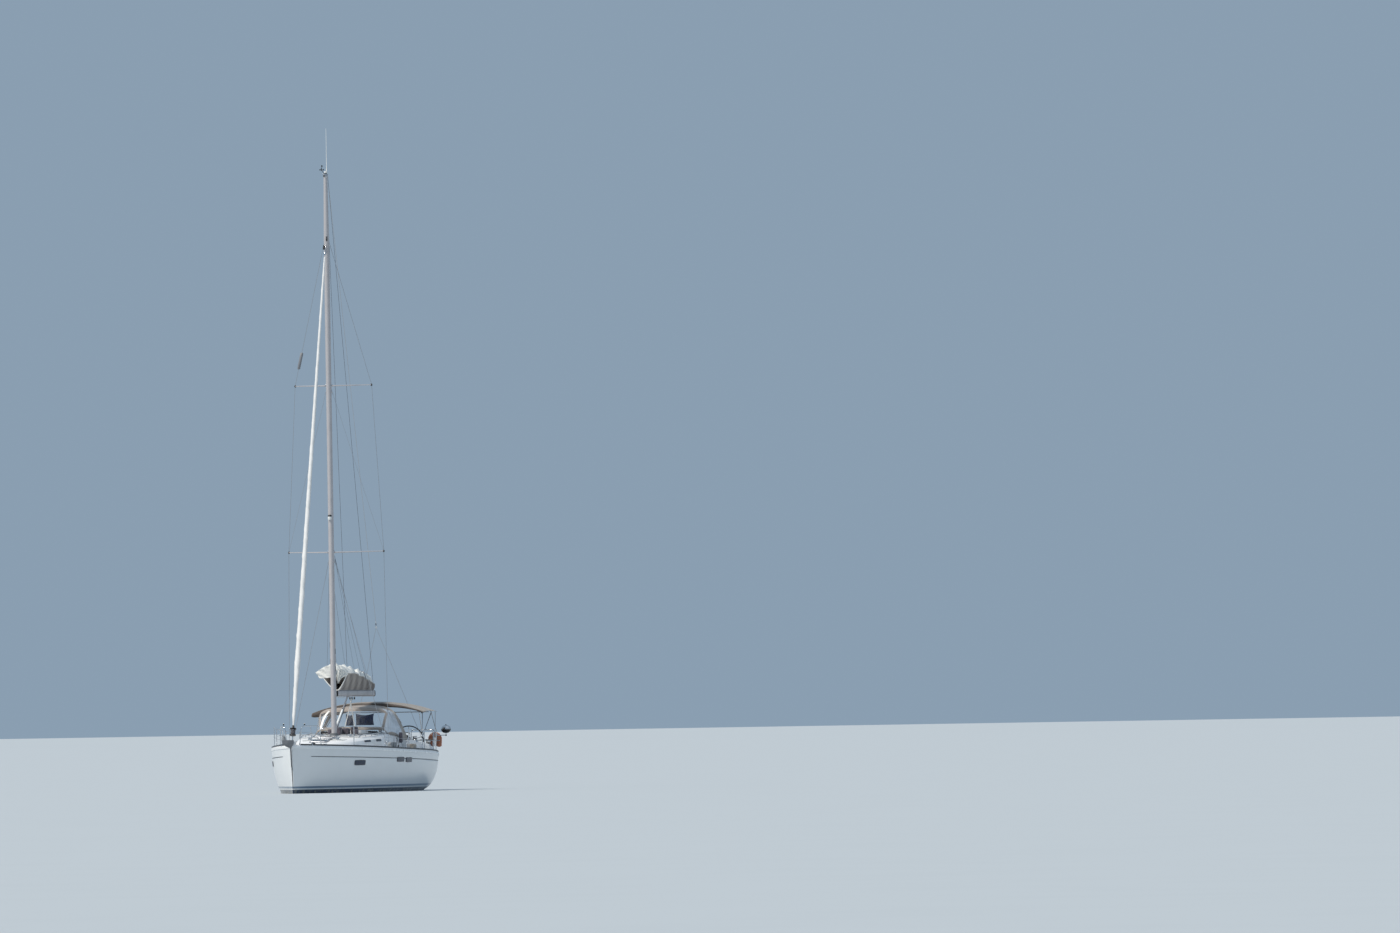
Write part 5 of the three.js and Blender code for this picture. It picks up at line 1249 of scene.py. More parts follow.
def make_genoa():
    """The roll: its radius by height, with the sail's edge winding up it as a rounded ridge."""
    up = np.linspace(GENOA_ROLL[0, 0], GENOA_HIGH, 520)[:, None]
    turn = np.linspace(0, 1, 37)[None, :]
    winding = (turn + (up - GENOA_LOW) / 0.78) % 1
    second = (turn + (up - GENOA_LOW) / 0.46 + 0.4) % 1
    ridge = np.exp(-((winding - 0.5) / 0.07) ** 2) + 0.5 * np.exp(-((second - 0.5) / 0.1) ** 2)
    radius = fair(GENOA_ROLL[:, 0], GENOA_ROLL[:, 1])(up)
    radius = radius * (0.95 + 0.1 * ridge + 0.025 * np.sin(2 * math.pi * (3 * turn + 1.7 * up)))
    angle = 2 * math.pi * turn
    fore = np.cross(PORTWARD, STAY_RUN)
    around = np.cos(angle)[..., None] * fore + np.sin(angle)[..., None] * np.array(PORTWARD)
    roll = closed(stay_at(up[:, 0])[:, None] + radius[..., None] * around, together(turn * 0.4, up))
    sail = piece("genoa_roll", "furled_genoa", "sailcloth", (roll, GENOA_CLOTH), sharp=60)
    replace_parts(sail, "furled_genoa")
    low = stay_at(np.array(GENOA_LOW))
    drum = spun([(95, 0), (95, 22), (62, 30)], low, STAY_RUN, 36)
    drum += spun([(62, 182), (95, 190), (95, 212), (40, 222), (30, 300), (18, 310)], low, STAY_RUN, 36)
    turns = [(66 + 6 * (k % 2), 30 + k * 8.5) for k in range(1, 18)]
    coil = spun([(0, 30), *turns, (0, 182)], low, STAY_RUN, 36)
    piece("furler_drum", "furled_genoa", "black", (drum, BLACK), (coil, DARK_ROPE))
    swivel = spun([(18, 0), (30, 30), (30, 100), (18, 120), (10, 130), (9, 360)],
                  stay_at(np.array(GENOA_HIGH + 0.045)), STAY_RUN, 18)
    head = piece("forestay_swivel", "boat", "steel", (swivel, STEEL))
    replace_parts(head, "forestay_head")


# Boom, its vang and sheet
def boss(low, high):
    """A ring that turns on the gooseneck's or the vang's pin: a rectangle carried round the upright axis."""
    wall = [(0.0165, low), (0.026, low), (0.026, high), (0.0165, high), (0.0165, low)]
    return lathe(wall, place(GOOSENECK_AFT, 0, 0), sides=24)


# The vang's pin on the mast and its pin under the boom
VANG_LOW, VANG_HIGH = (GOOSENECK_AFT + 0.065, 0, 1.935), (6.95, 0, BOOM_UP + 0.015)


def make_boom():
    """A round-cornered section with a slot along its top, dark ends, and the vang below."""
    middle_up, top = BOOM_UP + BOOM_DEPTH / 2, BOOM_UP + BOOM_DEPTH
    section = rounded(0.124, BOOM_DEPTH, 0.045, 6)
    body = sweep(place(np.linspace(GOOSENECK_AFT + 0.1, BOOM_END_AFT, 14), 0, middle_up), section, UPRIGHT)
    body += joined(brick((GOOSENECK_AFT + 0.2, BOOM_END_AFT - 0.2), (port - 0.0025, port + 0.0025),
                         (BOOM_UP + 0.075, BOOM_UP + 0.1), 0.002) for port in (-0.063, 0.063))
    dark = joined(sweep(place(np.linspace(first, last, 3), 0, middle_up), section * 1.03, UPRIGHT) for first,
                  last in ((GOOSENECK_AFT + 0.095, GOOSENECK_AFT + 0.15), (BOOM_END_AFT - 0.08, BOOM_END_AFT)))
    dark += brick((GOOSENECK_AFT + 0.3, BOOM_END_AFT - 0.3), (-0.011, 0.011), (top - 0.004, top + 0.0015), 0.001)
    tang_up = (BOOM_UP + 0.02, BOOM_UP + 0.16)
    tang = brick((GOOSENECK_AFT + 0.019, GOOSENECK_AFT + 0.12), (-0.012, 0.012), tang_up, 0.003) + boss(*tang_up)
    boom = piece("boom_tube", "boom", "alloy", (body, MAST_ALLOY), (dark, BLACK), (tang, STEEL))
    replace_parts(boom, "boom")
    low, high = place(*VANG_LOW), place(*VANG_HIGH)
    run = high - low
    middle = low + 0.55 * run
    sleeve, inner = rod(low, middle, 0.029, 18), rod(middle - 0.02 * run, high, 0.022, 16)
    forks = rod(low - (0, 0.036, 0), low + (0, 0.036, 0), 0.01) + rod(high - (0, 0.03, 0), high + (0, 0.03, 0), 0.012)
    forks += brick((GOOSENECK_AFT + 0.021, GOOSENECK_AFT + 0.08), (-0.012, 0.012), (1.906, 1.949), 0.003)
    forks += boss(1.906, 1.949) + brick((6.9, 7.0), (-0.04, 0.04), (BOOM_UP - 0.03, BOOM_UP + 0.004))
    tackle = joined(rod(low + (0, port, -0.02), low + share * run + (0, port * 0.6, -0.03), 0.007, 10) for port,
                    share in ((0.042, 0.8), (0.054, 0.72), (-0.045, 0.76)))
    rings = disc(middle, run, 0.033, 0.05) + disc(low + 0.03 * run, run, 0.033, 0.04)
    piece("vang_strut", "boom", "alloy", (sleeve, WHITE_PAINT_AND_EDGE_HIGHLIGHT), (inner, MAST_ALLOY), (forks, STEEL), (rings, BLACK),
          (tackle, DARK_ROPE))


def pulley(centre, axis=PORTWARD, radius=0.036):
    """A block: a grooved wheel between two cheeks."""
    centre = np.asarray(centre, float)
    axis = np.asarray(axis, float)
    cheeks = disc(centre + 0.012 * axis, axis, radius, 0.008) + disc(centre - 0.012 * axis, axis, radius, 0.008)
    return cheeks + disc(centre, axis, radius * 0.72, 0.016)


# Mainsheet: places aft of the blocks under the boom, and (aft, port) of those on the roof
SHEET_BLOCKS = (7.2, 7.45, 7.75)
SHEET_FEET = ((7.12, 0.16), (7.12, -0.16))
SHEET_RADIUS = 0.007


def make_mainsheet():
    """Blocks under the boom and on the roof, with the parts of the sheet between them."""
    above = joined(pulley(place(aft, 0, BOOM_UP - 0.055)) for aft in SHEET_BLOCKS)
    straps = joined(brick((aft - 0.016, aft + 0.016), (-0.008, 0.008), (BOOM_UP - 0.05, BOOM_UP + 0.004), 0.003)
                    for aft in SHEET_BLOCKS)
    piece("sheet_blocks_upper", "boom", "black", (above, BLACK), (straps, STEEL))
    roof = float(roof_up(7.3)) + 0.085
    below = joined(pulley(place(*spot, roof + 0.062)) for spot in SHEET_FEET)
    feet = joined(spun([(32, 0), (30, 8), (10, 14), (8, 40)], place(*spot, roof), sides=16) for spot in SHEET_FEET)
    piece("sheet_blocks_lower", "boat", "black", (below, BLACK), (feet, STEEL))
    parts = joined(tube(straight(place(aft + shift, port, roof + 0.06), place(up_aft + shift, 0, BOOM_UP - 0.06), 14),
                        SHEET_RADIUS, 10) for (aft, port), up_aft in zip(SHEET_FEET, SHEET_BLOCKS)
                   for shift in (-0.026, 0.026))
    rope = piece("mainsheet", None, "sailcloth", (parts, WHITE_ROPE))
    tuple(place(7.15, 0, roof + 0.10))
    tuple(place(7.3, 0, BOOM_UP - 0.12))
    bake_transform(rope)
    first, _, last = (place(aft, 0, BOOM_UP - 0.09) for aft in SHEET_BLOCKS)
    lead = [place(SHEET_BLOCKS[0], 0.012, BOOM_UP - 0.02), place(5.68, 0.012, BOOM_UP - 0.025),
            place(5.62, 0.012, BOOM_UP + 0.012)]
    along = rod(first, last, SHEET_RADIUS, 10) + tube(bent(lead, 0.03), SHEET_RADIUS, 10, PORTWARD)
    piece("mainsheet_run", "boom", "sailcloth", (along, WHITE_ROPE))


# Sail bag: half-widths of its open top to port and starboard, and its height
BAG_LINES = np.array([
    (5.62, 0.34, 0.5, 3.47), (6.1, 0.345, 0.535, 3.5), (6.4, 0.34, 0.51, 3.49),
    (7.4, 0.31, 0.41, 3.41), (8.6, 0.23, 0.29, 3.3), (9.9, 0.11, 0.12, 3.17),
])
BAG_LOW = BOOM_UP + BOOM_DEPTH + 0.006
bag_port, bag_starboard, bag_high = (fair(BAG_LINES[:, 0], BAG_LINES[:, column]) for column in (1, 2, 3))


def bag_point(aft, turn):
    """The bag's skin: from its starboard lip (-1) under the sail to its port lip (1), bulging between webbings."""
    share = np.clip((np.abs(turn) - 0.08) / 0.92, 0, 1)
    half = np.where(turn > 0, bag_port(aft), bag_starboard(aft))
    bulge = 0.02 * np.sin(math.pi * share) * np.abs(np.sin(math.pi * (aft - 5.62) / 0.43)) ** 0.6
    bulge = bulge + 0.01 * share * np.sin(7 * aft + 4 * share)
    width = 0.045 * np.minimum(1, np.abs(turn) / 0.08) + (half - 0.055) * share ** 0.8 + bulge
    droop = 0.022 * share ** 4 * np.sin(math.pi * (aft - 5.62) / 1.07) ** 2
    return place(aft, np.sign(turn) * width, BAG_LOW + share * (bag_high(aft) - BAG_LOW) - droop)


# Webbings up the bag's sides, by place aft; the lazy jacks hold it at three of them
BAG_WEBS = (6.05, 6.48, 7.34, 8.2, 9.06)
JACK_STATIONS = (6.48, 7.34, 8.2)


def make_sail_bag():
    """The bag open along its top and front, with webbing up its sides and a pale strip round its mouth."""
    aft = np.linspace(BAG_LINES[0, 0], BAG_LINES[-1, 0], 130)[:, None]
    turn = np.linspace(-1, 1, 81)[None, :]
    skin = surface(bag_point(aft, turn), together(turn * 0.75, aft))
    bag = cloth_piece("sail_bag_cloth", "boom", "canvas", (flipped(skin), PLEAT_SHADED_BAG_CLOTH), thickness=0.006)
    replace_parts(bag, "sail_bag")
    around = np.linspace(-1, 1, 61)
    mouth = band_on(bag_point, 5.632, around, 0.034, 0.006, -0.004)
    tail = band_on(bag_point, 9.885, around, 0.05, 0.006, -0.004)
    lips = joined(band_on(bag_point, np.linspace(5.64, 9.88, 100), end, 0.03, 0.01, -0.002) for end in (-0.992, 0.992))
    webs = joined(band_on(bag_point, station, sign * np.linspace(0.1, 0.98, 24), 0.04, 0.004, -0.006)
                  for station in BAG_WEBS for sign in (-1, 1))
    piping = tube(bag_point(np.full(61, 5.618), around * 0.985), 0.015, 10, FORWARD)
    piece("sail_bag_edges", "boom", "canvas", (mouth + piping, BAND_WHITE), (tail, CANVAS_PALE), (lips, CANVAS),
          (webs, PLEAT_SHADED_BAG_CLOTH))


# Stowed mainsail: height of the heap along the boom, and how far its ridge lies to starboard
HEAP_LINES = np.array([
    (5.66, 3.6, -0.2), (5.95, 3.78, -0.16), (6.4, 3.73, -0.06), (6.8, 3.7, 0.0), (7.3, 3.58, 0.02),
    (7.9, 3.62, 0.0), (8.45, 3.52, 0.0), (9.3, 3.47, 0.0), (9.8, 3.3, 0.0),
])
heap_crown, heap_ridge = (fair(HEAP_LINES[:, 0], HEAP_LINES[:, column]) for column in (1, 2))


def make_stowed_sail():
    """Flaked cloth: a top of crossing rounded folds over the bag's room, and a plain underside in the bag."""
    aft = np.linspace(5.66, 9.8, 300)[:, None]
    share = np.linspace(0, 1, 65)[None, :]
    port, starboard = bag_port(aft) - 0.04, bag_starboard(aft) - 0.04
    across = port + (-starboard - port) * share
    edge = bag_high(aft) - 0.045
    hump = np.clip(1 - np.abs((across - heap_ridge(aft)) / np.where(across > heap_ridge(aft), port, starboard)), 0, 1)
    dome = 1 - (1 - hump) ** 1.7
    folds = np.abs(np.sin(3.1 * aft + 1.4 * np.sin(4.0 * share + aft) + 1.0)) ** 0.8 * 0.08
    folds = folds + np.abs(np.sin(7.5 * aft - 5.0 * share + 0.7)) ** 0.8 * 0.045
    folds = folds + np.abs(np.sin(8.0 * share + 2.4 * np.sin(2.3 * aft))) * 0.04
    folds = folds + 0.012 * np.sin(31 * aft + 13 * share) * np.sin(23 * share - 9 * aft)
    reach = np.sin(math.pi * share) ** 0.45
    up = edge + (heap_crown(aft) - edge) * dome * 0.92 + (folds - 0.085) * reach
    shift = 0.03 * np.sin(8.0 * aft + 5.0 * share) * reach
    top = place(aft, across + shift, up)
    filled = np.interp(aft, (5.66, 6.35), (0.18, 1.0))
    under = place(aft, across * (0.12 + 0.88 * np.abs(2 * share - 1) ** 1.2), edge
                  - (edge - BAG_LOW - 0.05) * filled * (1 - np.abs(2 * share - 1) ** 1.3))
    under[:, 0], under[:, -1] = top[:, 0], top[:, -1]
    uv = together(share * 1.2, aft)
    heap = surface(top, uv) + flipped(surface(under, uv))
    for row, back in ((0, True), (-1, False)):
        pair = np.stack([under[row], top[row]] if back else [top[row], under[row]])
        heap += surface(pair, np.broadcast_to(uv[:1], (2,) + uv.shape[1:]))
    sail = piece("mainsail_heap", "boom", "sailcloth", (heap, SAILCLOTH), sharp=75)
    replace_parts(sail, "stowed_mainsail")
    ties = []
    for station in (7.3, 8.6):
        stretch = np.linspace(0.04, 0.96, 30)
        row = np.argmin(np.abs(aft[:, 0] - station))
        line = np.stack([np.interp(stretch, share[0], top[row, :, axis]) for axis in range(3)], axis=1)
        ties += sweep(line + (0, 0, 0.012), rounded(0.035, 0.005, 0.002, 2), UPRIGHT)
    piece("sail_ties", "boom", "canvas", (ties, NAVY_CLOTH))


# Loose corners of the sail as (aft, port, up): three points along the upper edge, then three along the lower
SAIL_FLAPS = {"sail_flap_starboard": [(5.6, -0.04, 3.77), (5.56, -0.34, 3.69), (5.62, -0.64, 3.52), (5.6, 0.02, 3.38),
                                      (5.6, -0.26, 3.36), (5.64, -0.52, 3.35)],
              "sail_flap_port": [(5.48, 0.06, 3.62), (5.52, 0.2, 3.6), (5.6, 0.36, 3.44), (5.55, 0.05, 3.18),
                                 (5.56, 0.09, 3.24), (5.6, 0.14, 3.34)],}


def make_sail_flaps():
    """Loose cloth at the front of the heap: a point out to starboard and a flap beside the mast."""
    for name, corners in SAIL_FLAPS.items():
        corners = np.array(corners)
        across = np.linspace(0, 2, 33)
        rim, hem = (np.stack([fair((0, 1, 2), line)(across) for line in row.T], axis=1)
                    for row in (corners[:3], corners[3:]))
        down = np.linspace(0, 1, 25)[:, None]
        grid = rim[None] + down[..., None] * (hem - rim)[None]
        ripple = 0.022 * np.sin(9 * across[None] + 5 * down) * np.sin(math.pi * down) ** 0.5
        points = place(grid[..., 0] + ripple, grid[..., 1], grid[..., 2])
        shape = surface(points, together(across[None] * 0.3, down * 0.4))
        flap = cloth_piece(name, "boom", "sailcloth", (shape, SAILCLOTH), thickness=0.003)


def make_running_lines():
    """Topping lift, main halyard and lazy jacks, straight from the mast to the boom."""
    head = MAST_AFT + 0.2
    lines = {"topping_lift": [(place(head, 0.02, MASTHEAD - 0.02), place(BOOM_END_AFT - 0.05, 0.02, 3.01), 0.005)],
             "main_halyard": [(place(head, -0.02, MASTHEAD - 0.03), place(6.9, 0.0, 3.72), 0.005)],
             "lazy_jacks": [(by_mast(0.06, sign * 0.078, SPREADER_UP["lower"] - 0.1),
                             place(station, sign * half(station), bag_high(station)), 0.003) for sign,
                            half in ((1, bag_port), (-1, bag_starboard)) for station in JACK_STATIONS],}
    for name, runs in lines.items():
        shapes = joined(tube(straight(start, end, 24), radius, 8) for start, end, radius in runs)
        rope = piece(name, None, "black", (shapes, DARK_ROPE))
        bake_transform(rope)


# Sprayhood: place aft, half-width, foot and crown heights, and how far its arch is the aft one
HOOD_ROWS = np.array([
    (7.28, 1.09, 1.7, 1.815, 0.0), (7.59, 1.16, 1.67, 2.41, 0.0), (8.15, 1.225, 1.6, 2.5, 0.6),
    (8.85, 1.31, 1.49, 2.55, 1.0),
])
# Shares of half-width and height from the foot of an arch to its crown
FRONT_ARCH = np.array([(1, 0), (0.97, 0.3), (0.91, 0.72), (0.8, 0.93), (0.5, 0.985), (0.25, 1), (0, 1)])
AFT_ARCH = np.array([(1, 0), (0.977, 0.175), (0.813, 0.61), (0.695, 0.816), (0.53, 0.932), (0.27, 0.985), (0, 1)])
hood_half, hood_foot, hood_crown, hood_aftness = (fair(HOOD_ROWS[:, 0], HOOD_ROWS[:, c]) for c in range(1, 5))
front_wide, front_tall, aft_wide, aft_tall = (fair(np.arange(7), arch[:, column]) for arch in (FRONT_ARCH, AFT_ARCH)
                                              for column in (0, 1))


def hood_point(aft, turn):
    """The hood's skin: from its starboard foot (-1) over the crown (0) to its port foot (1)."""
    step = 6 * (1 - np.abs(turn))
    blend = np.clip(hood_aftness(aft), 0, 1)
    wide = front_wide(step) + blend * (aft_wide(step) - front_wide(step))
    tall = front_tall(step) + blend * (aft_tall(step) - front_tall(step))
    sag = 0.018 * np.sin(math.pi * np.clip((aft - 7.62) / 1.1, 0, 1)) ** 2 * tall
    return place(aft, np.sign(turn) * wide * hood_half(aft), hood_foot(aft)
                 + tall * (hood_crown(aft) - hood_foot(aft)) - sag)


# Clear panes: (first, last) place aft and (low, high) share from the crown to a foot
HOOD_PANES = {"front": ((7.32, 7.555), (0.0, 0.555)), "side": ((7.32, 8.54), (0.615, 0.94)),
              "upper": ((7.64, 8.54), (0.46, 0.615))}
HOOD_FRONT, HOOD_KNEE, HOOD_AFT = 7.28, 7.6, 8.85
TAUPE_FROM = 8.54
HOOD_HOOPS = (7.61, 8.8)


def make_sprayhood():
    """One cloth over two hoops: taupe and bleached canvas with clear panes, and bindings round them."""
    aft = np.concatenate([np.linspace(HOOD_FRONT, HOOD_KNEE, 25), np.linspace(HOOD_KNEE, HOOD_AFT, 60)[1:]])[:, None]
    turn = np.linspace(-1, 1, 161)[None, :]
    whole_hood = surface(hood_point(aft, turn), together(turn * 2.0, aft))
    middle_aft = (aft[1:] + aft[:-1]) / 2
    middle_turn = np.abs(turn[:, 1:] + turn[:, :-1]) / 2
    front, side, upper = ((middle_aft > first) & (middle_aft < last) & (middle_turn >= low) & (middle_turn < high)
                          for (first, last), (low, high) in HOOD_PANES.values())
    clear = front | side | upper
    # Painted light: only the port panes take the milky white vinyl, as if lit through; the starboard ones stay clear.
    port_lit_panes = clear & ~front & (turn[:, 1:] > 0)
    taupe = ~clear & (middle_aft > TAUPE_FROM)
    parts = ((~clear & ~taupe, CANVAS_PALE), (clear & ~port_lit_panes, CLEAR), (port_lit_panes, LIT_MILKY_VINYL), (taupe, CANVAS))
    hood = cloth_piece("sprayhood_cloth", "boat", "canvas",
                       *((only(whole_hood, keep), finish) for keep, finish in parts), thickness=0.0035)
    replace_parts(hood, "sprayhood")
    arch = np.linspace(-1, 1, 121)
    bindings = joined(band_on(hood_point, station, arch * reach, width) for station, width,
                      reach in ((HOOD_KNEE, 0.06, 0.6), (8.545, 0.022, 1.0), (8.838, 0.03, 1.0)))
    dark = band_on(hood_point, 7.292, arch, 0.03)
    for sign in (-1, 1):
        dark += band_on(hood_point, np.linspace(7.3, 8.83, 60), sign * 0.988, 0.03)
        ring = bent([(7.6, sign * 0.615), (7.64, sign * 0.46), (8.54, sign * 0.46), (8.54, sign * 0.94),
                     (7.32, sign * 0.94)], 0.04)
        bindings += band_on(hood_point, ring[:, 0], ring[:, 1], 0.024)
    for edge in HOOD_PANES["front"][0]:
        bindings += band_on(hood_point, edge, np.linspace(-0.56, 0.56, 70), 0.022)
    bindings += band_on(hood_point, np.linspace(7.3, 7.61, 14), 0.585, 0.075)
    strap = band_on(hood_point, np.linspace(7.3, 7.58, 14), np.linspace(-0.56, -0.4, 14), 0.062, 0.004, 0.006)
    piece("sprayhood_bindings", "boat", "canvas", (bindings, CANVAS_PALE), (dark, CANVAS), (strap, BAND_WHITE))
    hoops = joined(tube(lifted(hood_point, np.full(91, station), np.linspace(-0.97, 0.97, 91), -0.02)[0], 0.0125, 12,
                        FORWARD) for station in HOOD_HOOPS)
    piece("sprayhood_frame", "boat", "steel", (hoops, STEEL))
    grips = []
    for port in (-0.62, 0.62):
        low, high = hood_point(8.83, port - 0.1), hood_point(8.83, port + 0.1)
        grips += tube(bent([low, low + (-0.05, 0, 0), high + (-0.05, 0, 0), high], 0.03), 0.011, 10)
    piece("sprayhood_grips", "boat", "black", (grips, LEATHER))


# Cloths hung under the hood's aft arch: their two edges to port, and the height of their hems
HUNG_CLOTHS = {"hung_cloth_starboard": ((-0.51, -0.28), 1.945), "hung_cloth_port": ((-0.21, 0.34), 1.955)}


def make_hung_cloths():
    """Two navy panels hung under the hood's aft arch, sagging between their top corners."""
    across = np.linspace(0, 1, 31)[None, :]
    down = np.linspace(0, 1, 25)[:, None]
    top = 2.3 - 0.05 * np.sin(math.pi * across)
    wave = 0.018 * np.sin(2 * math.pi * across * 2.5) * (0.3 + 0.7 * down)
    for name, ((start, end), low) in HUNG_CLOTHS.items():
        port = start + (end - start) * across * (1 - 0.04 * np.sin(math.pi * down))
        shape = surface(place(8.74 + wave, port, top + (low - top) * down),
                        together(across * (end - start), down * 0.3))
        cloth = cloth_piece(name, "boat", "canvas", (shape, NAVY_CLOTH), thickness=0.003)


# Bimini: canopy on three hoops, with the sizes of its edge fore and aft
BIMINI = {"aft": (9.35, 11.42), "half": (1.7, 1.61), "edge": 2.37, "crown": 2.65}
HOOP_DROP = 0.037
FRONT_HOOP, MAIN_HOOP, REAR_HOOP = 9.45, 9.95, 11.3


def bimini_point(aft, share):
    """Crowned across as 1 - |share|^2.4, falling towards both ends, and sagging between the hoops."""
    along = 2 * (aft - BIMINI["aft"][0]) / (BIMINI["aft"][1] - BIMINI["aft"][0]) - 1
    sag = 0.016 * np.sin(math.pi * np.clip((aft - MAIN_HOOP) / (REAR_HOOP - MAIN_HOOP), 0, 1)) ** 2
    up = BIMINI["edge"] + (BIMINI["crown"] - BIMINI["edge"]) * (1 - np.abs(share) ** 2.4) - 0.045 * along ** 2 - sag
    return place(aft, share * np.interp(aft, BIMINI["aft"], BIMINI["half"]), up)


# Depth of the valance along the canopy's front edge: share of half the width, depth
VALANCE = ((-1.0, -0.93, -0.5, -0.2, 0.4, 1.0), (0.1, 0.17, 0.29, 0.17, 0.1, 0.03))
VALANCE_LOWEST = 2.21


def make_bimini():
    """The canopy with its sewn pockets and bound edge, and the valance along its front; the canopy's underside and the
    valance take a near-black copy of its canvas as painted shade.
    """
    aft = np.linspace(*BIMINI["aft"], 70)[:, None]
    share = np.linspace(-1, 1, 81)[None, :]
    cover = surface(bimini_point(aft, share), together(share * BIMINI["half"][0], aft))
    # The canopy's inner faces take the near-black canvas as painted shade.
    canopy = cloth_piece("bimini_canopy", "boat", "canvas", (cover, CANVAS), thickness=0.004, shaded_inside=SHADED_CANVAS)
    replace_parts(canopy, "bimini")
    across = np.linspace(-0.998, 0.998, 81)
    seams = joined(band_on(bimini_point, station + shift, across, 0.012, 0.003, 0.001)
                   for station in (FRONT_HOOP, MAIN_HOOP, 10.62, REAR_HOOP) for shift in (-0.035, 0.035))
    edges = joined(band_on(bimini_point, station, across, 0.03, 0.008, -0.001) for station in (9.362, 11.408))
    edges += joined(band_on(bimini_point, np.linspace(9.36, 11.41, 60), end, 0.03, 0.008, -0.001)
                    for end in (-0.994, 0.994))
    piece("bimini_seams", "boat", "canvas", (seams, CANVAS_PALE), (edges, CANVAS))
    down = np.linspace(0, 1, 17)[:, None]
    upper = bimini_point(np.full(81, 9.358), across)[None]
    across = across[None]
    depth = np.minimum(np.interp(across, *VALANCE), upper[..., 2] - VALANCE_LOWEST)
    bow = 0.035 * np.sin(math.pi * down) + 0.01 * np.sin(17 * across) * down
    hung = upper + together(bow, np.sign(across) * 0.02 * down, -depth * down)
    # The valance is in the near-black canvas too, as painted shade.
    valance = cloth_piece("bimini_valance", "boat", "canvas", (surface(hung), SHADED_CANVAS), thickness=0.004)


# Main leg's foot as (aft, port, up), and how far up the leg the rear and front hoops are hinged
LEG_FOOT = np.array([9.55, 1.6, float(deck_top(9.55, 1.6)) - 0.006])
REAR_HINGE, FRONT_HINGE = 0.32, 0.45


def hoop_over(aft, foot):
    """A hoop from a foot on one side, under the canopy, to the same foot on the other."""
    over = bimini_point(aft, np.linspace(-0.9, 0.9, 49)) - (0, 0, HOOP_DROP)
    port_foot, starboard_foot = place(*foot), place(foot[0], -foot[1], foot[2])
    return np.vstack([starboard_foot, bent([starboard_foot, over[0] - (0, 0.02, 0.03), over[1]], 0.12)[1:-1],
                      over[1:-1], bent([over[-2], over[-1] - (0, -0.02, 0.03), port_foot], 0.12)[1:-1], port_foot])


def make_bimini_frame():
    """Three hoops joined at the main leg on each side, with webbing straps aft and a rod across the rear one."""
    head = bimini_point(MAIN_HOOP, 0.9) - (0, 0, HOOP_DROP)
    head[0] = MAIN_HOOP

    def leg_at(share):
        """A point of the main leg, from its foot to its head."""
        return LEG_FOOT + share * (head - LEG_FOOT)

    rear = hoop_over(REAR_HOOP, leg_at(REAR_HINGE))
    hoops = joined(tube(line, 0.0125, 12, FORWARD) for line in (hoop_over(MAIN_HOOP, LEG_FOOT), rear,
                                                                hoop_over(FRONT_HOOP, leg_at(FRONT_HINGE))))
    hoops += rod(place(REAR_HOOP, -1.385, 2.325), place(REAR_HOOP, 1.385, 2.325), 0.0125)
    joints = joined(disc(place(*leg_at(share)), PORTWARD, 0.024, 0.04) for share in (REAR_HINGE, FRONT_HINGE, 0.93))
    feet = spun([(40, 0), (38, 8), (20, 14), (18, 50)], place(*LEG_FOOT), sides=20)
    straps = tube(straight(rear[-4], place(11.5, guard_half(11.5), PUSHPIT_UP), 3), 0.007, 8)
    straps += tube(straight(bimini_point(11.4, 0.97) - (0, 0, 0.012),
                            place(11.86, guard_half(11.8) - 0.03, PUSHPIT_UP), 3), 0.006, 8)
    both = [part + mirrored(part) for part in (joints, feet, straps)]
    frame_piece = piece("bimini_hoops", "boat", "steel", (hoops, STEEL), (both[0], BLACK), (both[1], STEEL),
                        (both[2], CANVAS))
    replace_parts(frame_piece, "bimini_frame")


# Rails: pulpit, guard lines and pushpit
RAIL_RADIUS = 0.0125
STANCHIONS = (2.8, 4.8, 6.8, 8.6)
PUSHPIT_UP, PUSHPIT_MIDDLE, PUSHPIT_REAR = 1.79, 1.475, 11.93


def guard_half(aft):
    """The guard lines stand a hand's breadth inside the deck edge."""
    return sheer_half(aft) - 0.075


def rail_foot(aft, port):
    """A welded foot: a round plate and a short collar, on the deck."""
    profile = [(0, -0.004), (0.04, -0.004), (0.04, 0.004), (0.02, 0.01), (0.0185, 0.055), (0.0135, 0.058), (0, 0.058)]
    screws = []
    for turn in np.arange(4) * math.pi / 2 + 0.6:
        spot = deck_place(aft + 0.03 * math.cos(turn), port + 0.03 * math.sin(turn), 0.006)
        screws += spun([(4.5, 0), (3, 3)], spot, sides=8)
    return lathe(profile, deck_place(aft, port), sides=20) + screws


# Feet of the pulpit's rail fore and aft and of its middle post, as (aft, port)
PULPIT_FEET = ((0.33, 0.19), (1.18, 0.61), (0.75, 0.455))


def make_pulpit():
    """A bent rail over two feet on each bow, with a lower rail and a light on a bracket."""
    fore, aft, middle = (deck_place(*foot) for foot in PULPIT_FEET)
    rail = bent([fore, place(0.3, 0.24, 1.86), place(0.33, 0.262, 1.955), place(0.48, 0.322, 1.96),
                 place(1.06, 0.552, 1.96), place(1.155, 0.592, 1.905), aft], 0.1, 8)
    tubes = tube(rail, RAIL_RADIUS, 14, (0.35, 0.94, 0)) + rod(place(0.72, 0.418, 1.955), middle, 0.01)
    tubes += rod(place(0.325, 0.238, 1.7), place(1.165, 0.59, 1.69), 0.01)
    tubes += joined(rail_foot(*foot) for foot in PULPIT_FEET)
    lamp = place(0.44, 0.315, 2.005)
    light = spun([(20, -22), (22, 0), (20, 22), (0, 26)], lamp, sides=16)
    hood = spun([(0, 26), (24, 20), (26, 30), (0, 36)], lamp, sides=16)
    tubes += rod(lamp - (0, 0, 0.03), lamp - (0, 0, 0.055), 0.009)
    side_piece("pulpit_rail", "pulpit", "steel", (tubes, STEEL), (light, SMOKED), (hood, BAND_WHITE))


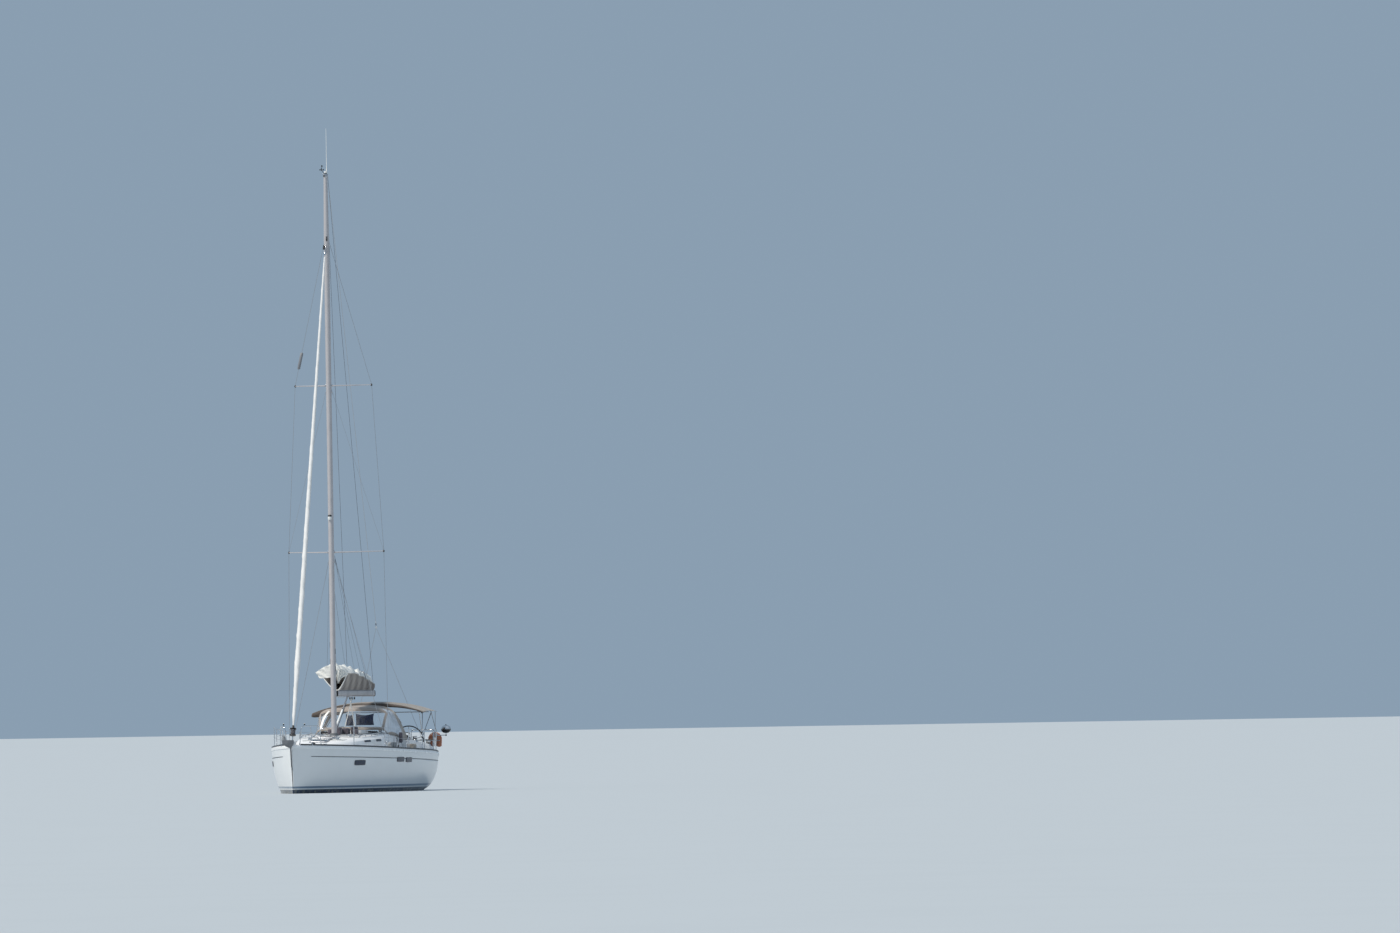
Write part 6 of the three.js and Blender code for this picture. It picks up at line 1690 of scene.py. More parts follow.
# Guard wires: share of the stanchion's height, the eye on the pulpit, and the place of the gate and its brace
WIRE_HEIGHT = 0.6
GUARD_WIRES = ((0.5, (1.166, 0.6, 1.69)), (0.97, (1.157, 0.594, 1.86)))
GATE_AFT, BRACE_AFT = 6.8, 6.5
PUSHPIT_FORE = 10.3


def make_guard_lines():
    """Stanchions in sockets with two wires through them, each ending in a screw at pulpit and pushpit."""
    posts, wires, caps = [], [], []
    for aft in STANCHIONS:
        port = guard_half(aft)
        high = deck_place(aft, port, 0.585)
        posts += tube(straight(deck_place(aft, port), high, 6), RAIL_RADIUS, 14, FORWARD) + rail_foot(aft, port)
        caps += lathe(ball_profile(0.0145, 0.9, 7), high, sides=14)
        caps += joined(spun([(17, -6), (17, 6)], deck_place(aft, port, WIRE_HEIGHT * share), sides=14) for share,
                       _ in GUARD_WIRES)
    stations = np.array((1.19, *STANCHIONS, PUSHPIT_FORE - 0.03))
    for share, eye in GUARD_WIRES:
        eye = place(*eye)
        line = deck_place(stations, guard_half(stations), WIRE_HEIGHT * share)
        line[0] = eye + (-0.042, 0.018, 0)
        posts += rod(eye, line[0], 0.006)
        posts += rod(line[-1], place(PUSHPIT_FORE, guard_half(PUSHPIT_FORE), line[-1][2]), 0.006)
        fine = np.concatenate([straight(a, b, 9)[:-1] for a, b in zip(line[:-1], line[1:])] + [line[-1:]])
        wires += tube(fine, 0.0042, 8, UPRIGHT)
        posts += screw(line[0], line[1], 220) + screw(line[-1], line[-2], 220)
    side_piece("guard_wires", "guard_lines", "steel", (wires, WIRE), (posts + caps, STEEL))
    gate, foot = deck_place(GATE_AFT, guard_half(GATE_AFT)), (BRACE_AFT, guard_half(BRACE_AFT))
    brace = rod(gate + (0, 0, 0.42), deck_place(*foot), 0.01)
    side_piece("gate_brace", None, "steel", (brace + rail_foot(*foot), STEEL))


# Pushpit's posts: places aft of the two on the side deck, and places to port of its corner and inner end
PUSHPIT_POST = 11.2
PUSHPIT_CORNER, PUSHPIT_INNER = 1.37, 0.69


def make_pushpit():
    """Two rails round each quarter on four feet, with a slatted seat across the corner."""
    def edge(aft, up):
        """A place over the edge of the deck."""
        return place(aft, guard_half(aft), up)

    def rear(port, up):
        """A place along the rail's rear."""
        return place(PUSHPIT_REAR, port, up)

    feet = ((PUSHPIT_FORE, guard_half(PUSHPIT_FORE)), (PUSHPIT_POST, guard_half(PUSHPIT_POST)), (PUSHPIT_REAR, 1.34),
            (PUSHPIT_REAR, PUSHPIT_INNER))
    on_deck = [deck_place(*foot) for foot in feet]
    upper = bent([on_deck[0], edge(PUSHPIT_FORE, PUSHPIT_UP - 0.03), edge(10.42, PUSHPIT_UP),
                  edge(PUSHPIT_POST, PUSHPIT_UP), edge(11.78, PUSHPIT_UP), rear(PUSHPIT_CORNER, PUSHPIT_UP),
                  rear(0.73, PUSHPIT_UP), rear(PUSHPIT_INNER, PUSHPIT_UP - 0.05), on_deck[3]], 0.1, 8)
    lower = bent([edge(aft, PUSHPIT_MIDDLE) for aft in (PUSHPIT_FORE, PUSHPIT_POST, 11.78)]
                 + [rear(port, PUSHPIT_MIDDLE) for port in (PUSHPIT_CORNER, PUSHPIT_INNER)], 0.12, 8)
    tubes = chain(upper, RAIL_RADIUS) + chain(lower, 0.01)
    tubes += rod(edge(PUSHPIT_POST, PUSHPIT_UP), on_deck[1], RAIL_RADIUS)
    tubes += rod(rear(PUSHPIT_CORNER, PUSHPIT_UP), on_deck[2], RAIL_RADIUS)
    side_piece("pushpit_rail", "pushpit", "steel", (tubes + joined(rail_foot(*foot) for foot in feet), STEEL))
    slats = joined(brick((11.83 - shift, 11.83 - shift + 0.048), (0.98 + 0.2 * shift, 1.33 + 0.1 * shift),
                         (PUSHPIT_MIDDLE + 0.012, PUSHPIT_MIDDLE + 0.032)) for shift in np.arange(5) * 0.062)
    side_piece("corner_seat", None, "teak", (slats, TEAK))


# Steering
WHEEL = {"aft": 10.26, "port": 1.02, "up": 1.46, "radius": 0.45}


def ring_profile(radius, thickness, sides=14):
    """A circle beside the axis, for turning into a ring."""
    angle = np.linspace(0, 2 * math.pi, sides + 1)
    return np.stack([radius + thickness * np.cos(angle), thickness * np.sin(angle)], axis=1)


def make_wheels():
    """A leather-covered rim on five dished spokes, with a knotted band on the top one, and a turned hub."""
    radius = WHEEL["radius"]
    for side, sign in SIDES.items():
        middle = place(WHEEL["aft"], sign * WHEEL["port"], WHEEL["up"])
        covered = lathe(ring_profile(radius, 0.0165), middle, FORWARD, 72)
        spokes, knot = [], []
        for turn in np.arange(5) * 2 * math.pi / 5:
            reach = np.array([0, sign * math.sin(turn), math.cos(turn)])
            spokes += tube(straight(middle + 0.035 * reach + (0.018, 0, 0), middle + radius * reach, 6),
                           np.linspace(0.011, 0.008, 6), 12, FORWARD)
            covered += lathe(ring_profile(0.0105, 0.005, 8), middle + (radius - 0.022) * reach, reach, 16)
        for shift in (-0.05, 0.0, 0.05):
            reach = np.array([0, math.sin(shift), math.cos(shift)])
            knot += lathe(ring_profile(0.0175, 0.0035, 8), middle + radius * reach,
                          (0, math.cos(shift), -math.sin(shift)), 20)
        hub = spun([(20, -48), (30, -40), (34, -10), (42, 0), (42, 20), (20, 24)], middle, FORWARD, 28)
        cap = spun([(24, 20), (22, 34), (8, 40)], middle, FORWARD, 20)
        wheel = piece("steering_wheel_" + side, "wheel_" + side, "black", (covered, LEATHER), (spokes + hub, STEEL),
                      (knot + cap, WHITE_ROPE))
        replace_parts(wheel, "wheel_" + side)


# Guard in front of each compass: half-width, place aft and height of its foot, its bend and its top
HELM_GUARD = ((0.13, 9.905, 1.2), (0.13, 9.87, 1.66), (0.11, 9.93, 1.715))


def make_helm_stations():
    """On each pedestal: a compass under a dome, two blank displays, an engine lever and a steel guard."""
    for side, sign in SIDES.items():
        port = sign * WHEEL["port"]
        top, tilt = place(9.985, port, 1.562), (-0.12, 0, 1)
        dark = spun([(85, 0), (88, 18), (76, 30)], top, tilt, 32)
        dome = lathe([(0.066 * math.cos(a), 0.03 + 0.055 * math.sin(a)) for a in np.linspace(0, math.pi / 2, 9)], top,
                     tilt, 32)
        card = spun([(0, 31), (60, 31), (50, 52), (0, 56)], top, tilt, 32)
        dark += disc(place(10.12, port, WHEEL["up"]), FORWARD, 0.05, 0.1)
        for shift in (-0.075, 0.075):
            centre = place(10.118, port + shift, 1.49)
            dark += block(centre - (0.016, 0.055, 0.05), centre + (0.002, 0.055, 0.05))
        start = [place(aft, port - half, up) for half, aft, up in HELM_GUARD]
        end = [place(aft, port + half, up) for half, aft, up in HELM_GUARD[::-1]]
        dark += rod(place(10.03, port - sign * 0.155, 1.32), place(10.06, port - sign * 0.175, 1.46), 0.008)
        dark += lathe(ball_profile(0.017, 1.3, 9), place(10.062, port - sign * 0.176, 1.47), sides=14)
        plate = disc(place(10.03, port - sign * 0.145, 1.32), PORTWARD, 0.04, 0.014)
        piece("helm_station_" + side, "boat", "black", (dark, BLACK), (dome, SMOKED), (card, BAND_WHITE),
              (chain(bent(start + end, 0.06, 7), 0.0115) + plate, STEEL))


# Deck gear
# Cleats at the bow, amidships and at the quarter: place aft, to port, and turn from fore-and-aft in degrees
CLEATS = ((1.45, 0.66, -18), (6.15, 1.8, -3), (11.55, 1.5, 11))


def cleat(aft, port, turn, length=0.24):
    """Two horns on two feet: a bar that thins and lifts towards its tips."""
    middle, turn = deck_place(aft, port), math.radians(turn)
    share = np.linspace(-1, 1, 17)
    run = np.array([math.cos(turn), math.sin(turn), 0])
    line = middle + share[:, None] * run * length / 2 + (0, 0, 1) * (0.046 + 0.012 * share[:, None] ** 2)
    bar = sweep(line, ellipse(0.012, 0.009, 12), UPRIGHT, 1 - 0.45 * share ** 2)
    return bar + joined(spun([(22, 0), (14, 12), (11, 46)], middle + run * shift * length, sides=14)
                        for shift in (-0.2, 0.2))


def make_cleats():
    """Three mooring cleats on each side."""
    side_piece("cleats", None, "steel", (joined(cleat(*spot) for spot in CLEATS), STEEL))


def make_winches():
    """Drums over the coamings' own: base, waisted drum, self-tailing jaws and a socket in the crown."""
    shape = [(80, -55), (82, -20), (74, 0), (63, 12), (56, 50), (60, 82), (70, 94), (70, 100), (58, 106), (70, 112),
             (70, 120), (50, 132), (16, 134), (14, 120)]
    turns = [(55.5, 12)] + [(62 + 4 * (k % 2), 16 + 8 * k) for k in range(7)] + [(55.5, 72)]
    drums, dark = [], []
    for aft, port, up in ((9.35, 1.425, 1.48), (10.15, 1.64, float(coaming_up(10.15)) - 0.002)):
        middle = place(aft, port, up)
        drums += spun(shape, middle, sides=36)
        dark += lathe([(0.0745, -0.006), (0.078, -0.002), (0.078, 0.006), (0.0745, 0.008), (0.0745, -0.006)], middle,
                      sides=36)
        dark += lathe(np.array(turns) / 1000, middle, sides=24)
    side_piece("winch_drums", None, "steel", (drums, STEEL), (dark, BLACK))


def roof_place(aft, port, over=0.0):
    """A place on the coachroof, or `over` it."""
    return place(aft, port, roof_top(aft, abs(port)) + over)


def roof_box(aft, port, height, edge=0.006, sink=0.01):
    """A block standing on the coachroof."""
    low = float(roof_top(sum(aft) / 2, abs(sum(port) / 2)))
    return brick(aft, port, (low - sink, low + height), edge)


# Clutches on each side of the roof by place to port, and handrails by place aft
CLUTCHES = (0.62, 0.675, 0.73, 0.785, 0.84)
HANDRAIL = (4.7, 6.8)


def make_roof_gear():
    """Clutches, organisers and the lines from the mast to them on both sides, with handrails outside them."""
    dark, levers, lines = [], [], []
    for index, port in enumerate(CLUTCHES):
        dark += roof_box((6.93, 7.09), (port - 0.022, port + 0.022), 0.075, 0.012)
        levers += rod(roof_place(7.06, port, 0.07), roof_place(6.95, port, 0.09), 0.009, 10)
        turn_at = roof_place(5.85, 0.5 + 0.045 * index, 0.035)
        dark += disc(turn_at, UPRIGHT, 0.022, 0.03)
        start = roof_place(5.42 - 0.02 * index, 0.13 + 0.028 * index, 0.045)
        line = np.vstack([straight(start, turn_at, 8)[:-1], straight(turn_at, roof_place(7.2, port, 0.035), 12)])
        line[:, 2] = np.maximum(line[:, 2], roof_top(STEM_X - line[:, 0], np.abs(line[:, 1])) + 0.012)
        lines += tube(line, 0.0055, 8, UPRIGHT)
    white = len(lines) * 3 // 5
    side_piece("roof_lines", None, "sailcloth", (lines[:white], WHITE_ROPE), (lines[white:], DARK_ROPE))
    side_piece("clutches", None, "black", (dark, BLACK), (levers, RUBBER),
               (roof_box((5.79, 5.91), (0.47, 0.71), 0.024, 0.008), ALLOY))
    stations = np.linspace(*HANDRAIL, 60)
    share = (stations - HANDRAIL[0]) / 2.1
    lift = 0.055 * np.clip(np.minimum(share, 1 - share) * 22, 0, 1) ** 0.6
    rails = tube(roof_place(stations, roof_half(stations) - 0.1, lift + 0.004), 0.0125, 12, PORTWARD)
    for aft in (5.22, 5.75, 6.28):
        port = float(roof_half(aft)) - 0.1
        rails += tube(straight(roof_place(aft, port), roof_place(aft, port, 0.056), 3), 0.011, 12, FORWARD)
    side_piece("roof_handrails", None, "steel", (rails, STEEL))
    drum = spun([(66, 0), (68, 30), (52, 42), (47, 80), (58, 100), (58, 115), (40, 126), (14, 128), (12, 115)],
                roof_place(7.62, 0.8), sides=32)
    side_piece("roof_winches", None, "steel", (drum, STEEL))


# Genoa tracks: place to port, first and last place aft, and the middle of the car
TRACK = {"port": 1.5, "aft": (6.0, 7.95), "car": 6.97}


def make_vents_and_tracks():
    """Round vents ahead of the hood, genoa tracks on the side decks with their cars, and filler caps."""
    vent = [(70, 0), (72, 12), (45, 20), (43, 45), (70, 55), (74, 65), (60, 80), (30, 86), (0, 87)]
    vents = joined(spun(vent, roof_place(*spot), sides=32) for spot in ((3.95, 0.42), (4.9, 0.55)))
    side_piece("roof_vents", None, "steel", (vents, STEEL))
    port = TRACK["port"]
    stations = np.linspace(*TRACK["aft"], 30)
    dark = sweep(deck_place(stations, np.full(30, port), 0.012), rounded(0.03, 0.026, 0.004), UPRIGHT)
    for aft, level, half, low, high in (((6.9, 7.04), TRACK["car"], 0.026, 0.02, 0.055),
                                        ((5.96, 6.01), 6, 0.02, -0.002, 0.035),
                                        ((7.94, 7.99), 8, 0.02, -0.002, 0.035)):
        deck = float(deck_top(level, port))
        dark += brick(aft, (port - half, port + half), (deck + low, deck + high))
    dark += disc(deck_place(TRACK["car"], port, 0.085), PORTWARD, 0.042, 0.03)
    caps = joined(spun([(42, 0), (40, 6), (30, 8)], deck_place(*spot), sides=24)
                  for spot in ((9.15, 1.78), (9.45, 1.76)))
    side_piece("genoa_tracks", None, "black", (dark, BLACK), (caps, STEEL))


def deck_panel(first, last, inner, outer, surface_up, over=0.004, rows=40, columns=14):
    """A thin non-slip panel laid on the deck or roof between two lines, with its corners rounded off."""
    along = np.linspace(0, 1, rows)[:, None]
    across = np.linspace(0, 1, columns)[None, :]
    aft = first + (last - first) * along
    shrink = 0.5 - 0.5 * np.clip(1 - (1 - np.clip(np.minimum(along, 1 - along) / 0.03, 0, 1)) ** 2, 0, 1) ** 0.5
    low, high = inner(aft), outer(aft)
    inset = shrink * 0.08
    port = low + inset + (high - low - 2 * inset) * across
    return shell(place(aft, port, surface_up(aft, port) + over), 0.006)


def constant_line(value):
    """A line at the same place to port all along."""
    return lambda aft: value + 0 * aft


def side_deck_inner(aft):
    """The side deck's inner edge: along the coachroof's foot, then outside the cockpit's coaming."""
    return np.maximum(roof_foot(np.minimum(aft, 8.3)) + 0.05, np.where(aft > 8.35, 1.55, 0))


def make_nonslip():
    """Grey studded panels on the foredeck, the side decks and the roof, between smooth margins."""
    panels = deck_panel(1.45, 2.55, constant_line(0.04), lambda aft: sheer_half(aft) - 0.2, deck_top)
    panels += joined(deck_panel(first, last, side_deck_inner, lambda aft: sheer_half(aft) - 0.13, deck_top) for first,
                     last in ((2.75, 4.72), (4.8, 6.75), (6.83, 8.55), (8.63, 9.8)))
    panels += deck_panel(4.8, 5.02, constant_line(0.05), lambda aft: roof_half(aft) - 0.16, roof_top)
    panels += deck_panel(3.8, 4.08, constant_line(0.04), lambda aft: roof_half(aft) - 0.14, roof_top)
    panels += deck_panel(5.95, 6.78, constant_line(0.05), constant_line(0.44), roof_top)
    side_piece("nonslip_panels", None, "deck", (panels, NONSLIP))


# Square hatches in the roof: place aft of the front edge, and half the length of a side
HATCHES = {"foredeck_hatch": 3.2, "saloon_hatch": 4.15}
HATCH_HALF = 0.25


def make_hatches():
    """Acrylic lids in alloy frames with handles, over the frame's own lids."""
    for name, first in HATCHES.items():
        def ring(inset, over):
            """A closed line round the hatch, `inset` from its edge and `over` the roof."""
            line = rounded(2 * (HATCH_HALF - inset), 2 * (HATCH_HALF - inset), 0.05, 6) + (first + HATCH_HALF, 0)
            line = np.vstack([line, line[:1]])
            return place(line[:, 0], line[:, 1], roof_top(line[:, 0], np.abs(line[:, 1])) + over)

        rim, pane, base = (closed(np.stack([ring(*row) for row in rows]))
                           for rows in (((0.0, 0.008), (0.0, 0.034), (0.006, 0.041), (0.032, 0.041), (0.034, 0.036)),
                                        ((0.034, 0.03), (0.034, 0.039), (0.04, 0.0405)),
                                        ((-0.022, -0.004), (-0.022, 0.003), (0.02, 0.004))))
        handles = joined(disc(place(first + 0.09, port, float(roof_top(first + 0.09, 0.14)) + 0.043), UPRIGHT, 0.022,
                              0.01) for port in (-0.14, 0.14))
        lid = piece(name + "_lid", name, "smoked", (rim, ALLOY), (pane, SMOKED), (handles, BLACK))
        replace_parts(lid, name)
        piece(name + "_base", "boat", "alloy", (base, ALLOY))


def make_bow_gear():
    """Chain from the anchor's shank to its locker, a dark strip down the stem with its eye, and a fender."""
    links = []
    loop = np.linspace(0, 2 * math.pi, 17)
    for index, aft in enumerate(np.arange(0.1, 0.62, 0.026)):
        flat, tall = (0.011, 0.0) if index % 2 else (0.0, 0.011)
        ring = place(aft, 0, 1.478 - 0.03 * (aft - 0.1) / 0.5)
        ring = ring + np.stack([0.019 * np.cos(loop), flat * np.sin(loop), tall * np.sin(loop)], axis=1)
        links += tube(ring, 0.0042, 6, UPRIGHT if index % 2 else PORTWARD)
    piece("anchor_chain", "boat", "steel", (links, GALVANISED))
    share = np.linspace(0.0, 1.0, 24)
    strip = place(-0.008 + 0.1 * share ** 1.2, 0, 1.36 - 0.66 * share)
    stem = sweep(strip, rounded(0.046, 0.02, 0.006), PORTWARD)
    eye = lathe(ring_profile(0.026, 0.007, 8), place(0.085, 0, 0.735), PORTWARD, 24)
    piece("stem_strip", "boat", "dark_trim", (stem, DARK_TRIM), (eye, STEEL))
    fender = spun([(0, -140), (30, -135), (55, -105), (62, -60), (62, 60), (55, 100), (30, 130), (14, 150),
                   (12, 165)], place(0.98, -0.46, 1.555), sides=28)
    line = rod(place(0.98, -0.46, 1.71), place(0.98, -0.505, 1.955), 0.005, 8)
    piece("bow_fender", "boat", "dark_trim", (fender, FENDER_GREY), (line, WHITE_ROPE))


def roof_side(aft, share):
    """The coachroof's port side: straight from its foot at the deck (0) to its upper edge (1)."""
    foot = place(aft, roof_foot(aft), sheer_up(aft) - 0.005)
    edge = roof_half(aft)
    top = place(aft, 1.03 * edge, roof_top(aft, edge) - 0.22 * (roof_up(aft) - sheer_up(aft) + 0.005))
    share = np.asarray(share, float)[..., None]
    return foot + (top - foot) * share


# Slim windows in the coachroof's sides: (first, last) place aft and (low, high) share of the side's height
ROOF_WINDOWS = [((4.76, 5.2), (0.8, 0.96)), ((5.72, 6.16), (0.8, 0.96))]


def make_roof_windows():
    """Dark panes with round ends, set a little proud of the coachroof's sides, each in a thin frame."""
    panes, rims = [], []
    for aft, rise in ROOF_WINDOWS:
        for grow, lift, shapes in ((0.0, 0.006, panes), (0.01, 0.003, rims)):
            u = np.linspace(-1, 1, 29)[None, :]
            v = np.linspace(-1, 1, 11)[:, None]
            pinch = 1 - 0.05 * np.abs(v) ** 3
            x = (aft[0] + aft[1]) / 2 + u * pinch * ((aft[1] - aft[0]) / 2 + grow)
            share = (rise[0] + rise[1]) / 2 + v * (1 - 0.1 * np.abs(u) ** 8) * ((rise[1] - rise[0]) / 2 + 3 * grow)
            grid = roof_side(*np.broadcast_arrays(x, share)) + (0, lift * 0.9, lift * 0.4)
            shapes += shell(grid, 0.012)
    side_piece("roof_windows", None, "smoked", (panes, PORTLIGHT), (rims, DARK_TRIM))


def soft_bag(aft, port, low, size, waves=5.0):
    """A filled canvas bag: a swelling, rounded box whose sides and top are softly dented."""
    length, width, height = size
    along = np.linspace(0, 2 * math.pi, 61)[None, :]
    rise = np.linspace(0, 1, 25)[:, None]
    roundness = np.clip(1 - (np.abs(2 * rise - 1)) ** 5, 0, 1) ** 0.4
    swell = (0.55 + 0.45 * roundness) * (1 + 0.035 * np.sin(waves * along + 6 * rise))
    x = length / 2 * np.sign(np.cos(along)) * np.abs(np.cos(along)) ** 0.55 * swell
    y = width / 2 * np.sign(np.sin(along)) * np.abs(np.sin(along)) ** 0.55 * swell
    grid = place(aft + x, port + y, low + rise * height + 0.008 * np.sin(3 * along) * rise * roundness)
    return closed(grid)


# Bags for the halyards' tails: (aft, port) and (length, width, height)
HALYARD_BAGS = (((6.12, -0.1), (0.26, 0.2, 0.25)), ((6.4, 0.06), (0.28, 0.24, 0.2)),
                ((6.62, 0.27), (0.26, 0.2, 0.23)), ((6.3, -0.36), (0.26, 0.18, 0.18)),
                ((6.35, 0.36), (0.22, 0.16, 0.16)))


def make_deck_items():
    """Bags aft of the mast, a strapped fender by the shrouds, a folded cover, a pouch and low vents."""
    bags = joined(soft_bag(aft, port, float(roof_top(aft, abs(port))) - 0.008, size) for (aft, port),
                  size in HALYARD_BAGS)
    piece("halyard_bags", "boat", "canvas", (bags, BAG_DARK))
    box = soft_bag(5.6, 1.645, float(deck_top(5.6, 1.645)) + 0.002, (0.58, 0.17, 0.18), 3.0)
    deck = deck_top(5.6, 1.7)
    straps = joined(rod(place(aft, 1.735, deck + 0.02), place(aft, 1.752, deck + 0.31), 0.006, 8)
                    for aft in (5.44, 5.76))
    piece("side_deck_box", "boat", "canvas", (box, FENDER_GREY), (straps, BLACK))
    cover = soft_bag(8.0, 1.66, float(deck_top(8.0, 1.66)) + 0.002, (0.4, 0.22, 0.17))
    piece("folded_cover", "boat", "canvas", (cover, CANVAS))
    piece("hanging_pouch", "boat", "canvas", (soft_bag(8.02, 1.325, 1.42, (0.17, 0.1, 0.31)), BAG_DARK))
    vents = joined(spun([(62, -10), (64, 12), (45, 26), (20, 32), (0, 33)], roof_place(*spot), sides=28)
                   for spot in ((2.9, -0.05), (3.9, 0.22)))
    piece("roof_low_vents", "boat", "black", (vents, BLACK))


def make_groove_shade_line():
    """A near-black strip laid in the groove along each topside, as painted shade in the groove."""
    aft = np.linspace(GROOVE["aft"][0] + 0.2, GROOVE["aft"][1] - 0.2, 140)
    up = groove_up(aft)
    path = hull_side(aft, rise_at(aft, up)) + (0, -0.003, 0)
    # Painted shade: the strip darkens the groove where its shadow falls.
    strip = sweep(path, rounded(0.006, 0.016, 0.002, 2), UPRIGHT)
    side_piece("groove_shade_line", None, "dark_trim", (strip, DARK_TRIM))


SOLE_UP = 0.7205


def make_cockpit_gear():
    """Handrail on the table, drain grates, and teak laid on the helm seats and the sole."""
    rail = bent([place(aft, port, up) for aft, port, up in ((8.74, -0.11, 1.395), (8.715, -0.11, 1.43),
                                                            (8.715, 0.11, 1.43), (8.74, 0.11, 1.395))], 0.02, 5)
    feet = joined(rod(place(8.79, port, 1.365), place(8.74, port, 1.395), 0.01) for port in (-0.11, 0.11))
    piece("table_handrail", "boat", "steel", (chain(rail, 0.0105) + feet, STEEL))
    grates = joined(brick((11.2 + shift, 11.209 + shift), (port - 0.06, port + 0.06), (0.721, 0.727), 0.002)
                    for port in (-0.4, 0.4) for shift in np.arange(7) * 0.016)
    piece("drain_grates", "boat", "steel", (grates, STEEL))
    side_piece("helm_seat_teak", None, "teak", (brick((11.27, 11.87), (0.5, 1.265), (1.13, 1.146), 0.01), TEAK))
    sole = joined(brick(aft, port, (SOLE_UP, 0.73), 0.004) for aft,
                  port in (((8.72, 9.9), (0.16, 0.62)), ((9.95, 11.2), (0.02, 0.8))))
    side_piece("sole_teak", None, "teak", (sole, TEAK))


# Quarter: horseshoe lifebuoy and kettle grill
BUOY = {"aft": 12.003, "port": 1.4, "up": 1.51, "low": 1.28, "radius": 0.128, "tube": 0.055}


def make_lifebuoy():
    """A padded horseshoe, thinning to round ends, with white reflecting bands and a holder."""
    angle = np.linspace(0, math.pi, 41)
    middle, radius = BUOY["port"], BUOY["radius"]
    arc = np.stack([middle + radius * np.cos(angle), BUOY["up"] + radius * np.sin(angle)], axis=1)
    leg_low = BUOY["low"] - 0.004
    share = np.linspace(0, 1, 14)[:-1]
    right = np.stack([middle + radius - 0.012 * (1 - share), leg_low + share * (BUOY["up"] - leg_low)], axis=1)
    left = (right * (-1, 1) + (2 * middle, 0))[::-1]
    line = np.vstack([right, arc, left])
    along = np.linspace(0, 1, len(line))
    ends = np.clip(np.minimum(along, 1 - along) / 0.035, 0, 1)
    sizes = 0.35 + 0.65 * np.sqrt(1 - (1 - ends) ** 2) + 0.02 * np.sin(along * 60) * (ends == 1)
    path = place(BUOY["aft"], line[:, 0], line[:, 1])
    cover = sweep(path, ellipse(0.082, BUOY["tube"] * 0.96, 28), FORWARD, sizes)
    bands = []
    for middle_share in (0.4, 0.6):
        near = np.abs(along - middle_share) < 0.02
        bands += sweep(path[near], ellipse(0.084, BUOY["tube"], 28), FORWARD, sizes[near].max())
    holder = brick((11.938, 11.955), (middle - 0.17, middle + 0.17), (1.455, 1.475), 0.003)
    holder += rod(place(11.93, middle, 1.3), place(11.945, middle, 1.76), 0.008)
    buoy = piece("horseshoe_lifebuoy", "boat", "orange", (cover, ORANGE), (bands, BAND_WHITE), (holder, STEEL))
    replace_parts(buoy, "lifebuoy")


GRILL = (11.85, 1.775, 1.8)


def make_grill():
    """Two spun bowls with a rolled seam, handle and vents, on a clamp to the quarter rail: the lid in polished steel,
    and the lower bowl black as a painted reflection of dark surroundings in its steel.
    """
    centre = place(*GRILL)
    bowl = spun([(0, -118), (44, -116), (76, -106), (108, -85), (131, -56), (146, -24), (149, -6), (140, -2)], centre,
                sides=48)
    lid = spun([(146, 2), (150, 6), (146, 28), (131, 60), (106, 89), (74, 110), (38, 121), (0, 124)], centre, sides=48)
    lid += lathe(ring_profile(0.148, 0.0045, 8), centre, sides=48)
    bowl += spun([(8, 118), (8, 130), (20, 134), (20, 144)], centre, sides=20)
    bowl += disc(centre - (0, 0, 0.18), UPRIGHT, 0.024, 0.05)
    post = GRILL[0] - 0.08
    arm = rod(centre - (0, 0, 0.19), centre - (0, 0, 0.1), 0.014)
    arm += rod(centre - (0, 0, 0.18), place(post, 1.505, GRILL[2] - 0.18), 0.012)
    arm += rod(place(post, 1.497, 1.462), place(post, 1.497, 1.8), 0.011)
    # Painted reflection: the lower bowl, steel on the real grill, is black for the dark it mirrors; its knob and foot
    # are black too.
    grill = piece("kettle_grill", "boat", "steel", (lid + arm, STEEL), (bowl, BLACK))
    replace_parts(grill, "rail_grill")


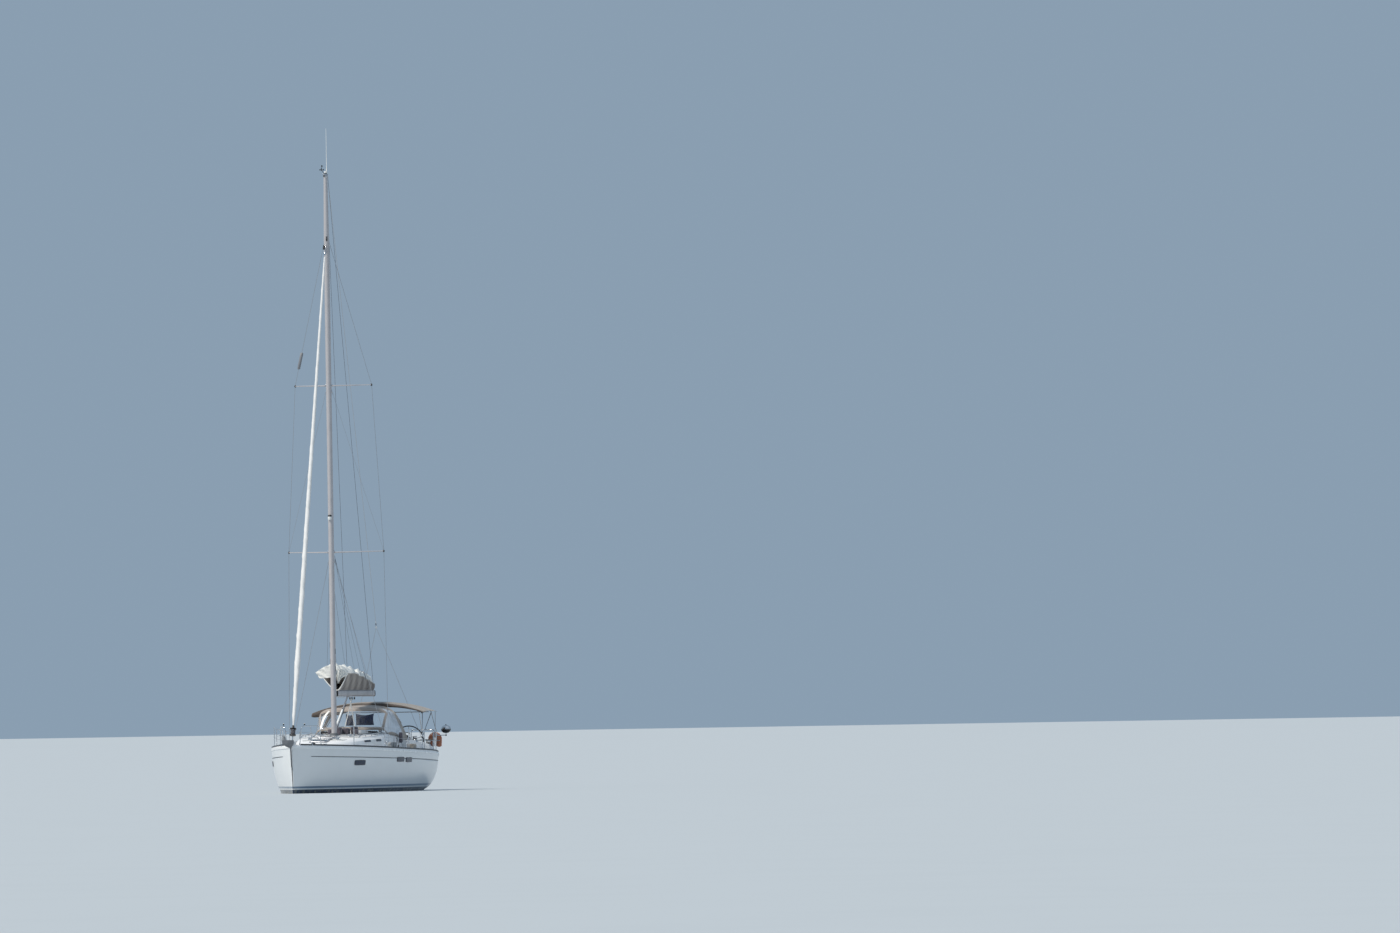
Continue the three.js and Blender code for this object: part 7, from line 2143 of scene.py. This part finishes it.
# Floor, sky and light: the light comes soft from high on the left, ahead of the boat
def make_stage():
    """A wide pale floor as the stage."""
    floor_half = 6000.0
    corners = np.array([[(-1, -1, 0), (1, -1, 0)], [(-1, 1, 0), (1, 1, 0)]], float) * floor_half
    finish = Finish("Pale floor", roughness=0.75)
    aged = finish.group(WEATHERING, Colour=rgb(0.5, 0.54, 0.57), Stain=rgb(0.47, 0.51, 0.54), Cloud=0.3, Runs=0.0,
                        Size=3.0)
    finish.feed("Base Color", aged["Colour"])
    floor = piece("floor", None, None, (flipped(surface(corners)), finish.material), outward=False)


def make_light():
    """A pale sky, the sun as the key light, and a wide soft fill from the other side."""
    world = bpy.data.worlds.new("Studio")
    bpy.context.scene.world = world
    world.use_nodes = True
    background = world.node_tree.nodes["Background"]
    background.inputs["Color"].default_value = rgb(0.58, 0.78, 1.0)
    background.inputs["Strength"].default_value = 0.44
    bpy.context.scene.view_settings.view_transform = "Standard"
    for name, turn, tilt, strength, size, colour in (("key", 14 - 54, 48, 3.35, 14, (1.0, 0.94, 0.85)),
                                                     ("fill", 14 + 55, 60, 0.18, 60, (0.9, 0.94, 1.0))):
        sun = bpy.data.lights.new(name, "SUN")
        sun.energy, sun.angle, sun.color = strength, math.radians(size), colour
        thing = bpy.data.objects.new(name, sun)
        bpy.context.scene.collection.objects.link(thing)
        azimuth, height = math.radians(turn), math.radians(tilt)
        towards = Vector((math.cos(azimuth) * math.cos(height), math.sin(azimuth) * math.cos(height),
                          math.sin(height)))
        thing.rotation_euler = towards.to_track_quat("Z", "Y").to_euler()


# The boat, part by part
make_hull()
make_well()
make_hull_windows()
make_edge_rails()
finish_nodes()
make_mast()
make_mast_gear()
make_spreaders()
make_shrouds()
make_backstay()
make_genoa()
make_boom()
make_mainsheet()
make_sail_bag()
make_stowed_sail()
make_sail_flaps()
make_running_lines()
make_sprayhood()
make_hung_cloths()
make_bimini()
make_bimini_frame()
make_pulpit()
make_guard_lines()
make_pushpit()
make_wheels()
make_helm_stations()
make_cleats()
make_winches()
make_roof_gear()
make_vents_and_tracks()
make_nonslip()
make_hatches()
make_bow_gear()
make_roof_windows()
make_deck_items()
make_groove_shade_line()
make_cockpit_gear()
make_lifebuoy()
make_grill()
make_stage()
make_light()
